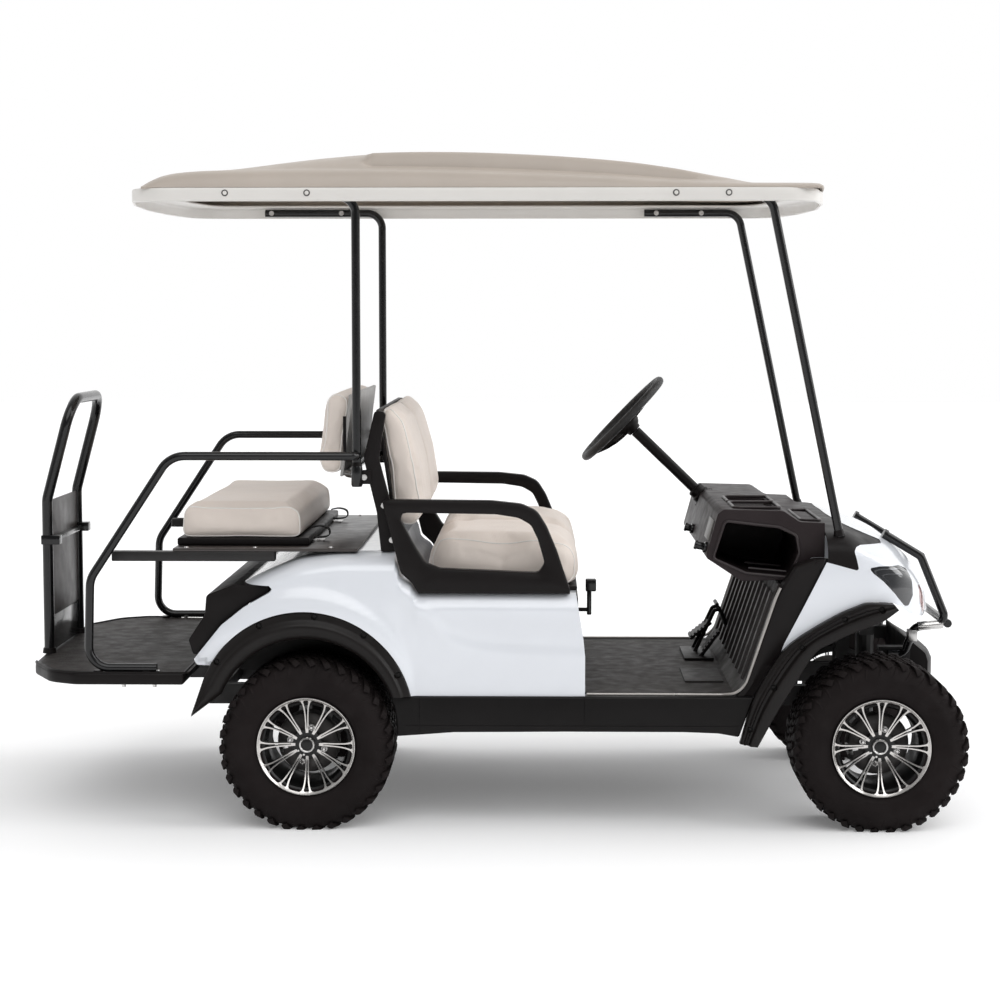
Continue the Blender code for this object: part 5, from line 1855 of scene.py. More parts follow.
    def _panel(self) -> None:
        """Keeps the black panel behind the hood out of a lower shell."""
        panel = self._sheet("hood_rear_panel", 0.0012)
        keep = bmesh.new()
        outline = [(0.9508, 1.0), (0.9945, 1.0), (0.9945, 0.8765), *reversed(self.notch[:-1])]
        outline[-1] = (0.9508, 0.7725)
        prism(keep, side_points(outline, -1.0), Vector((0, 2.0, 0)))
        subtract(panel, keep, "INTERSECT")
        dress(panel, Palette.MOULDED_BLACK, stands_for=["cowl_top"], angle=30.0)

    def _lamp(self, side: str, sign: float) -> None:
        """Makes one headlamp: its dark lens and a bright inner bezel.

        Args:
            side: Right or left.
            sign: The side along Y.
        """
        lens = self._sheet(f"headlamp_lens_{side}", 0.0008)
        keep = bmesh.new()
        prism(
            keep, [self._shrunk(point, 0.985) for point in self._outline(self.lamp, 0.012, sign * 0.36)],
            Vector((0, sign * 0.4, 0)),
        )
        subtract(lens, keep, "INTERSECT")
        dress(lens, Palette.LENS_SMOKE, stands_for=[f"headlight_{side}"], angle=40.0)
        bezel = self._sheet(f"headlamp_bezel_{side}", -0.001)
        outer = self._outline(self.lamp, 0.012, sign * 0.36)
        keep = bmesh.new()
        for low, high in ((0.86, 0.8), (0.56, 0.52)):
            kept = [*outer[len(outer) * 5 // 6 :], *outer[: len(outer) // 3]]
            ring = [[self._shrunk(point, scale) for point in kept] for scale in (low, high)]
            prism(keep, [*ring[0], *reversed(ring[1])], Vector((0, sign * 0.4, 0)))
        subtract(bezel, keep, "INTERSECT")
        dress(bezel, Palette.LENS_EDGE, angle=40.0)

    def _shrunk(self, point: Vector, share: float) -> Vector:
        """Moves a point of the lamp's outline towards its middle."""
        middle = at(1.15, point.y, 0.712)
        return middle + (point - middle) * share

    def _marker(self, side: str, sign: float) -> None:
        """Makes the slim red lamp at the corner of the nose.

        Args:
            side: Right or left.
            sign: The side along Y.
        """
        lens = self._sheet(f"marker_lamp_{side}", 0.001)
        keep = bmesh.new()
        prism(keep, self._outline(self.marker, 0.004, sign * 0.2), Vector((0, sign * 0.6, 0)))
        subtract(lens, keep, "INTERSECT")
        dress(lens, Palette.LAMP_RED, angle=40.0)


@dataclass
class Bumper:
    """The black lower bumper with a rolled front and two ribs."""

    half_width: float = 0.2315

    def build(self) -> None:
        """Makes the bumper as one skin that tapers to its ends."""
        profile = [
            (1.2456, 0.5), (1.263, 0.49), (1.318, 0.46), (1.3297, 0.436), (1.3297, 0.381), (1.29, 0.3605),
            (1.2456, 0.3605),
        ]
        outline = rounded(profile, [0.004, 0.01, 0.02, 0.014, 0.014, 0.012, 0.004], 4)
        rings = []
        count = 40
        for index in range(count + 1):
            share = index / count * 2 - 1
            pull = 0.03 * abs(share) ** 4
            rib = 0.004 * (1.0 if 0.3 < abs(share) < 0.36 else 0.0)
            rings.append([
                at(x - pull * (x - 1.2456) / 0.0841 - rib * (x > 1.3), share * self.half_width, z)
                for x, z in outline
            ])
        bm = bmesh.new()
        skin(bm, rings)
        finished("front_bumper_cover", bm, Palette.MOULDED_BLACK, stands_for=["front_bumper"])


@dataclass
class BrushGuard:
    """The tube guard in front of the hood, with its clamps."""

    radius: float = 0.0125
    half_width: float = 0.3
    beside_rail: float = 0.2528

    def build(self) -> None:
        """Makes both hoops, the cross tubes and the brackets."""
        low, high = (1.345, 0.56), (1.262, 0.762)
        bm = bmesh.new()
        for _, sign in SIDES:
            y = sign * self.half_width
            route = [
                at(1.175, sign * self.beside_rail, 0.46), at(1.225, sign * self.beside_rail, 0.46),
                at(1.245, y, 0.55),
            ]
            route += [at(low[0], y, low[1]), at(high[0], y, high[1]), at(1.15, y, 0.829)]
            sweep(bm, rounded(route, 0.028, 8, closed=False), self.radius, 20)
            drum(bm, at(1.148, y, 0.83), at(1.158, y, 0.8245), 0.0165, 20)
        for place in (low, high):
            sweep(
                bm, [at(place[0], -self.half_width, place[1]), at(place[0], self.half_width, place[1])],
                self.radius, 20,
            )
        finished("guard_tubes", bm, Palette.GLOSS_TUBE, stands_for=["brush_guard"])
        bm = bmesh.new()
        for _, sign in SIDES:
            y = sign * self.half_width
            sweep(bm, [at(1.255, y, 0.5515), at(1.33, y, 0.5588)], self.radius + 0.0009, 20)
            block(bm, at(1.226, y - 0.02, 0.508), at(1.252, y + 0.02, 0.542))
        soften(bm, 0.002, 2)
        finished("guard_clamps", bm, Palette.BRIGHT_STEEL)


# Cabin


@dataclass
class Floor:
    """The floor with its ribbed toe board, the sides beside it and a silver edge strip.

    Attributes:
        half_width: Half the width of the floor.
        line: Side line of the toe board.
        edge: Side line of the black band's front edge.
        ribs: Number of ribs up the toe board.
    """

    half_width: float = 0.5295
    line: tuple = ((0.688, 0.385), (0.718, 0.42), (0.759, 0.542), (0.803, 0.675), (0.813, 0.706))
    edge: tuple = ((0.741, 0.3862), (0.814, 0.5132), (0.941, 0.782))
    ribs: int = 11

    def build(self) -> None:
        """Makes the pan, the mat, the side bands and the strips."""
        route = [(0.262, 0.3848), *rounded(self.line, [0, 0.1, 0.3, 0.3, 0], 6, closed=False)]
        under = [(x + 0.012, z - 0.005) for x, z in [(0.69, 0.377), *self.line[1:]]]
        bm = bmesh.new()
        outline = [*route, *reversed(under), (0.262, 0.3732)]
        prism(bm, side_points(outline, -self.half_width), Vector((0, 2 * self.half_width, 0)))
        self._bands(bm)
        pan = loose("floor_shell", bm)
        dress(pan, [Palette.FLOOR_RUBBER, Palette.MOULDED_BLACK], stands_for=["floor_pan"], angle=40.0)
        for polygon in pan.data.polygons:
            polygon.material_index = int(abs(polygon.center.y) > self.half_width + 0.001)
        self._mat()
        self._strips()

    def _bands(self, bm: BMesh) -> None:
        """Adds the black band between the toe board and the hood on each side.

        Args:
            bm: The mesh that is added to.
        """
        low = 0.3857
        rear = rounded(
            [(0.689, low), *self.line[1:4], (0.855, 0.762), (0.915, 0.782)], [0, 0.1, 0.3, 0.3, 0.02, 0], 6,
            closed=False,
        )
        front = [(self.edge[0][0], low), *self.edge[1:]]
        for _, sign in SIDES:
            rings = []
            for first, second in zip(spaced(rear, 50), spaced(front, 50)):
                ring = []
                for share, y in (
                    (0.0, 0.52), (0.0, 0.566), (0.1, 0.5735), (0.45, 0.5735), (0.55, 0.57), (0.98, 0.569),
                    (1.15, 0.561), (1.15, 0.52),
                ):
                    place = first.lerp(second, share)
                    ring.append(at(place[0], sign * y, place[1]))
                rings.append(ring)
            skin(bm, rings)

    def _mat(self) -> None:
        """Lays the ribbed mat on the floor and up the toe board."""
        bm = bmesh.new()
        for index in range(self.ribs):
            y = -0.475 + 0.95 * index / (self.ribs - 1)
            rings = []
            for x, z in spaced(self.line[1:4], 12):
                rings.append([
                    at(x - lift * 0.9, y + across, z + lift * 0.42 + 0.001)
                    for across, lift in ((-0.017, -0.002), (-0.012, 0.008), (0.012, 0.008), (0.017, -0.002))
                ])
            skin(bm, rings)
        block(bm, at(0.56, -0.33, 0.385), at(0.675, -0.085, 0.3895))
        finished("floor_mat_ribs", bm, Palette.MAT_RIB, angle=40.0)

    def _strips(self) -> None:
        """Runs the silver strip along the floor's outer edge and up the band."""
        bm = bmesh.new()
        for _, sign in SIDES:
            y = sign * 0.569
            route = [
                at(0.262, sign * 0.553, 0.387), at(0.655, sign * 0.553, 0.387), at(0.693, y, 0.3935),
                at(0.72, y, 0.4215),
            ]
            route += [at(x, y, z) for x, z in ((0.76, 0.544), (0.802, 0.67), (0.815, 0.7))]
            sweep(bm, rounded(route, [0, 0.03, 0.05, 0.06, 0.2, 0.1, 0], 8, closed=False), 0.0042, 10)
        finished("floor_edge_strip", bm, Palette.TRIM_SILVER)


@dataclass
class Dash:
    """The black dash with its open bins, top tray, knob and the opening for the steering column."""

    half_width: float = 0.4995
    bin_depth: float = 0.058

    def build(self) -> None:
        """Makes the dash, its rolled rims and its small fittings."""
        outline = [
            (0.606, 0.779), (0.64, 0.905), (0.657, 0.919), (0.83, 0.915), (0.877, 0.883), (0.9495, 0.88),
        ]
        outline += [(0.9495, 0.7803), (0.911, 0.7803), (0.888, 0.75), (0.858, 0.715), (0.711, 0.71)]
        soft = rounded(outline, [0.012, 0.015, 0.012, 0.03, 0.03, 0.002, 0.002, 0.01, 0.02, 0.02, 0.03], 5)
        bm = bmesh.new()
        prism(bm, side_points(soft, -self.half_width), Vector((0, 2 * self.half_width, 0)))
        soften(bm, 0.006, 3, 50.0)
        dash = loose("dash_moulding", bm)
        bin_outline = rounded(
            [
                (0.627, 0.777), (0.661, 0.886), (0.818, 0.868), (0.868, 0.844), (0.877, 0.795),
                (0.848, 0.722), (0.723, 0.734),
            ],
            [0.012, 0.015, 0.03, 0.02, 0.02, 0.015, 0.02], 5,
        )
        cutter = bmesh.new()
        for _, sign in SIDES:
            prism(cutter, side_points(bin_outline, sign * self.bin_depth), Vector((0, sign * 0.6, 0)))
        block(cutter, at(0.7, -0.44, 0.896), at(0.815, -0.08, 1.0))
        foot, head = at(0.668, 0.25, 0.88), at(0.433, 0.25, 1.1065)
        along = (head - foot).normalized()
        drum(cutter, foot - along * 0.0004, head, 0.0384, 32)
        subtract(dash, cutter)
        dress(dash, Palette.DASH_BROWN, stands_for=["dashboard"])
        self._rims(bin_outline)
        self._tray()
        self._fittings()

    def _rims(self, outline: Sequence[Vector]) -> None:
        """Rolls a bead round each bin's mouth and adds the ledge below it.

        Args:
            outline: The bin's mouth.
        """
        bm = bmesh.new()
        for _, sign in SIDES:
            mouth = [at(point[0], sign * (self.half_width + 0.001), point[1]) for point in outline]
            mouth.append(mouth[0].copy())
            sweep(bm, mouth, 0.0042, 10)
            ledge = [at(0.735, sign * 0.3, 0.742), at(0.845, sign * 0.3, 0.732)]
            for y in (0.16, 0.3, 0.44):
                sweep(bm, [Vector((p.x, sign * y, p.z)) for p in ledge], 0.004, 8)
        finished("dash_bin_rims", bm, Palette.DASH_EDGE)

    def _tray(self) -> None:
        """Adds the two framed slots of the top tray, with their raised rims."""
        bm = bmesh.new()
        for low_y, high_y in ((-0.455, -0.265), (-0.255, -0.065)):
            outer = rounded([(0.69, low_y), (0.825, low_y), (0.825, high_y), (0.69, high_y)], 0.018, 6)
            ring = [Vector((x + CART_SHIFT, y, 0.9205)) for x, y in outer]
            ring.append(ring[0].copy())
            sweep(bm, ring, 0.0048, 10)
        for y in (-0.4, -0.345, -0.29, -0.22, -0.165, -0.11):
            sweep(bm, [at(0.705, y, 0.8985), at(0.812, y, 0.8985)], 0.0035, 8)
        ring = [
            at(x, y, 0.8845)
            for x, y in rounded([(0.886, -0.455), (0.942, -0.455), (0.942, -0.12), (0.886, -0.12)], 0.014, 6)
        ]
        ring.append(ring[0].copy())
        sweep(bm, ring, 0.004, 10)
        finished("dash_tray_rims", bm, Palette.DASH_EDGE)

    def _fittings(self) -> None:
        """Adds the bare grey plate, the switch and its knob on the face beside the wheel."""
        bm = bmesh.new()
        aim = Vector((-0.966, 0.0, 0.2607))
        face = at(0.6265, -0.395, 0.853)
        turn = aim.to_track_quat("Z", "Y").to_matrix().to_4x4()
        made = bmesh.ops.create_cube(
            bm, size=1.0,
            matrix=Matrix.Translation(face + aim * 0.002) @ turn @ Matrix.Diagonal((0.15, 0.062, 0.005, 1.0)),
        )
        soften(bm, 0.0015, 2, verts=made["verts"])
        finished("dash_blank_plate", bm, Palette.PLATE_GREY)
        bm = bmesh.new()
        for y, reach in ((-0.435, 0.03), (0.12, 0.022)):
            spot = at(0.6125, y, 0.802)
            drum(bm, spot - aim * 0.004, spot + aim * 0.008, 0.016, 28)
            drum(bm, spot + aim * 0.006, spot + aim * reach, 0.0105, 24, 0.0125)
            drum(bm, spot + aim * (reach - 0.001), spot + aim * (reach + 0.006), 0.015, 24, 0.013)
        soften(bm, 0.0012, 2)
        finished("dash_switches", bm, Palette.GLOSS_TUBE)


@dataclass
class Steering:
    """The steering wheel with its dished spokes, on a sloping column."""

    foot: Vector = field(default_factory=lambda: at(0.668, 0.25, 0.88))
    head: Vector = field(default_factory=lambda: at(0.433, 0.25, 1.1065))
    rim_radius: float = 0.1695
    grip: float = 0.0132
    rise: float = 0.057

    def build(self) -> None:
        """Makes the column with its boot, and the wheel on its own body."""
        along = (self.head - self.foot).normalized()
        turn = along.to_track_quat("Y", "Z").to_matrix().to_4x4()
        bm = bmesh.new()
        lathe(
            bm,
            [
                (0.0, 0.0), (0.0375, 0.0), (0.038, 0.006), (0.0345, 0.01), (0.035, 0.02), (0.03, 0.024),
                (0.0305, 0.036), (0.026, 0.04), (0.026, 0.056), (0.0225, 0.06), (0.0168, 0.061), (0.0, 0.061),
            ],
            48,
        )
        length = (self.head - self.foot).length
        lathe(
            bm,
            [
                (0.0, 0.05), (0.0168, 0.05), (0.0168, length * 0.55), (0.0172, length * 0.56),
                (0.0172, length - 0.001), (0.0, length),
            ],
            48,
        )
        bmesh.ops.transform(bm, matrix=Matrix.Translation(self.foot) @ turn, verts=bm.verts)
        finished("column_and_boot", bm, Palette.MOULDED_BLACK, stands_for=["steering_column"])
        bm = bmesh.new()
        lathe(
            bm,
            [
                (0.0, 0.044), (0.02, 0.0435), (0.034, 0.041), (0.0385, 0.035), (0.038, 0.025), (0.031, 0.015),
                (0.0245, 0.01), (0.0225, 0.001), (0.0, 0.001),
            ],
            48,
        )
        for index in range(3):
            self._spoke(bm, Matrix.Rotation(math.radians(90 + 120 * index), 4, "Y"))
        marks = len(bm.faces)
        self._rim(bm)
        bm.faces.ensure_lookup_table()
        for face in bm.faces[marks:]:
            face.material_index = 1
        placed = Matrix.Translation(self.head + along * 0.0004) @ turn
        placed = placed @ Matrix.Rotation(math.radians(90), 4, "Y")
        bmesh.ops.transform(bm, matrix=placed, verts=bm.verts)
        wheel = loose("steering_wheel_dressed", bm)
        dress(wheel, [Palette.MOULDED_BLACK, Palette.WHEEL_GRIP], "steering", ["steering_wheel"], 40.0)

    def _rim(self, bm: BMesh) -> None:
        """Adds the grip with its finger waves on the inner side.

        Args:
            bm: The mesh that is added to.
        """
        rings = []
        steps = 144
        for index in range(steps):
            turn = math.tau * index / steps
            ring = []
            for step in range(14):
                lean = math.tau * step / 14
                inner = max(0.0, -math.cos(lean))
                radius = self.grip - 0.0016 * inner * (0.5 + 0.5 * math.cos(turn * 36))
                reach = self.rim_radius + radius * math.cos(lean)
                ring.append(Vector((
                    reach * math.cos(turn), self.rise + radius * math.sin(lean), reach * math.sin(turn),
                )))
            rings.append(ring)
        skin(bm, rings, caps=False, ends_meet=True)

    def _spoke(self, bm: BMesh, turned: Matrix) -> None:
        """Adds one flat spoke that widens to the rim.

        Args:
            bm: The mesh that is added to.
            turned: The spoke's turn round the wheel.
        """
        rings = []
        for share in (0.0, 0.15, 0.35, 0.6, 0.8, 0.92, 1.0):
            reach = 0.022 + (self.rim_radius - 0.008 - 0.022) * share
            rise = 0.016 + (self.rise - 0.016) * share**2.3
            half = 0.024 - 0.008 * math.sin(share * math.pi) + 0.008 * share**3
            rings.append([
                Vector((reach, rise + up, across * half))
                for across, up in (
                    (-1, 0.0), (-0.8, 0.0045), (0.8, 0.0045), (1, 0.0), (0.8, -0.0045), (-0.8, -0.0045),
                )
            ])
        before = len(bm.verts)
        skin(bm, rings)
        bm.verts.ensure_lookup_table()
        bmesh.ops.transform(bm, matrix=turned, verts=bm.verts[before:])


@dataclass
class Pedals:
    """The brake and accelerator on a floor frame, with ribbed pads."""

    def build(self) -> None:
        """Makes the frame, the arms and the pads."""
        bm = bmesh.new()
        made = block(bm, at(0.5855, 0.0805, 0.3855), at(0.6795, 0.3295, 0.3935))
        soften(bm, 0.002, 2, verts=made)
        for y in (0.312, 0.232):
            frame = rounded(
                [at(0.628, y, 0.389), at(0.703, y, 0.551), at(0.738, y, 0.455)], 0.014, 6, closed=False,
            )
            sweep(bm, frame, 0.0062, 14)
        sweep(bm, [at(0.7, 0.226, 0.544), at(0.7, 0.318, 0.544)], 0.0062, 14)
        sweep(bm, [at(0.657, 0.226, 0.452), at(0.657, 0.318, 0.452)], 0.007, 14)
        for y, width, place, lean in ((0.272, 0.1, (0.648, 0.458), 52), (0.13, 0.07, (0.672, 0.44), 38)):
            before = len(bm.verts)
            block(bm, Vector((-0.005, -width / 2, -0.043)), Vector((0.003, width / 2, 0.043)))
            for index in range(6):
                z = -0.035 + 0.014 * index
                block(
                    bm, Vector((-0.0085, -width / 2 + 0.006, z - 0.0035)),
                    Vector((-0.004, width / 2 - 0.006, z + 0.0035)),
                )
            bm.verts.ensure_lookup_table()
            turned = Matrix.Rotation(math.radians(lean), 4, "Y")
            placed = Matrix.Translation(at(place[0], y, place[1])) @ turned
            bmesh.ops.transform(bm, matrix=placed, verts=bm.verts[before:])
        sweep(bm, [at(0.64, 0.13, 0.391), at(0.676, 0.13, 0.44)], 0.0065, 14)
        finished("pedals_ribbed", bm, Palette.MOULDED_BLACK, stands_for=["pedals"])


@dataclass
class SeatBase:
    """The front of the seat base with its recessed field and the drive lever."""

    def build(self) -> None:
        """Makes the panel, its raised border and the lever."""
        bm = bmesh.new()
        block(bm, at(0.2222, -0.4998, 0.3732), at(0.234, 0.4998, 0.6738))
        block(bm, at(0.2222, -0.4998, 0.3732), at(0.2615, 0.4998, 0.3848))
        for low, high in ((-0.485, -0.025), (0.025, 0.485)):
            ring = rounded([(low, 0.41), (high, 0.41), (high, 0.655), (low, 0.655)], 0.02, 6)
            path = [at(0.2345, y, z) for y, z in ring]
            path.append(path[0].copy())
            sweep(bm, path, 0.0035, 8)
        drum(bm, at(0.228, -0.2, 0.586), at(0.275, -0.2, 0.586), 0.006, 16)
        finished("seat_base_front", bm, Palette.MOULDED_BLACK, stands_for=["seat_front_panel"])
        bm = bmesh.new()
        made = block(bm, at(0.269, -0.2075, 0.57), at(0.283, -0.1925, 0.648))
        made += block(bm, at(0.265, -0.214, 0.6425), at(0.297, -0.186, 0.68))
        soften(bm, 0.004, 3, verts=made)
        finished("drive_lever_knob", bm, Palette.GLOSS_TUBE)


@dataclass
class Armrest:
    """One moulded armrest loop beside the front seat."""

    side: str
    sign: float
    middle: Point = (-0.075, 0.835)
    outer: tuple = (
        (-0.3265, 0.95), (-0.311, 0.953), (-0.012, 0.95), (0.073, 0.941), (0.118, 0.921), (0.146, 0.876),
        (0.174, 0.809), (0.214, 0.69), (0.228, 0.6824), (-0.223, 0.6827), (-0.24, 0.7117), (-0.274, 0.7427),
        (-0.2875, 0.7972),
    )
    hole: tuple = (
        (-0.266, 0.915), (0.0, 0.911), (0.065, 0.901), (0.1, 0.881), (0.12, 0.84), (0.14, 0.771),
        (0.122, 0.743), (-0.161, 0.755), (-0.202, 0.771), (-0.23, 0.816), (-0.274, 0.897),
    )

    def build(self) -> None:
        """Makes the loop with its rounded edges."""
        outer = rounded(
            self.outer, [0.012, 0.03, 0.1, 0.06, 0.05, 0.06, 0.06, 0.004, 0.002, 0.004, 0.02, 0.02, 0.01], 5,
        )
        hole = rounded(self.hole, [0.01, 0.1, 0.05, 0.03, 0.04, 0.02, 0.015, 0.03, 0.03, 0.04, 0.012], 5)
        count = 180
        bm = bmesh.new()
        frame_ring(
            bm, around(outer, self.middle, count), around(hole, self.middle, count),
            (self.sign * 0.5852, self.sign * 0.5448), 0.007,
        )
        finished(
            f"armrest_loop_{self.side}", bm, Palette.MOULDED_BLACK, stands_for=[f"armrest_{self.side}"],
            angle=50.0,
        )


@dataclass
class SeatBack:
    """The frame behind the front seat: two posts, cross bars, sleeves and brackets."""

    post_y: tuple = (0.4862, 0.5138)
    strut: Point = (-0.402, 0.52)
    radius: float = 0.0125

    def build(self) -> None:
        """Makes the posts, the tubes and their bolts."""
        rear_edge = [(-0.351, 1.205), (-0.383, 1.065), (-0.346, 0.911), (-0.334, 0.7966)]
        front_edge = [(-0.292, 0.7966), (-0.3, 0.915), (-0.34, 1.065), (-0.318, 1.2)]
        radii = [0.012, 0.04, 0.06, 0.002]
        outline = rounded([*rear_edge, *front_edge], [*radii, *reversed(radii)], 6)
        bm = bmesh.new()
        for _, sign in SIDES:
            prism(bm, side_points(outline, sign * self.post_y[0]), Vector((0, sign * 0.0276, 0)))
        soften(bm, 0.004, 3, 50.0)
        for _, sign in SIDES:
            made = block(
                bm, at(self.strut[0], min(sign * 0.49, sign * 0.519), 0.992),
                at(-0.36, max(sign * 0.49, sign * 0.519), 1.032),
            )
            soften(bm, 0.003, 2, verts=made)
        finished("seat_back_posts", bm, Palette.MOULDED_BLACK, stands_for=["seat_back_frame"])
        bm = bmesh.new()
        for _, sign in SIDES:
            sweep(
                bm, [at(self.strut[0], sign * self.strut[1], z) for z in (0.985, 0.99, 1.04, 1.0448)],
                [0.0135, 0.0164, 0.0164, 0.015], 24,
            )
        for x, z in ((-0.352, 1.13), (-0.322, 0.93)):
            sweep(bm, [at(x, -0.4955, z), at(x, 0.4955, z)], self.radius, 20)
        bar = [
            at(-0.402, -0.52, 1.02), at(-0.4338, -0.46, 1.02), at(-0.4338, 0.46, 1.02), at(-0.402, 0.52, 1.02)
        ]
        sweep(bm, rounded(bar, 0.04, 6, closed=False), self.radius, 20)
        finished("seat_back_tubes", bm, Palette.GLOSS_TUBE)
        bm = bmesh.new()
        for _, sign in SIDES:
            for x, z in ((-0.381, 1.012), (-0.345, 0.93), (-0.322, 0.83)):
                spot = at(x if z > 1 else x + 0.02, sign * (0.5195 if z > 1 else 0.514), z)
                drum(bm, spot, spot + Vector((0, sign * 0.003, 0)), 0.0085, 24)
                drum(bm, spot, spot + Vector((0, sign * 0.0075, 0)), 0.0058, 6)
        finished("seat_back_bolts", bm, Palette.BRIGHT_STEEL)


# Roof


@dataclass
class Roof:
    """The stepped roof shell on its rim, whose pale colour is a painted highlight, with the bolts that hold
    it.

    Attributes:
        half_width: Half the width of the crown at its foot.
        base: Height of the crown's foot.
        wall: Thickness of the crown.
        margin: Width of the rim.
    """

    half_width: float = 0.554
    base: float = 1.8405
    wall: float = 0.005
    margin: float = 0.085
    # Columns: x, height of the plinth, height of the dome on it, pull along x at the foot.
    stations: tuple = (
        (-1.06, 0.004, 0.0, 0.05),
        (-1.03, 0.02, 0.0, 0.045),
        (-0.98, 0.036, 0.0, 0.03),
        (-0.92, 0.045, 0.0, 0.012),
        (-0.83, 0.051, 0.002, 0.0),
        (-0.76, 0.053, 0.009, 0.0),
        (-0.7, 0.054, 0.018, 0.0),
        (-0.638, 0.055, 0.027, 0.0),
        (-0.487, 0.056, 0.045, 0.0),
        (-0.34, 0.056, 0.057, 0.0),
        (-0.055, 0.05, 0.064, 0.0),
        (0.089, 0.045, 0.063, 0.0),
        (0.233, 0.039, 0.06, 0.0),
        (0.377, 0.031, 0.055, 0.0),
        (0.521, 0.022, 0.043, 0.0),
        (0.665, 0.016, 0.024, 0.0),
        (0.773, 0.0145, 0.002, 0.0),
        (0.89, 0.014, 0.0, -0.01),
        (0.944, 0.012, 0.0, -0.03),
        (0.974, 0.005, 0.0, -0.05),
    )
    plinth: tuple = (
        (0.0, 1.0), (0.8, 1.0), (0.9, 0.97), (0.95, 0.82), (0.978, 0.55), (0.992, 0.28), (1.0, 0.0),
    )
    dome: tuple = ((0.0, 1.0), (0.4, 1.0), (0.6, 0.93), (0.74, 0.7), (0.82, 0.32), (0.88, 0.0), (1.0, 0.0))
    stepped: tuple = (
        (0.0, 1.0), (0.4, 1.0), (0.6, 0.965), (0.75, 0.88), (0.785, 0.8), (0.8, 0.22), (0.83, 0.14),
        (0.9, 0.0), (1.0, 0.0),
    )
    rim_outline: tuple = (
        (-1.094, 0.0), (-1.08, 0.3), (-1.036, 0.5595), (0.904, 0.5595), (0.958, 0.3), (0.98, 0.0),
    )

    def build(self) -> None:
        """Makes the shell, the rim and the fastenings."""
        self._crown()
        self._rim()
        self._bolts()

    def _crown(self) -> None:
        """Lays the shell over its stations and gives it a wall."""
        bm = bmesh.new()
        low, high = self.stations[0][0], self.stations[-1][0]
        columns, rows = 160, 96
        kept: dict[int, list[float]] = {}

        def spread(share: float) -> float:
            """Crowds the places towards the edges."""
            return share if abs(share) < 1e-9 else math.copysign(1 - (1 - abs(share)) ** 1.5, share)

        def place(along: float, over: float) -> Vector:
            """Gives a point of the surface.

            Args:
                along: Place from the low end to the high end, from 0 to 1.
                over: Place across, from 0 to 1.

            Returns:
                The point of the surface.
            """
            x = low + (high - low) * along
            share = spread(over * 2 - 1)
            key = round(along * columns)
            if key not in kept:
                kept[key] = [
                    value_at([(row[0], row[column]) for row in self.stations], x) for column in (1, 2, 3)
                ]
            plinth, dome, pull = kept[key]
            step = ease(-0.386, -0.366, x) * (1.0 - ease(0.5, 0.7, x))
            smooth, cut = value_at(self.dome, abs(share)), value_at(self.stepped, abs(share))
            over_dome = smooth * (1 - step) + cut * step
            height = plinth * value_at(self.plinth, abs(share)) + dome * over_dome
            return at(x + pull * share**2, share * self.half_width, self.base + height)

        patch(bm, columns, rows, place)
        shell = thicken(loose("roof_shell", bm, turn_out=False), self.wall)
        dress(shell, Palette.ROOF_STONE, stands_for=["roof_crown"], angle=40.0)

    def _rim(self) -> None:
        """Draws the rolled rim round the shell's foot, its pale colour a painted highlight."""
        half = rounded(self.rim_outline, [0, 0.3, 0.1, 0.1, 0.3, 0], 10, closed=False)
        full = half + [(x, -y) for x, y in reversed(half[1:-1])]
        centre = (-0.055, 0.0)
        outer = around(full, centre, 360)
        profile = [
            (0.006, 1.8003), (0.0022, 1.801), (0.0004, 1.803), (0.0, 1.806), (0.0, 1.833), (0.002, 1.838),
        ]
        profile += [
            (0.0065, 1.8397), (0.012, 1.8397), (self.margin, 1.8397), (self.margin + 0.002, 1.8365),
            (self.margin, 1.8335),
        ]
        profile += [(0.017, 1.8335), (0.012, 1.831), (0.0095, 1.826), (0.0085, 1.806), (0.008, 1.802)]
        rings = []
        for place in outer:
            spot = Vector(place)
            away = spot - Vector(centre)
            sides = Vector((math.copysign(1, away.x), math.copysign(1, away.y)))
            ring = []
            for inset, z in profile:
                inner = Vector((
                    spot.x - sides.x * inset * min(1.0, abs(away.x) / 0.35),
                    spot.y - sides.y * inset * min(1.0, abs(away.y) / 0.2),
                ))
                ring.append(at(inner.x, inner.y, z))
            rings.append(ring)
        bm = bmesh.new()
        skin(bm, rings, closed=True, caps=False, ends_meet=True)
        # The rim band takes the pale colour, a painted highlight.
        finished("roof_rim_band", bm, Palette.ROOF_RIM_PAINTED_HIGHLIGHT, stands_for=["roof_rim"], angle=40.0)

    def _bolts(self) -> None:
        """Sets the capped bolts into the rim and the bright ones into the bars below it."""
        caps, rings, heads = bmesh.new(), bmesh.new(), bmesh.new()
        for _, sign in SIDES:
            for x in (-0.77, -0.537, 0.51, 0.659):
                face = sign * 0.559
                drum(rings, at(x, face, 1.824), at(x, face + sign * 0.0022, 1.824), 0.0098, 32, 0.0088)
                drum(
                    caps, at(x, face + sign * 0.0012, 1.824), at(x, face + sign * 0.0048, 1.824), 0.0066, 28,
                    0.0045,
                )
                inner = sign * 0.5085
                drum(heads, at(x, inner, 1.8165), at(x, inner - sign * 0.003, 1.8165), 0.0082, 24)
                drum(
                    heads, at(x, inner - sign * 0.0025, 1.8165), at(x, inner - sign * 0.0065, 1.8165), 0.006,
                    6,
                )
        # The bolt caps take the rim's pale colour, a painted highlight.
        finished("roof_bolt_caps", caps, Palette.ROOF_RIM_PAINTED_HIGHLIGHT)
        finished("roof_bolt_rings", rings, Palette.BOLT_GREY)
        finished("strut_bolts", heads, Palette.BRIGHT_STEEL)


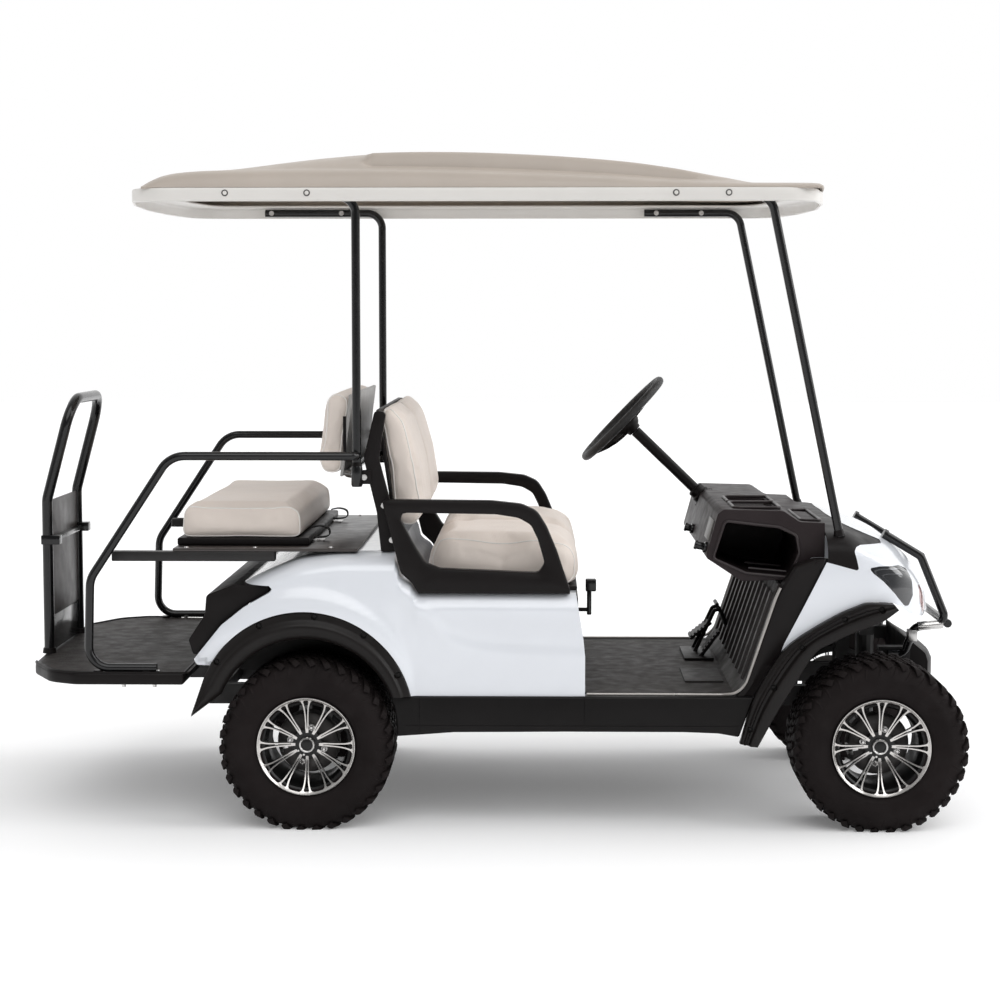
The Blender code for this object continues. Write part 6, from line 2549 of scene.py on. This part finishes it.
@dataclass
class Struts:
    """The bent roof struts, with collars at their ends."""

    radius: float = 0.0125

    def build(self) -> None:
        """Makes the rear and the front pair."""
        for end, route, radii in (
            ("rear", ((-0.402, 0.52, 1.0453), (-0.402, 0.52, 1.8165), (-0.79, 0.52, 1.8165)), 0.05),
            ("front", ((0.99, 0.513, 0.843), (0.783, 0.52, 1.8165), (0.47, 0.52, 1.8165)), 0.05),
        ):
            for side, sign in SIDES:
                bm = bmesh.new()
                line = [at(x, sign * y, z) for x, y, z in route]
                sweep(bm, rounded(line, radii, 12, closed=False), self.radius, 28)
                finished(
                    f"roof_strut_{end}_{side}_bar", bm, Palette.GLOSS_TUBE, stands_for=[f"{end}_strut_{side}"]
                )
        bm = bmesh.new()
        for _, sign in SIDES:
            drum(bm, at(0.99, sign * 0.513, 0.845), at(0.9862, sign * 0.5131, 0.862), 0.0165, 28, 0.0138)
            drum(bm, at(-0.402, sign * 0.52, 1.0455), at(-0.402, sign * 0.52, 1.056), 0.0152, 28, 0.0135)
            for x in (-0.78, 0.48):
                drum(
                    bm, at(x, sign * 0.52, 1.8165), at(x + math.copysign(0.012, x), sign * 0.52, 1.8165),
                    0.0118, 20,
                )
        finished("strut_collars", bm, Palette.MOULDED_BLACK)


# Seats


@dataclass
class Pad:
    """A stuffed vinyl pad, swollen by a short cloth run and then piped.

    Attributes:
        name: Name of the piece.
        node: The node that it stands for.
        body: The body that it rides on.
        outline: Flat outline of the pad, as (along, up) points.
        lobes: The pad's bodies across the cart, as (low y, high y).
        reach: Furthest that a point may move while it swells.
        fill: How tightly the pad is stuffed. It is not used.
        soft: Rounding of the pad's edges.
        piped: Whether piping runs round each side face.
        roll: Rounding towards the side faces.
    """

    name: str
    node: str
    body: str
    outline: tuple
    lobes: tuple
    reach: float = 0.012
    fill: float = 0.7
    soft: float = 0.022
    piped: bool = True
    roll: float = 0.022

    VOXEL = 0.006
    PRESSURE = 4.0
    STIFFNESS = 12.0
    CLOTH_FRAMES = 18
    FINE_ENOUGH = 24000

    def build(self) -> None:
        """Makes the pad with its seams."""
        bm = bmesh.new()
        for low, high in self.lobes:
            self._lobe(bm, low, high)
        pad = loose(self.name, bm)
        self._swell(pad)
        self._round_off(pad)
        dress(pad, Palette.SEAT_VINYL, self.body, [self.node], 60.0)
        if self.piped:
            self._piping(pad)

    def _lobe(self, bm: BMesh, low: float, high: float) -> None:
        """Adds one lobe: the outline drawn across with its ends tucked in.

        Args:
            bm: The mesh that is added to.
            low: Lowest y of the lobe.
            high: Highest y of the lobe.
        """
        outline = spaced(rounded(self.outline, self.soft, 6), 72, closed=True)
        middle = sum(outline, Vector((0.0, 0.0))) / len(outline)
        width, tuck = high - low, self.roll
        turns = [share * math.pi / 2 for share in (0.0, 0.08, 0.25, 0.5, 0.75, 1.0)]
        rings = [(low + tuck * (1 - math.cos(turn)), 1 - math.sin(turn)) for turn in turns]
        count = max(10, round(width / 0.03))
        places = rings + [
            (low + tuck + (width - 2 * tuck) * i / count, 0.0) for i in range(1, count)
        ] + [(2 * ((low + high) / 2) - y, inset) for y, inset in reversed(rings)]
        loops = []
        for y, inset in places:
            share = (y - low) / width
            crown = 1.0 - 0.012 * math.cos(share * math.tau) * (0.4 if inset == 0 else 0.0)
            ring = []
            for point in outline:
                away = point - middle
                shrink = tuck * inset / max(0.02, away.length)
                spot = middle + away * (1 - shrink) * crown
                ring.append(at(spot[0], y, spot[1]))
            loops.append(ring)
        skin(bm, loops)

    def _swell(self, pad: Object) -> None:
        """Evens the mesh, runs the cloth for a short while and keeps each point within reach.

        Args:
            pad: The pad.
        """
        remesh = pad.modifiers.new("even", "REMESH")
        remesh.mode = "VOXEL"
        remesh.voxel_size = self.VOXEL
        settle(pad)
        start = [vert.co.copy() for vert in pad.data.vertices]
        low = min(point.z for point in start)
        pinned = pad.vertex_groups.new(name="resting")
        pinned.add([i for i, point in enumerate(start) if point.z < low + 0.01], 1.0, "REPLACE")
        cloth = pad.modifiers.new("swell", "CLOTH")
        cloth.settings.quality = 4
        cloth.settings.use_pressure = True
        cloth.settings.uniform_pressure_force = self.PRESSURE
        cloth.settings.tension_stiffness = self.STIFFNESS
        cloth.settings.compression_stiffness = self.STIFFNESS
        cloth.settings.bending_stiffness = 0.6
        cloth.settings.vertex_group_mass = "resting"
        cloth.settings.effector_weights.gravity = 0.0
        cloth.collision_settings.use_collision = False
        scene = bpy.context.scene
        for step in range(1, self.CLOTH_FRAMES + 1):
            scene.frame_set(step)
        settle(pad)
        pad.vertex_groups.clear()
        scene.frame_set(1)
        for vert, place in zip(pad.data.vertices, start):
            move = vert.co - place
            if move.length > self.reach:
                vert.co = place + move.normalized() * self.reach

    def _round_off(self, pad: Object) -> None:
        """Smooths the pad and fits it inside the node that it stands for.

        Args:
            pad: The pad.
        """
        bm = opened(pad)
        for _ in range(4):
            bmesh.ops.smooth_vert(
                bm, verts=bm.verts, factor=0.5, use_axis_x=True, use_axis_y=True, use_axis_z=True,
            )
        low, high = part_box(self.node)
        found = [vert.co.copy() for vert in bm.verts]
        lowest = Vector([min(point[axis] for point in found) for axis in range(3)])
        highest = Vector([max(point[axis] for point in found) for axis in range(3)])
        margin = Vector((0.004, 0.003, 0.008))
        for vert in bm.verts:
            for axis in range(3):
                floor = low[axis] + (0.0004 if axis == 2 else -margin[axis])
                top = high[axis] + margin[axis]
                share = (vert.co[axis] - lowest[axis]) / (highest[axis] - lowest[axis])
                if lowest[axis] < floor or highest[axis] > top:
                    first = max(lowest[axis], floor)
                    vert.co[axis] = first + (min(highest[axis], top) - first) * share
                elif axis == 2:
                    vert.co[axis] += floor - lowest[axis]
        put_back(bm, pad)
        if len(pad.data.polygons) < self.FINE_ENOUGH:
            finer = pad.modifiers.new("finer", "SUBSURF")
            finer.levels = finer.render_levels = 1
            settle(pad)

    def _piping(self, pad: Object) -> None:
        """Lays a bead of piping round each side face, on the surface of the swollen pad.

        Args:
            pad: The pad.
        """
        bm = bmesh.new()
        path = rounded(self.outline, self.soft, 6)
        for low, high in self.lobes:
            for y in (low + self.roll * 0.35, high - self.roll * 0.35):
                line = []
                for point in spaced(path, 110, closed=True):
                    found, place, normal, _ = pad.closest_point_on_mesh(at(point[0], y, point[1]))
                    line.append(place + normal * 0.0006)
                line = [(line[i - 1] + line[i] * 2 + line[(i + 1) % len(line)]) / 4 for i in range(len(line))]
                line.append(line[0].copy())
                sweep(bm, line, 0.0021, 8)
        finished(f"{self.name}_piping", bm, Palette.SEAT_PIPING, self.body)


@dataclass
class FrontSeat:
    """The front bench: two cushions on a board and two back pads on a black panel."""

    half_width: float = 0.499
    lean: float = 0.15

    def panel_x(self, z: float) -> float:
        """Gives the front of the back frame at a height."""
        return -0.322 - (z - 0.93) * self.lean + 0.0134

    def build(self) -> None:
        """Makes the pads, the board and the panel."""
        cushion = (
            (-0.1985, 0.696), (-0.2, 0.79), (-0.18, 0.836), (0.12, 0.833), (0.225, 0.815), (0.242, 0.78),
            (0.2385, 0.696),
        )
        Pad(
            "front_cushion_pad", "front_seat_cushion", "front_seat", cushion,
            ((-self.half_width, -0.003), (0.003, self.half_width)), 0.014, 0.75, 0.034, roll=0.06,
        ).build()
        x = self.panel_x
        back = (
            (x(0.866) + 0.0115, 0.868), (x(1.205) + 0.0115, 1.21), (x(1.215) + 0.036, 1.228),
            (x(1.165) + 0.07, 1.18), (x(1.04) + 0.088, 1.05), (x(0.9) + 0.088, 0.9), (x(0.868) + 0.06, 0.864),
        )
        Pad(
            "front_back_pad", "front_backrest", "root", back, ((-0.469, -0.003), (0.003, 0.469)), 0.01, 0.75,
            0.03, roll=0.03,
        ).build()
        bm = bmesh.new()
        made = block(bm, at(-0.1995, -0.4995, 0.6824), at(0.2345, 0.4995, 0.6952))
        soften(bm, 0.0035, 2, verts=made)
        finished("front_seat_base_board", bm, Palette.MOULDED_BLACK, "front_seat", ["front_seat_board"])
        bm = bmesh.new()
        outline = [
            (x(0.8665), 0.8665), (x(1.2055), 1.2055), (x(1.2055) + 0.0098, 1.2055),
            (x(0.8665) + 0.0098, 0.8665),
        ]
        prism(bm, side_points(outline, -0.4745), Vector((0, 0.949, 0)))
        soften(bm, 0.003, 2)
        finished("front_back_board", bm, Palette.MOULDED_BLACK, stands_for=["front_backrest_panel"])


@dataclass
class RearSeat:
    """The rear bench with its hinged plate, its shell-backed rest and the pull strap."""

    def build(self) -> None:
        """Makes the pads, the boards, the deck and the strap."""
        cushion = (
            (-0.924, 0.8304), (-0.925, 0.9), (-0.915, 0.924), (-0.6, 0.924), (-0.57, 0.905), (-0.57, 0.8304),
        )
        Pad(
            "rear_cushion_pad", "rear_seat_cushion", "rear_seat", cushion, ((-0.449, 0.449),), 0.01, 0.75,
            0.018, roll=0.018,
        ).build()
        back = (
            (-0.459, 1.012), (-0.4315, 1.245), (-0.47, 1.26), (-0.494, 1.25), (-0.519, 1.05), (-0.512, 1.018),
        )
        Pad("rear_back_pad", "rear_backrest", "root", back, ((-0.439, 0.439),), 0.008, 0.75, 0.022).build()
        bm = bmesh.new()
        made = block(bm, at(-0.9345, -0.4595, 0.8069), at(-0.5485, 0.4595, 0.8297))
        soften(bm, 0.005, 3, verts=made)
        finished("rear_seat_base_board", bm, Palette.MOULDED_BLACK, "rear_seat", ["rear_seat_board"])
        self._shell()
        self._deck()
        self._strap()

    def _shell(self) -> None:
        """Makes the pale shell behind the back pad, with its dark slots."""
        outline = rounded(
            [(-0.4578, 1.0092), (-0.4477, 1.0092), (-0.4197, 1.2478), (-0.4298, 1.2478)],
            [0.002, 0.004, 0.004, 0.002], 3,
        )
        bm = bmesh.new()
        prism(bm, side_points(outline, -0.4495), Vector((0, 0.899, 0)))
        soften(bm, 0.002, 2, 50.0)
        shell = loose("rear_back_shell", bm)
        dress(shell, Palette.SHELL_GREY, stands_for=["rear_backrest_panel"])
        bm = bmesh.new()
        for _, sign in SIDES:
            block(bm, at(-0.4478, sign * 0.4497 - 0.0006, 1.075), at(-0.4385, sign * 0.4497 + 0.0006, 1.185))
        finished("rear_shell_slots", bm, Palette.MOULDED_BLACK)

    def _deck(self) -> None:
        """Makes the grey plate and the two bars that carry it."""
        bm = bmesh.new()
        made = block(bm, at(-0.937, -0.5295, 0.7967), at(-0.4005, 0.5295, 0.8064))
        soften(bm, 0.003, 2, verts=made)
        for _, sign in SIDES:
            low, high = sorted((sign * 0.4905, sign * 0.5295))
            made = block(bm, at(-1.1145, low, 0.7683), at(-0.6405, high, 0.7964))
            soften(bm, 0.003, 2, verts=made)
        deck = loose("rear_deck_plate", bm)
        for polygon in deck.data.polygons:
            polygon.material_index = 1 if polygon.center.z < 0.7966 else 0
        dress(deck, [Palette.DECK_GREY, Palette.FRAME_STEEL], stands_for=["rear_deck"])
        bm = bmesh.new()
        for _, sign in SIDES:
            for x in (-0.9, -0.7, -0.48):
                drum(bm, at(x, sign * 0.505, 0.8064), at(x, sign * 0.505, 0.8092), 0.0075, 20, 0.0055)
        for y in (-0.3, 0.3):
            sweep(bm, [at(-0.548, y - 0.045, 0.81), at(-0.548, y + 0.045, 0.81)], 0.0042, 14)
            block(bm, at(-0.548, y - 0.04, 0.8066), at(-0.52, y + 0.04, 0.8084))
        finished("rear_deck_fasteners", bm, Palette.BRIGHT_STEEL)

    def _strap(self) -> None:
        """Loops the black pull strap at the front of the rear cushion."""
        bm = bmesh.new()
        for y in (-0.3, 0.3):
            line = smooth_line(
                [
                    (-0.56, 0.82), (-0.538, 0.816), (-0.506, 0.822), (-0.506, 0.842), (-0.53, 0.85),
                    (-0.556, 0.846),
                ],
                28,
            )
            thick = []
            for index, point in enumerate(line):
                before, after = line[max(index - 1, 0)], line[min(index + 1, len(line) - 1)]
                away = (after - before).normalized()
                thick.append((point, Vector((-away[1], away[0])) * 0.0014))
            rings = []
            for point, side in thick:
                rings.append([
                    at((point + side * s)[0], y + across, (point + side * s)[1])
                    for s, across in ((-1, -0.016), (1, -0.016), (1, 0.016), (-1, 0.016))
                ])
            skin(bm, rings)
        finished("rear_seat_strap", bm, Palette.STRAP_BLACK, "rear_seat")


# Rear fittings


@dataclass
class RearStep:
    """The moulded rear step with its rounded corners and tread pads."""

    outline: tuple = ((-1.3965, 0.0), (-1.374, 0.4), (-1.3, 0.54), (-1.22, 0.5845), (-0.9005, 0.5845))
    low: float = 0.4152
    high: float = 0.4498

    def build(self) -> None:
        """Makes the step and its treads."""
        half = rounded(self.outline, [0, 0.1, 0.1, 0.06, 0], 8, closed=False)
        full = half + [(x, -y) for x, y in reversed(half[1:])]
        bm = bmesh.new()
        prism(bm, [at(x, y, self.low) for x, y in full], Vector((0, 0, self.high - self.low)))
        soften(bm, 0.008, 4, 50.0)
        finished("rear_step_moulding", bm, Palette.MOULDED_BLACK, stands_for=["rear_step"])
        bm = bmesh.new()
        lip = [at(x * 0.9985, y * 0.994, self.high + 0.0006) for x, y in full]
        sweep(bm, lip, 0.0034, 10)
        finished("rear_step_rolled_rim", bm, Palette.MOULDED_BLACK)
        bm = bmesh.new()
        inner = [(max(x, -1.375) + 0.014, y * 0.965) for x, y in full]
        prism(bm, [at(x, y, self.high - 0.001) for x, y in inner], Vector((0, 0, 0.0016)))
        finished("rear_step_tread", bm, Palette.STEP_TREAD)


@dataclass
class RearRails:
    """The grab rails beside the rear seat and the tall handle behind it."""

    radius: float = 0.0125
    rail_y: float = 0.566

    def build(self) -> None:
        """Makes both rails, the handle and its panel."""
        for side, sign in SIDES:
            y = sign * self.rail_y
            route = [
                at(-0.402, sign * 0.5331, 1.076), at(-0.402, y, 1.076), at(-0.935, y, 1.076),
                at(-1.17, y, 0.72), at(-1.178, y, 0.463), at(-0.98, y, 0.463),
            ]
            bm = bmesh.new()
            sweep(bm, rounded(route, [0, 0.02, 0.08, 0.08, 0.06, 0], 12, closed=False), self.radius, 28)
            finished(f"grab_rail_{side}_bar", bm, Palette.GLOSS_TUBE, stands_for=[f"grab_rail_{side}"])
        bm = bmesh.new()
        route = [
            at(-1.372, -0.211, 0.4504), at(-1.372, -0.211, 0.92), at(-1.29, -0.211, 1.225),
            at(-1.29, 0.211, 1.225), at(-1.372, 0.211, 0.92), at(-1.372, 0.211, 0.4504),
        ]
        sweep(bm, rounded(route, [0, 0.09, 0.09, 0.09, 0.09, 0], 12, closed=False), 0.016, 28)
        finished("rear_handle_bar", bm, Palette.GLOSS_TUBE, stands_for=["rear_handle"])
        bm = bmesh.new()
        for _, sign in SIDES:
            drum(bm, at(-1.372, sign * 0.211, 0.4503), at(-1.372, sign * 0.211, 0.466), 0.0215, 28, 0.019)
        for _, sign in SIDES:
            for x in (-1.15, -1.01):
                drum(bm, at(x, sign * self.rail_y, 0.45), at(x, sign * self.rail_y, 0.456), 0.014, 20)
        finished("rail_feet", bm, Palette.MOULDED_BLACK)
        self._panel()

    def _panel(self) -> None:
        """Makes the panel between the handle's tubes, its kick plate and the cross bracket."""
        bm = bmesh.new()
        ring = rounded([(-0.194, 0.5605), (0.194, 0.5605), (0.194, 0.915), (-0.194, 0.915)], 0.012, 6)
        prism(bm, [at(-1.3758, y, z) for y, z in ring], Vector((0.0074, 0, 0)))
        soften(bm, 0.0018, 2, 50.0)
        for z in (0.62, 0.7, 0.78, 0.86):
            sweep(bm, [at(-1.3757, -0.17, z), at(-1.3757, 0.17, z)], 0.0035, 8)
        finished("handle_panel_ribbed", bm, Palette.PANEL_BROWN, stands_for=["handle_panel"])
        bm = bmesh.new()
        made = block(bm, at(-1.3765, -0.1945, 0.453), at(-1.3675, 0.1945, 0.56))
        made += block(bm, at(-1.388, -0.212, 0.79), at(-1.35, 0.212, 0.804))
        for _, sign in SIDES:
            low, high = sorted((sign * 0.19, sign * 0.229))
            made += block(bm, at(-1.389, low, 0.784), at(-1.333, high, 0.812))
        soften(bm, 0.002, 2, verts=made)
        finished("handle_kick_plate", bm, Palette.GLOSS_TUBE)
        bm = bmesh.new()
        for _, sign in SIDES:
            for x in (-1.08, -0.99):
                drum(bm, at(x, sign * 0.553, 0.4498), at(x, sign * 0.553, 0.456), 0.0075, 6)
                drum(bm, at(x, sign * 0.553, 0.405), at(x, sign * 0.553, 0.415), 0.006, 12)
            sweep(bm, [at(-1.095, sign * 0.553, 0.452), at(-0.975, sign * 0.553, 0.452)], 0.0028, 8)
        finished("rail_fasteners", bm, Palette.BRIGHT_STEEL)


@dataclass
class Underside:
    """The finishes of the chassis, axles, knuckles and engine.

    Attributes:
        nodes: The frame's own objects by name.
    """

    nodes: dict[str, Object]

    def build(self) -> None:
        """Gives the steel below the body its paint."""
        plain = {
            "chassis_frame": Palette.FRAME_STEEL,
            "rear_axle": Palette.FRAME_STEEL,
            "front_axle": Palette.FRAME_STEEL,
            "knuckle_left": Palette.FRAME_STEEL,
            "knuckle_right": Palette.FRAME_STEEL,
            "engine": Palette.CAST_DRUM,
        }
        for node, finish in plain.items():
            obj = self.nodes[node]
            obj.data.materials.clear()
            obj.data.materials.append(finish.material())
            LOG.info("%s painted", node)


# Studio


@dataclass
class Studio:
    """The camera, the pale floor and the soft light.

    Attributes:
        place: Where the camera stands.
        yaw: Turn of the camera to the left of straight across the cart, in degrees.
        pitch: Tilt of the camera below the level, in degrees.
        lens: Focal length for a sensor 36 mm wide, in millimetres.
        floor_size: Width of the floor.
        low_light: Strength of the surround behind the camera.
        high_light: Strength of the surround above and behind the cart.
        key: Strength of the key light.
        front_key: Strength of the light from before the cart.
    """

    place: Vector = field(default_factory=lambda: Vector((0.1499, -6.7207, 1.4755)))
    yaw: float = 1.1017
    pitch: float = 4.8696
    lens: float = 77.7
    floor_size: float = 60.0
    low_light: float = 0.12
    high_light: float = 1.0
    key: float = 1.2
    front_key: float = 1.6

    def build(self) -> None:
        """Builds the whole studio."""
        self.camera()
        self.floor()
        self.world()
        self.lights()

    def camera(self) -> None:
        """Makes the scene's camera at the photograph's viewing angle."""
        data = bpy.data.cameras.new("camera")
        data.lens = self.lens
        data.sensor_width = 36.0
        camera = bpy.data.objects.new("camera", data)
        camera.location = self.place
        camera.rotation_euler = (math.radians(90.0 - self.pitch), 0.0, math.radians(self.yaw))
        bpy.context.scene.collection.objects.link(camera)
        bpy.context.scene.camera = camera

    def floor(self) -> None:
        """Lays the pale floor under the tyres."""
        bm = bmesh.new()
        bmesh.ops.create_grid(bm, x_segments=2, y_segments=2, size=self.floor_size / 2)
        floor = loose("studio_floor", bm, turn_out=False)
        made = bpy.data.materials.new("studio_floor")
        made.use_nodes = True
        fill(made.node_tree, made.node_tree.nodes["Principled BSDF"], {
            "Base Color": (0.93, 0.93, 0.935, 1.0),
            "Roughness": 0.65,
            "Specular IOR Level": 0.0,
            "Emission Color": (1.0, 1.0, 1.0, 1.0),
            "Emission Strength": 0.12,
        })
        floor.data.materials.append(made)

    def world(self) -> None:
        """Lights the cart from a surround that is dim on the camera's side, before a plain white ground."""
        world = bpy.data.worlds.new("studio")
        world.use_nodes = True
        tree = world.node_tree
        aim = {0: add_node(tree, "TexCoord").outputs["Generated"], 1: (0.0, 1.0, -0.35)}
        level = add_node(tree, "MapRange", {
            "Value": add_node(tree, "VectorMath", aim, operation="DOT_PRODUCT").outputs["Value"],
            "From Min": -1.0, "From Max": 0.25, "To Min": self.low_light, "To Max": self.high_light,
        })
        back, plain = tree.nodes["Background"], add_node(tree, "Background")
        fill(tree, back, {"Strength": level.outputs["Result"]})
        for node in (back, plain):
            fill(tree, node, {"Color": (1.0, 1.0, 1.0, 1.0)})
        mix = add_node(tree, "MixShader", {
            "Fac": add_node(tree, "LightPath").outputs["Is Camera Ray"],
            1: back.outputs["Background"], 2: plain.outputs["Background"],
        })
        fill(tree, tree.nodes["World Output"], {"Surface": mix.outputs["Shader"]})
        bpy.context.scene.world = world
        bpy.context.scene.view_settings.view_transform = "Standard"

    def lights(self) -> None:
        """Adds two broad soft suns: the key on the camera's side and one from before the cart."""
        for name, energy, place, turn in (
            ("key", self.key, (0.0, -3.0, 5.0), (42.0, 0.0, 8.0)),
            ("front_key", self.front_key, (4.0, 0.0, 4.0), (0.0, 58.0, 0.0)),
        ):
            data = bpy.data.lights.new(name, "SUN")
            data.energy = energy
            data.angle = math.radians(50)
            lamp = bpy.data.objects.new(name, data)
            lamp.location = place
            lamp.rotation_euler = tuple(math.radians(angle) for angle in turn)
            bpy.context.scene.collection.objects.link(lamp)


def clear_scene() -> None:
    """Removes what the startup scene holds."""
    for obj in list(bpy.data.objects):
        bpy.data.objects.remove(obj, do_unlink=True)


# The whole cart


def build_cart(nodes: dict[str, Object]) -> None:
    """Builds every sub-assembly in order.

    Args:
        nodes: The frame's own objects by name.
    """
    for end in ENDS:
        for side, _ in SIDES:
            Wheel(end, side).build()
    for piece in (
        RearBody(), RearTail(), Hood(), Bumper(), BrushGuard(), Floor(), SeatBase(), Dash(), Steering(),
        Pedals(),
    ):
        piece.build()
    for side, sign in SIDES:
        for kind in (WheelLip, FrontLip, Rocker, Armrest):
            kind(side, sign).build()
    for piece in (
        SeatBack(), FrontSeat(), RearSeat(), RearStep(), RearRails(), Struts(), Roof(), Underside(nodes),
    ):
        piece.build()


def main() -> None:
    """Builds every piece of the cart, then the studio."""
    logging.basicConfig(level=logging.INFO, format="%(name)s %(message)s")
    clear_scene()
    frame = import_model()
    build_cart(frame["nodes"])
    Studio().build()


if __name__ == "__main__":
    main()
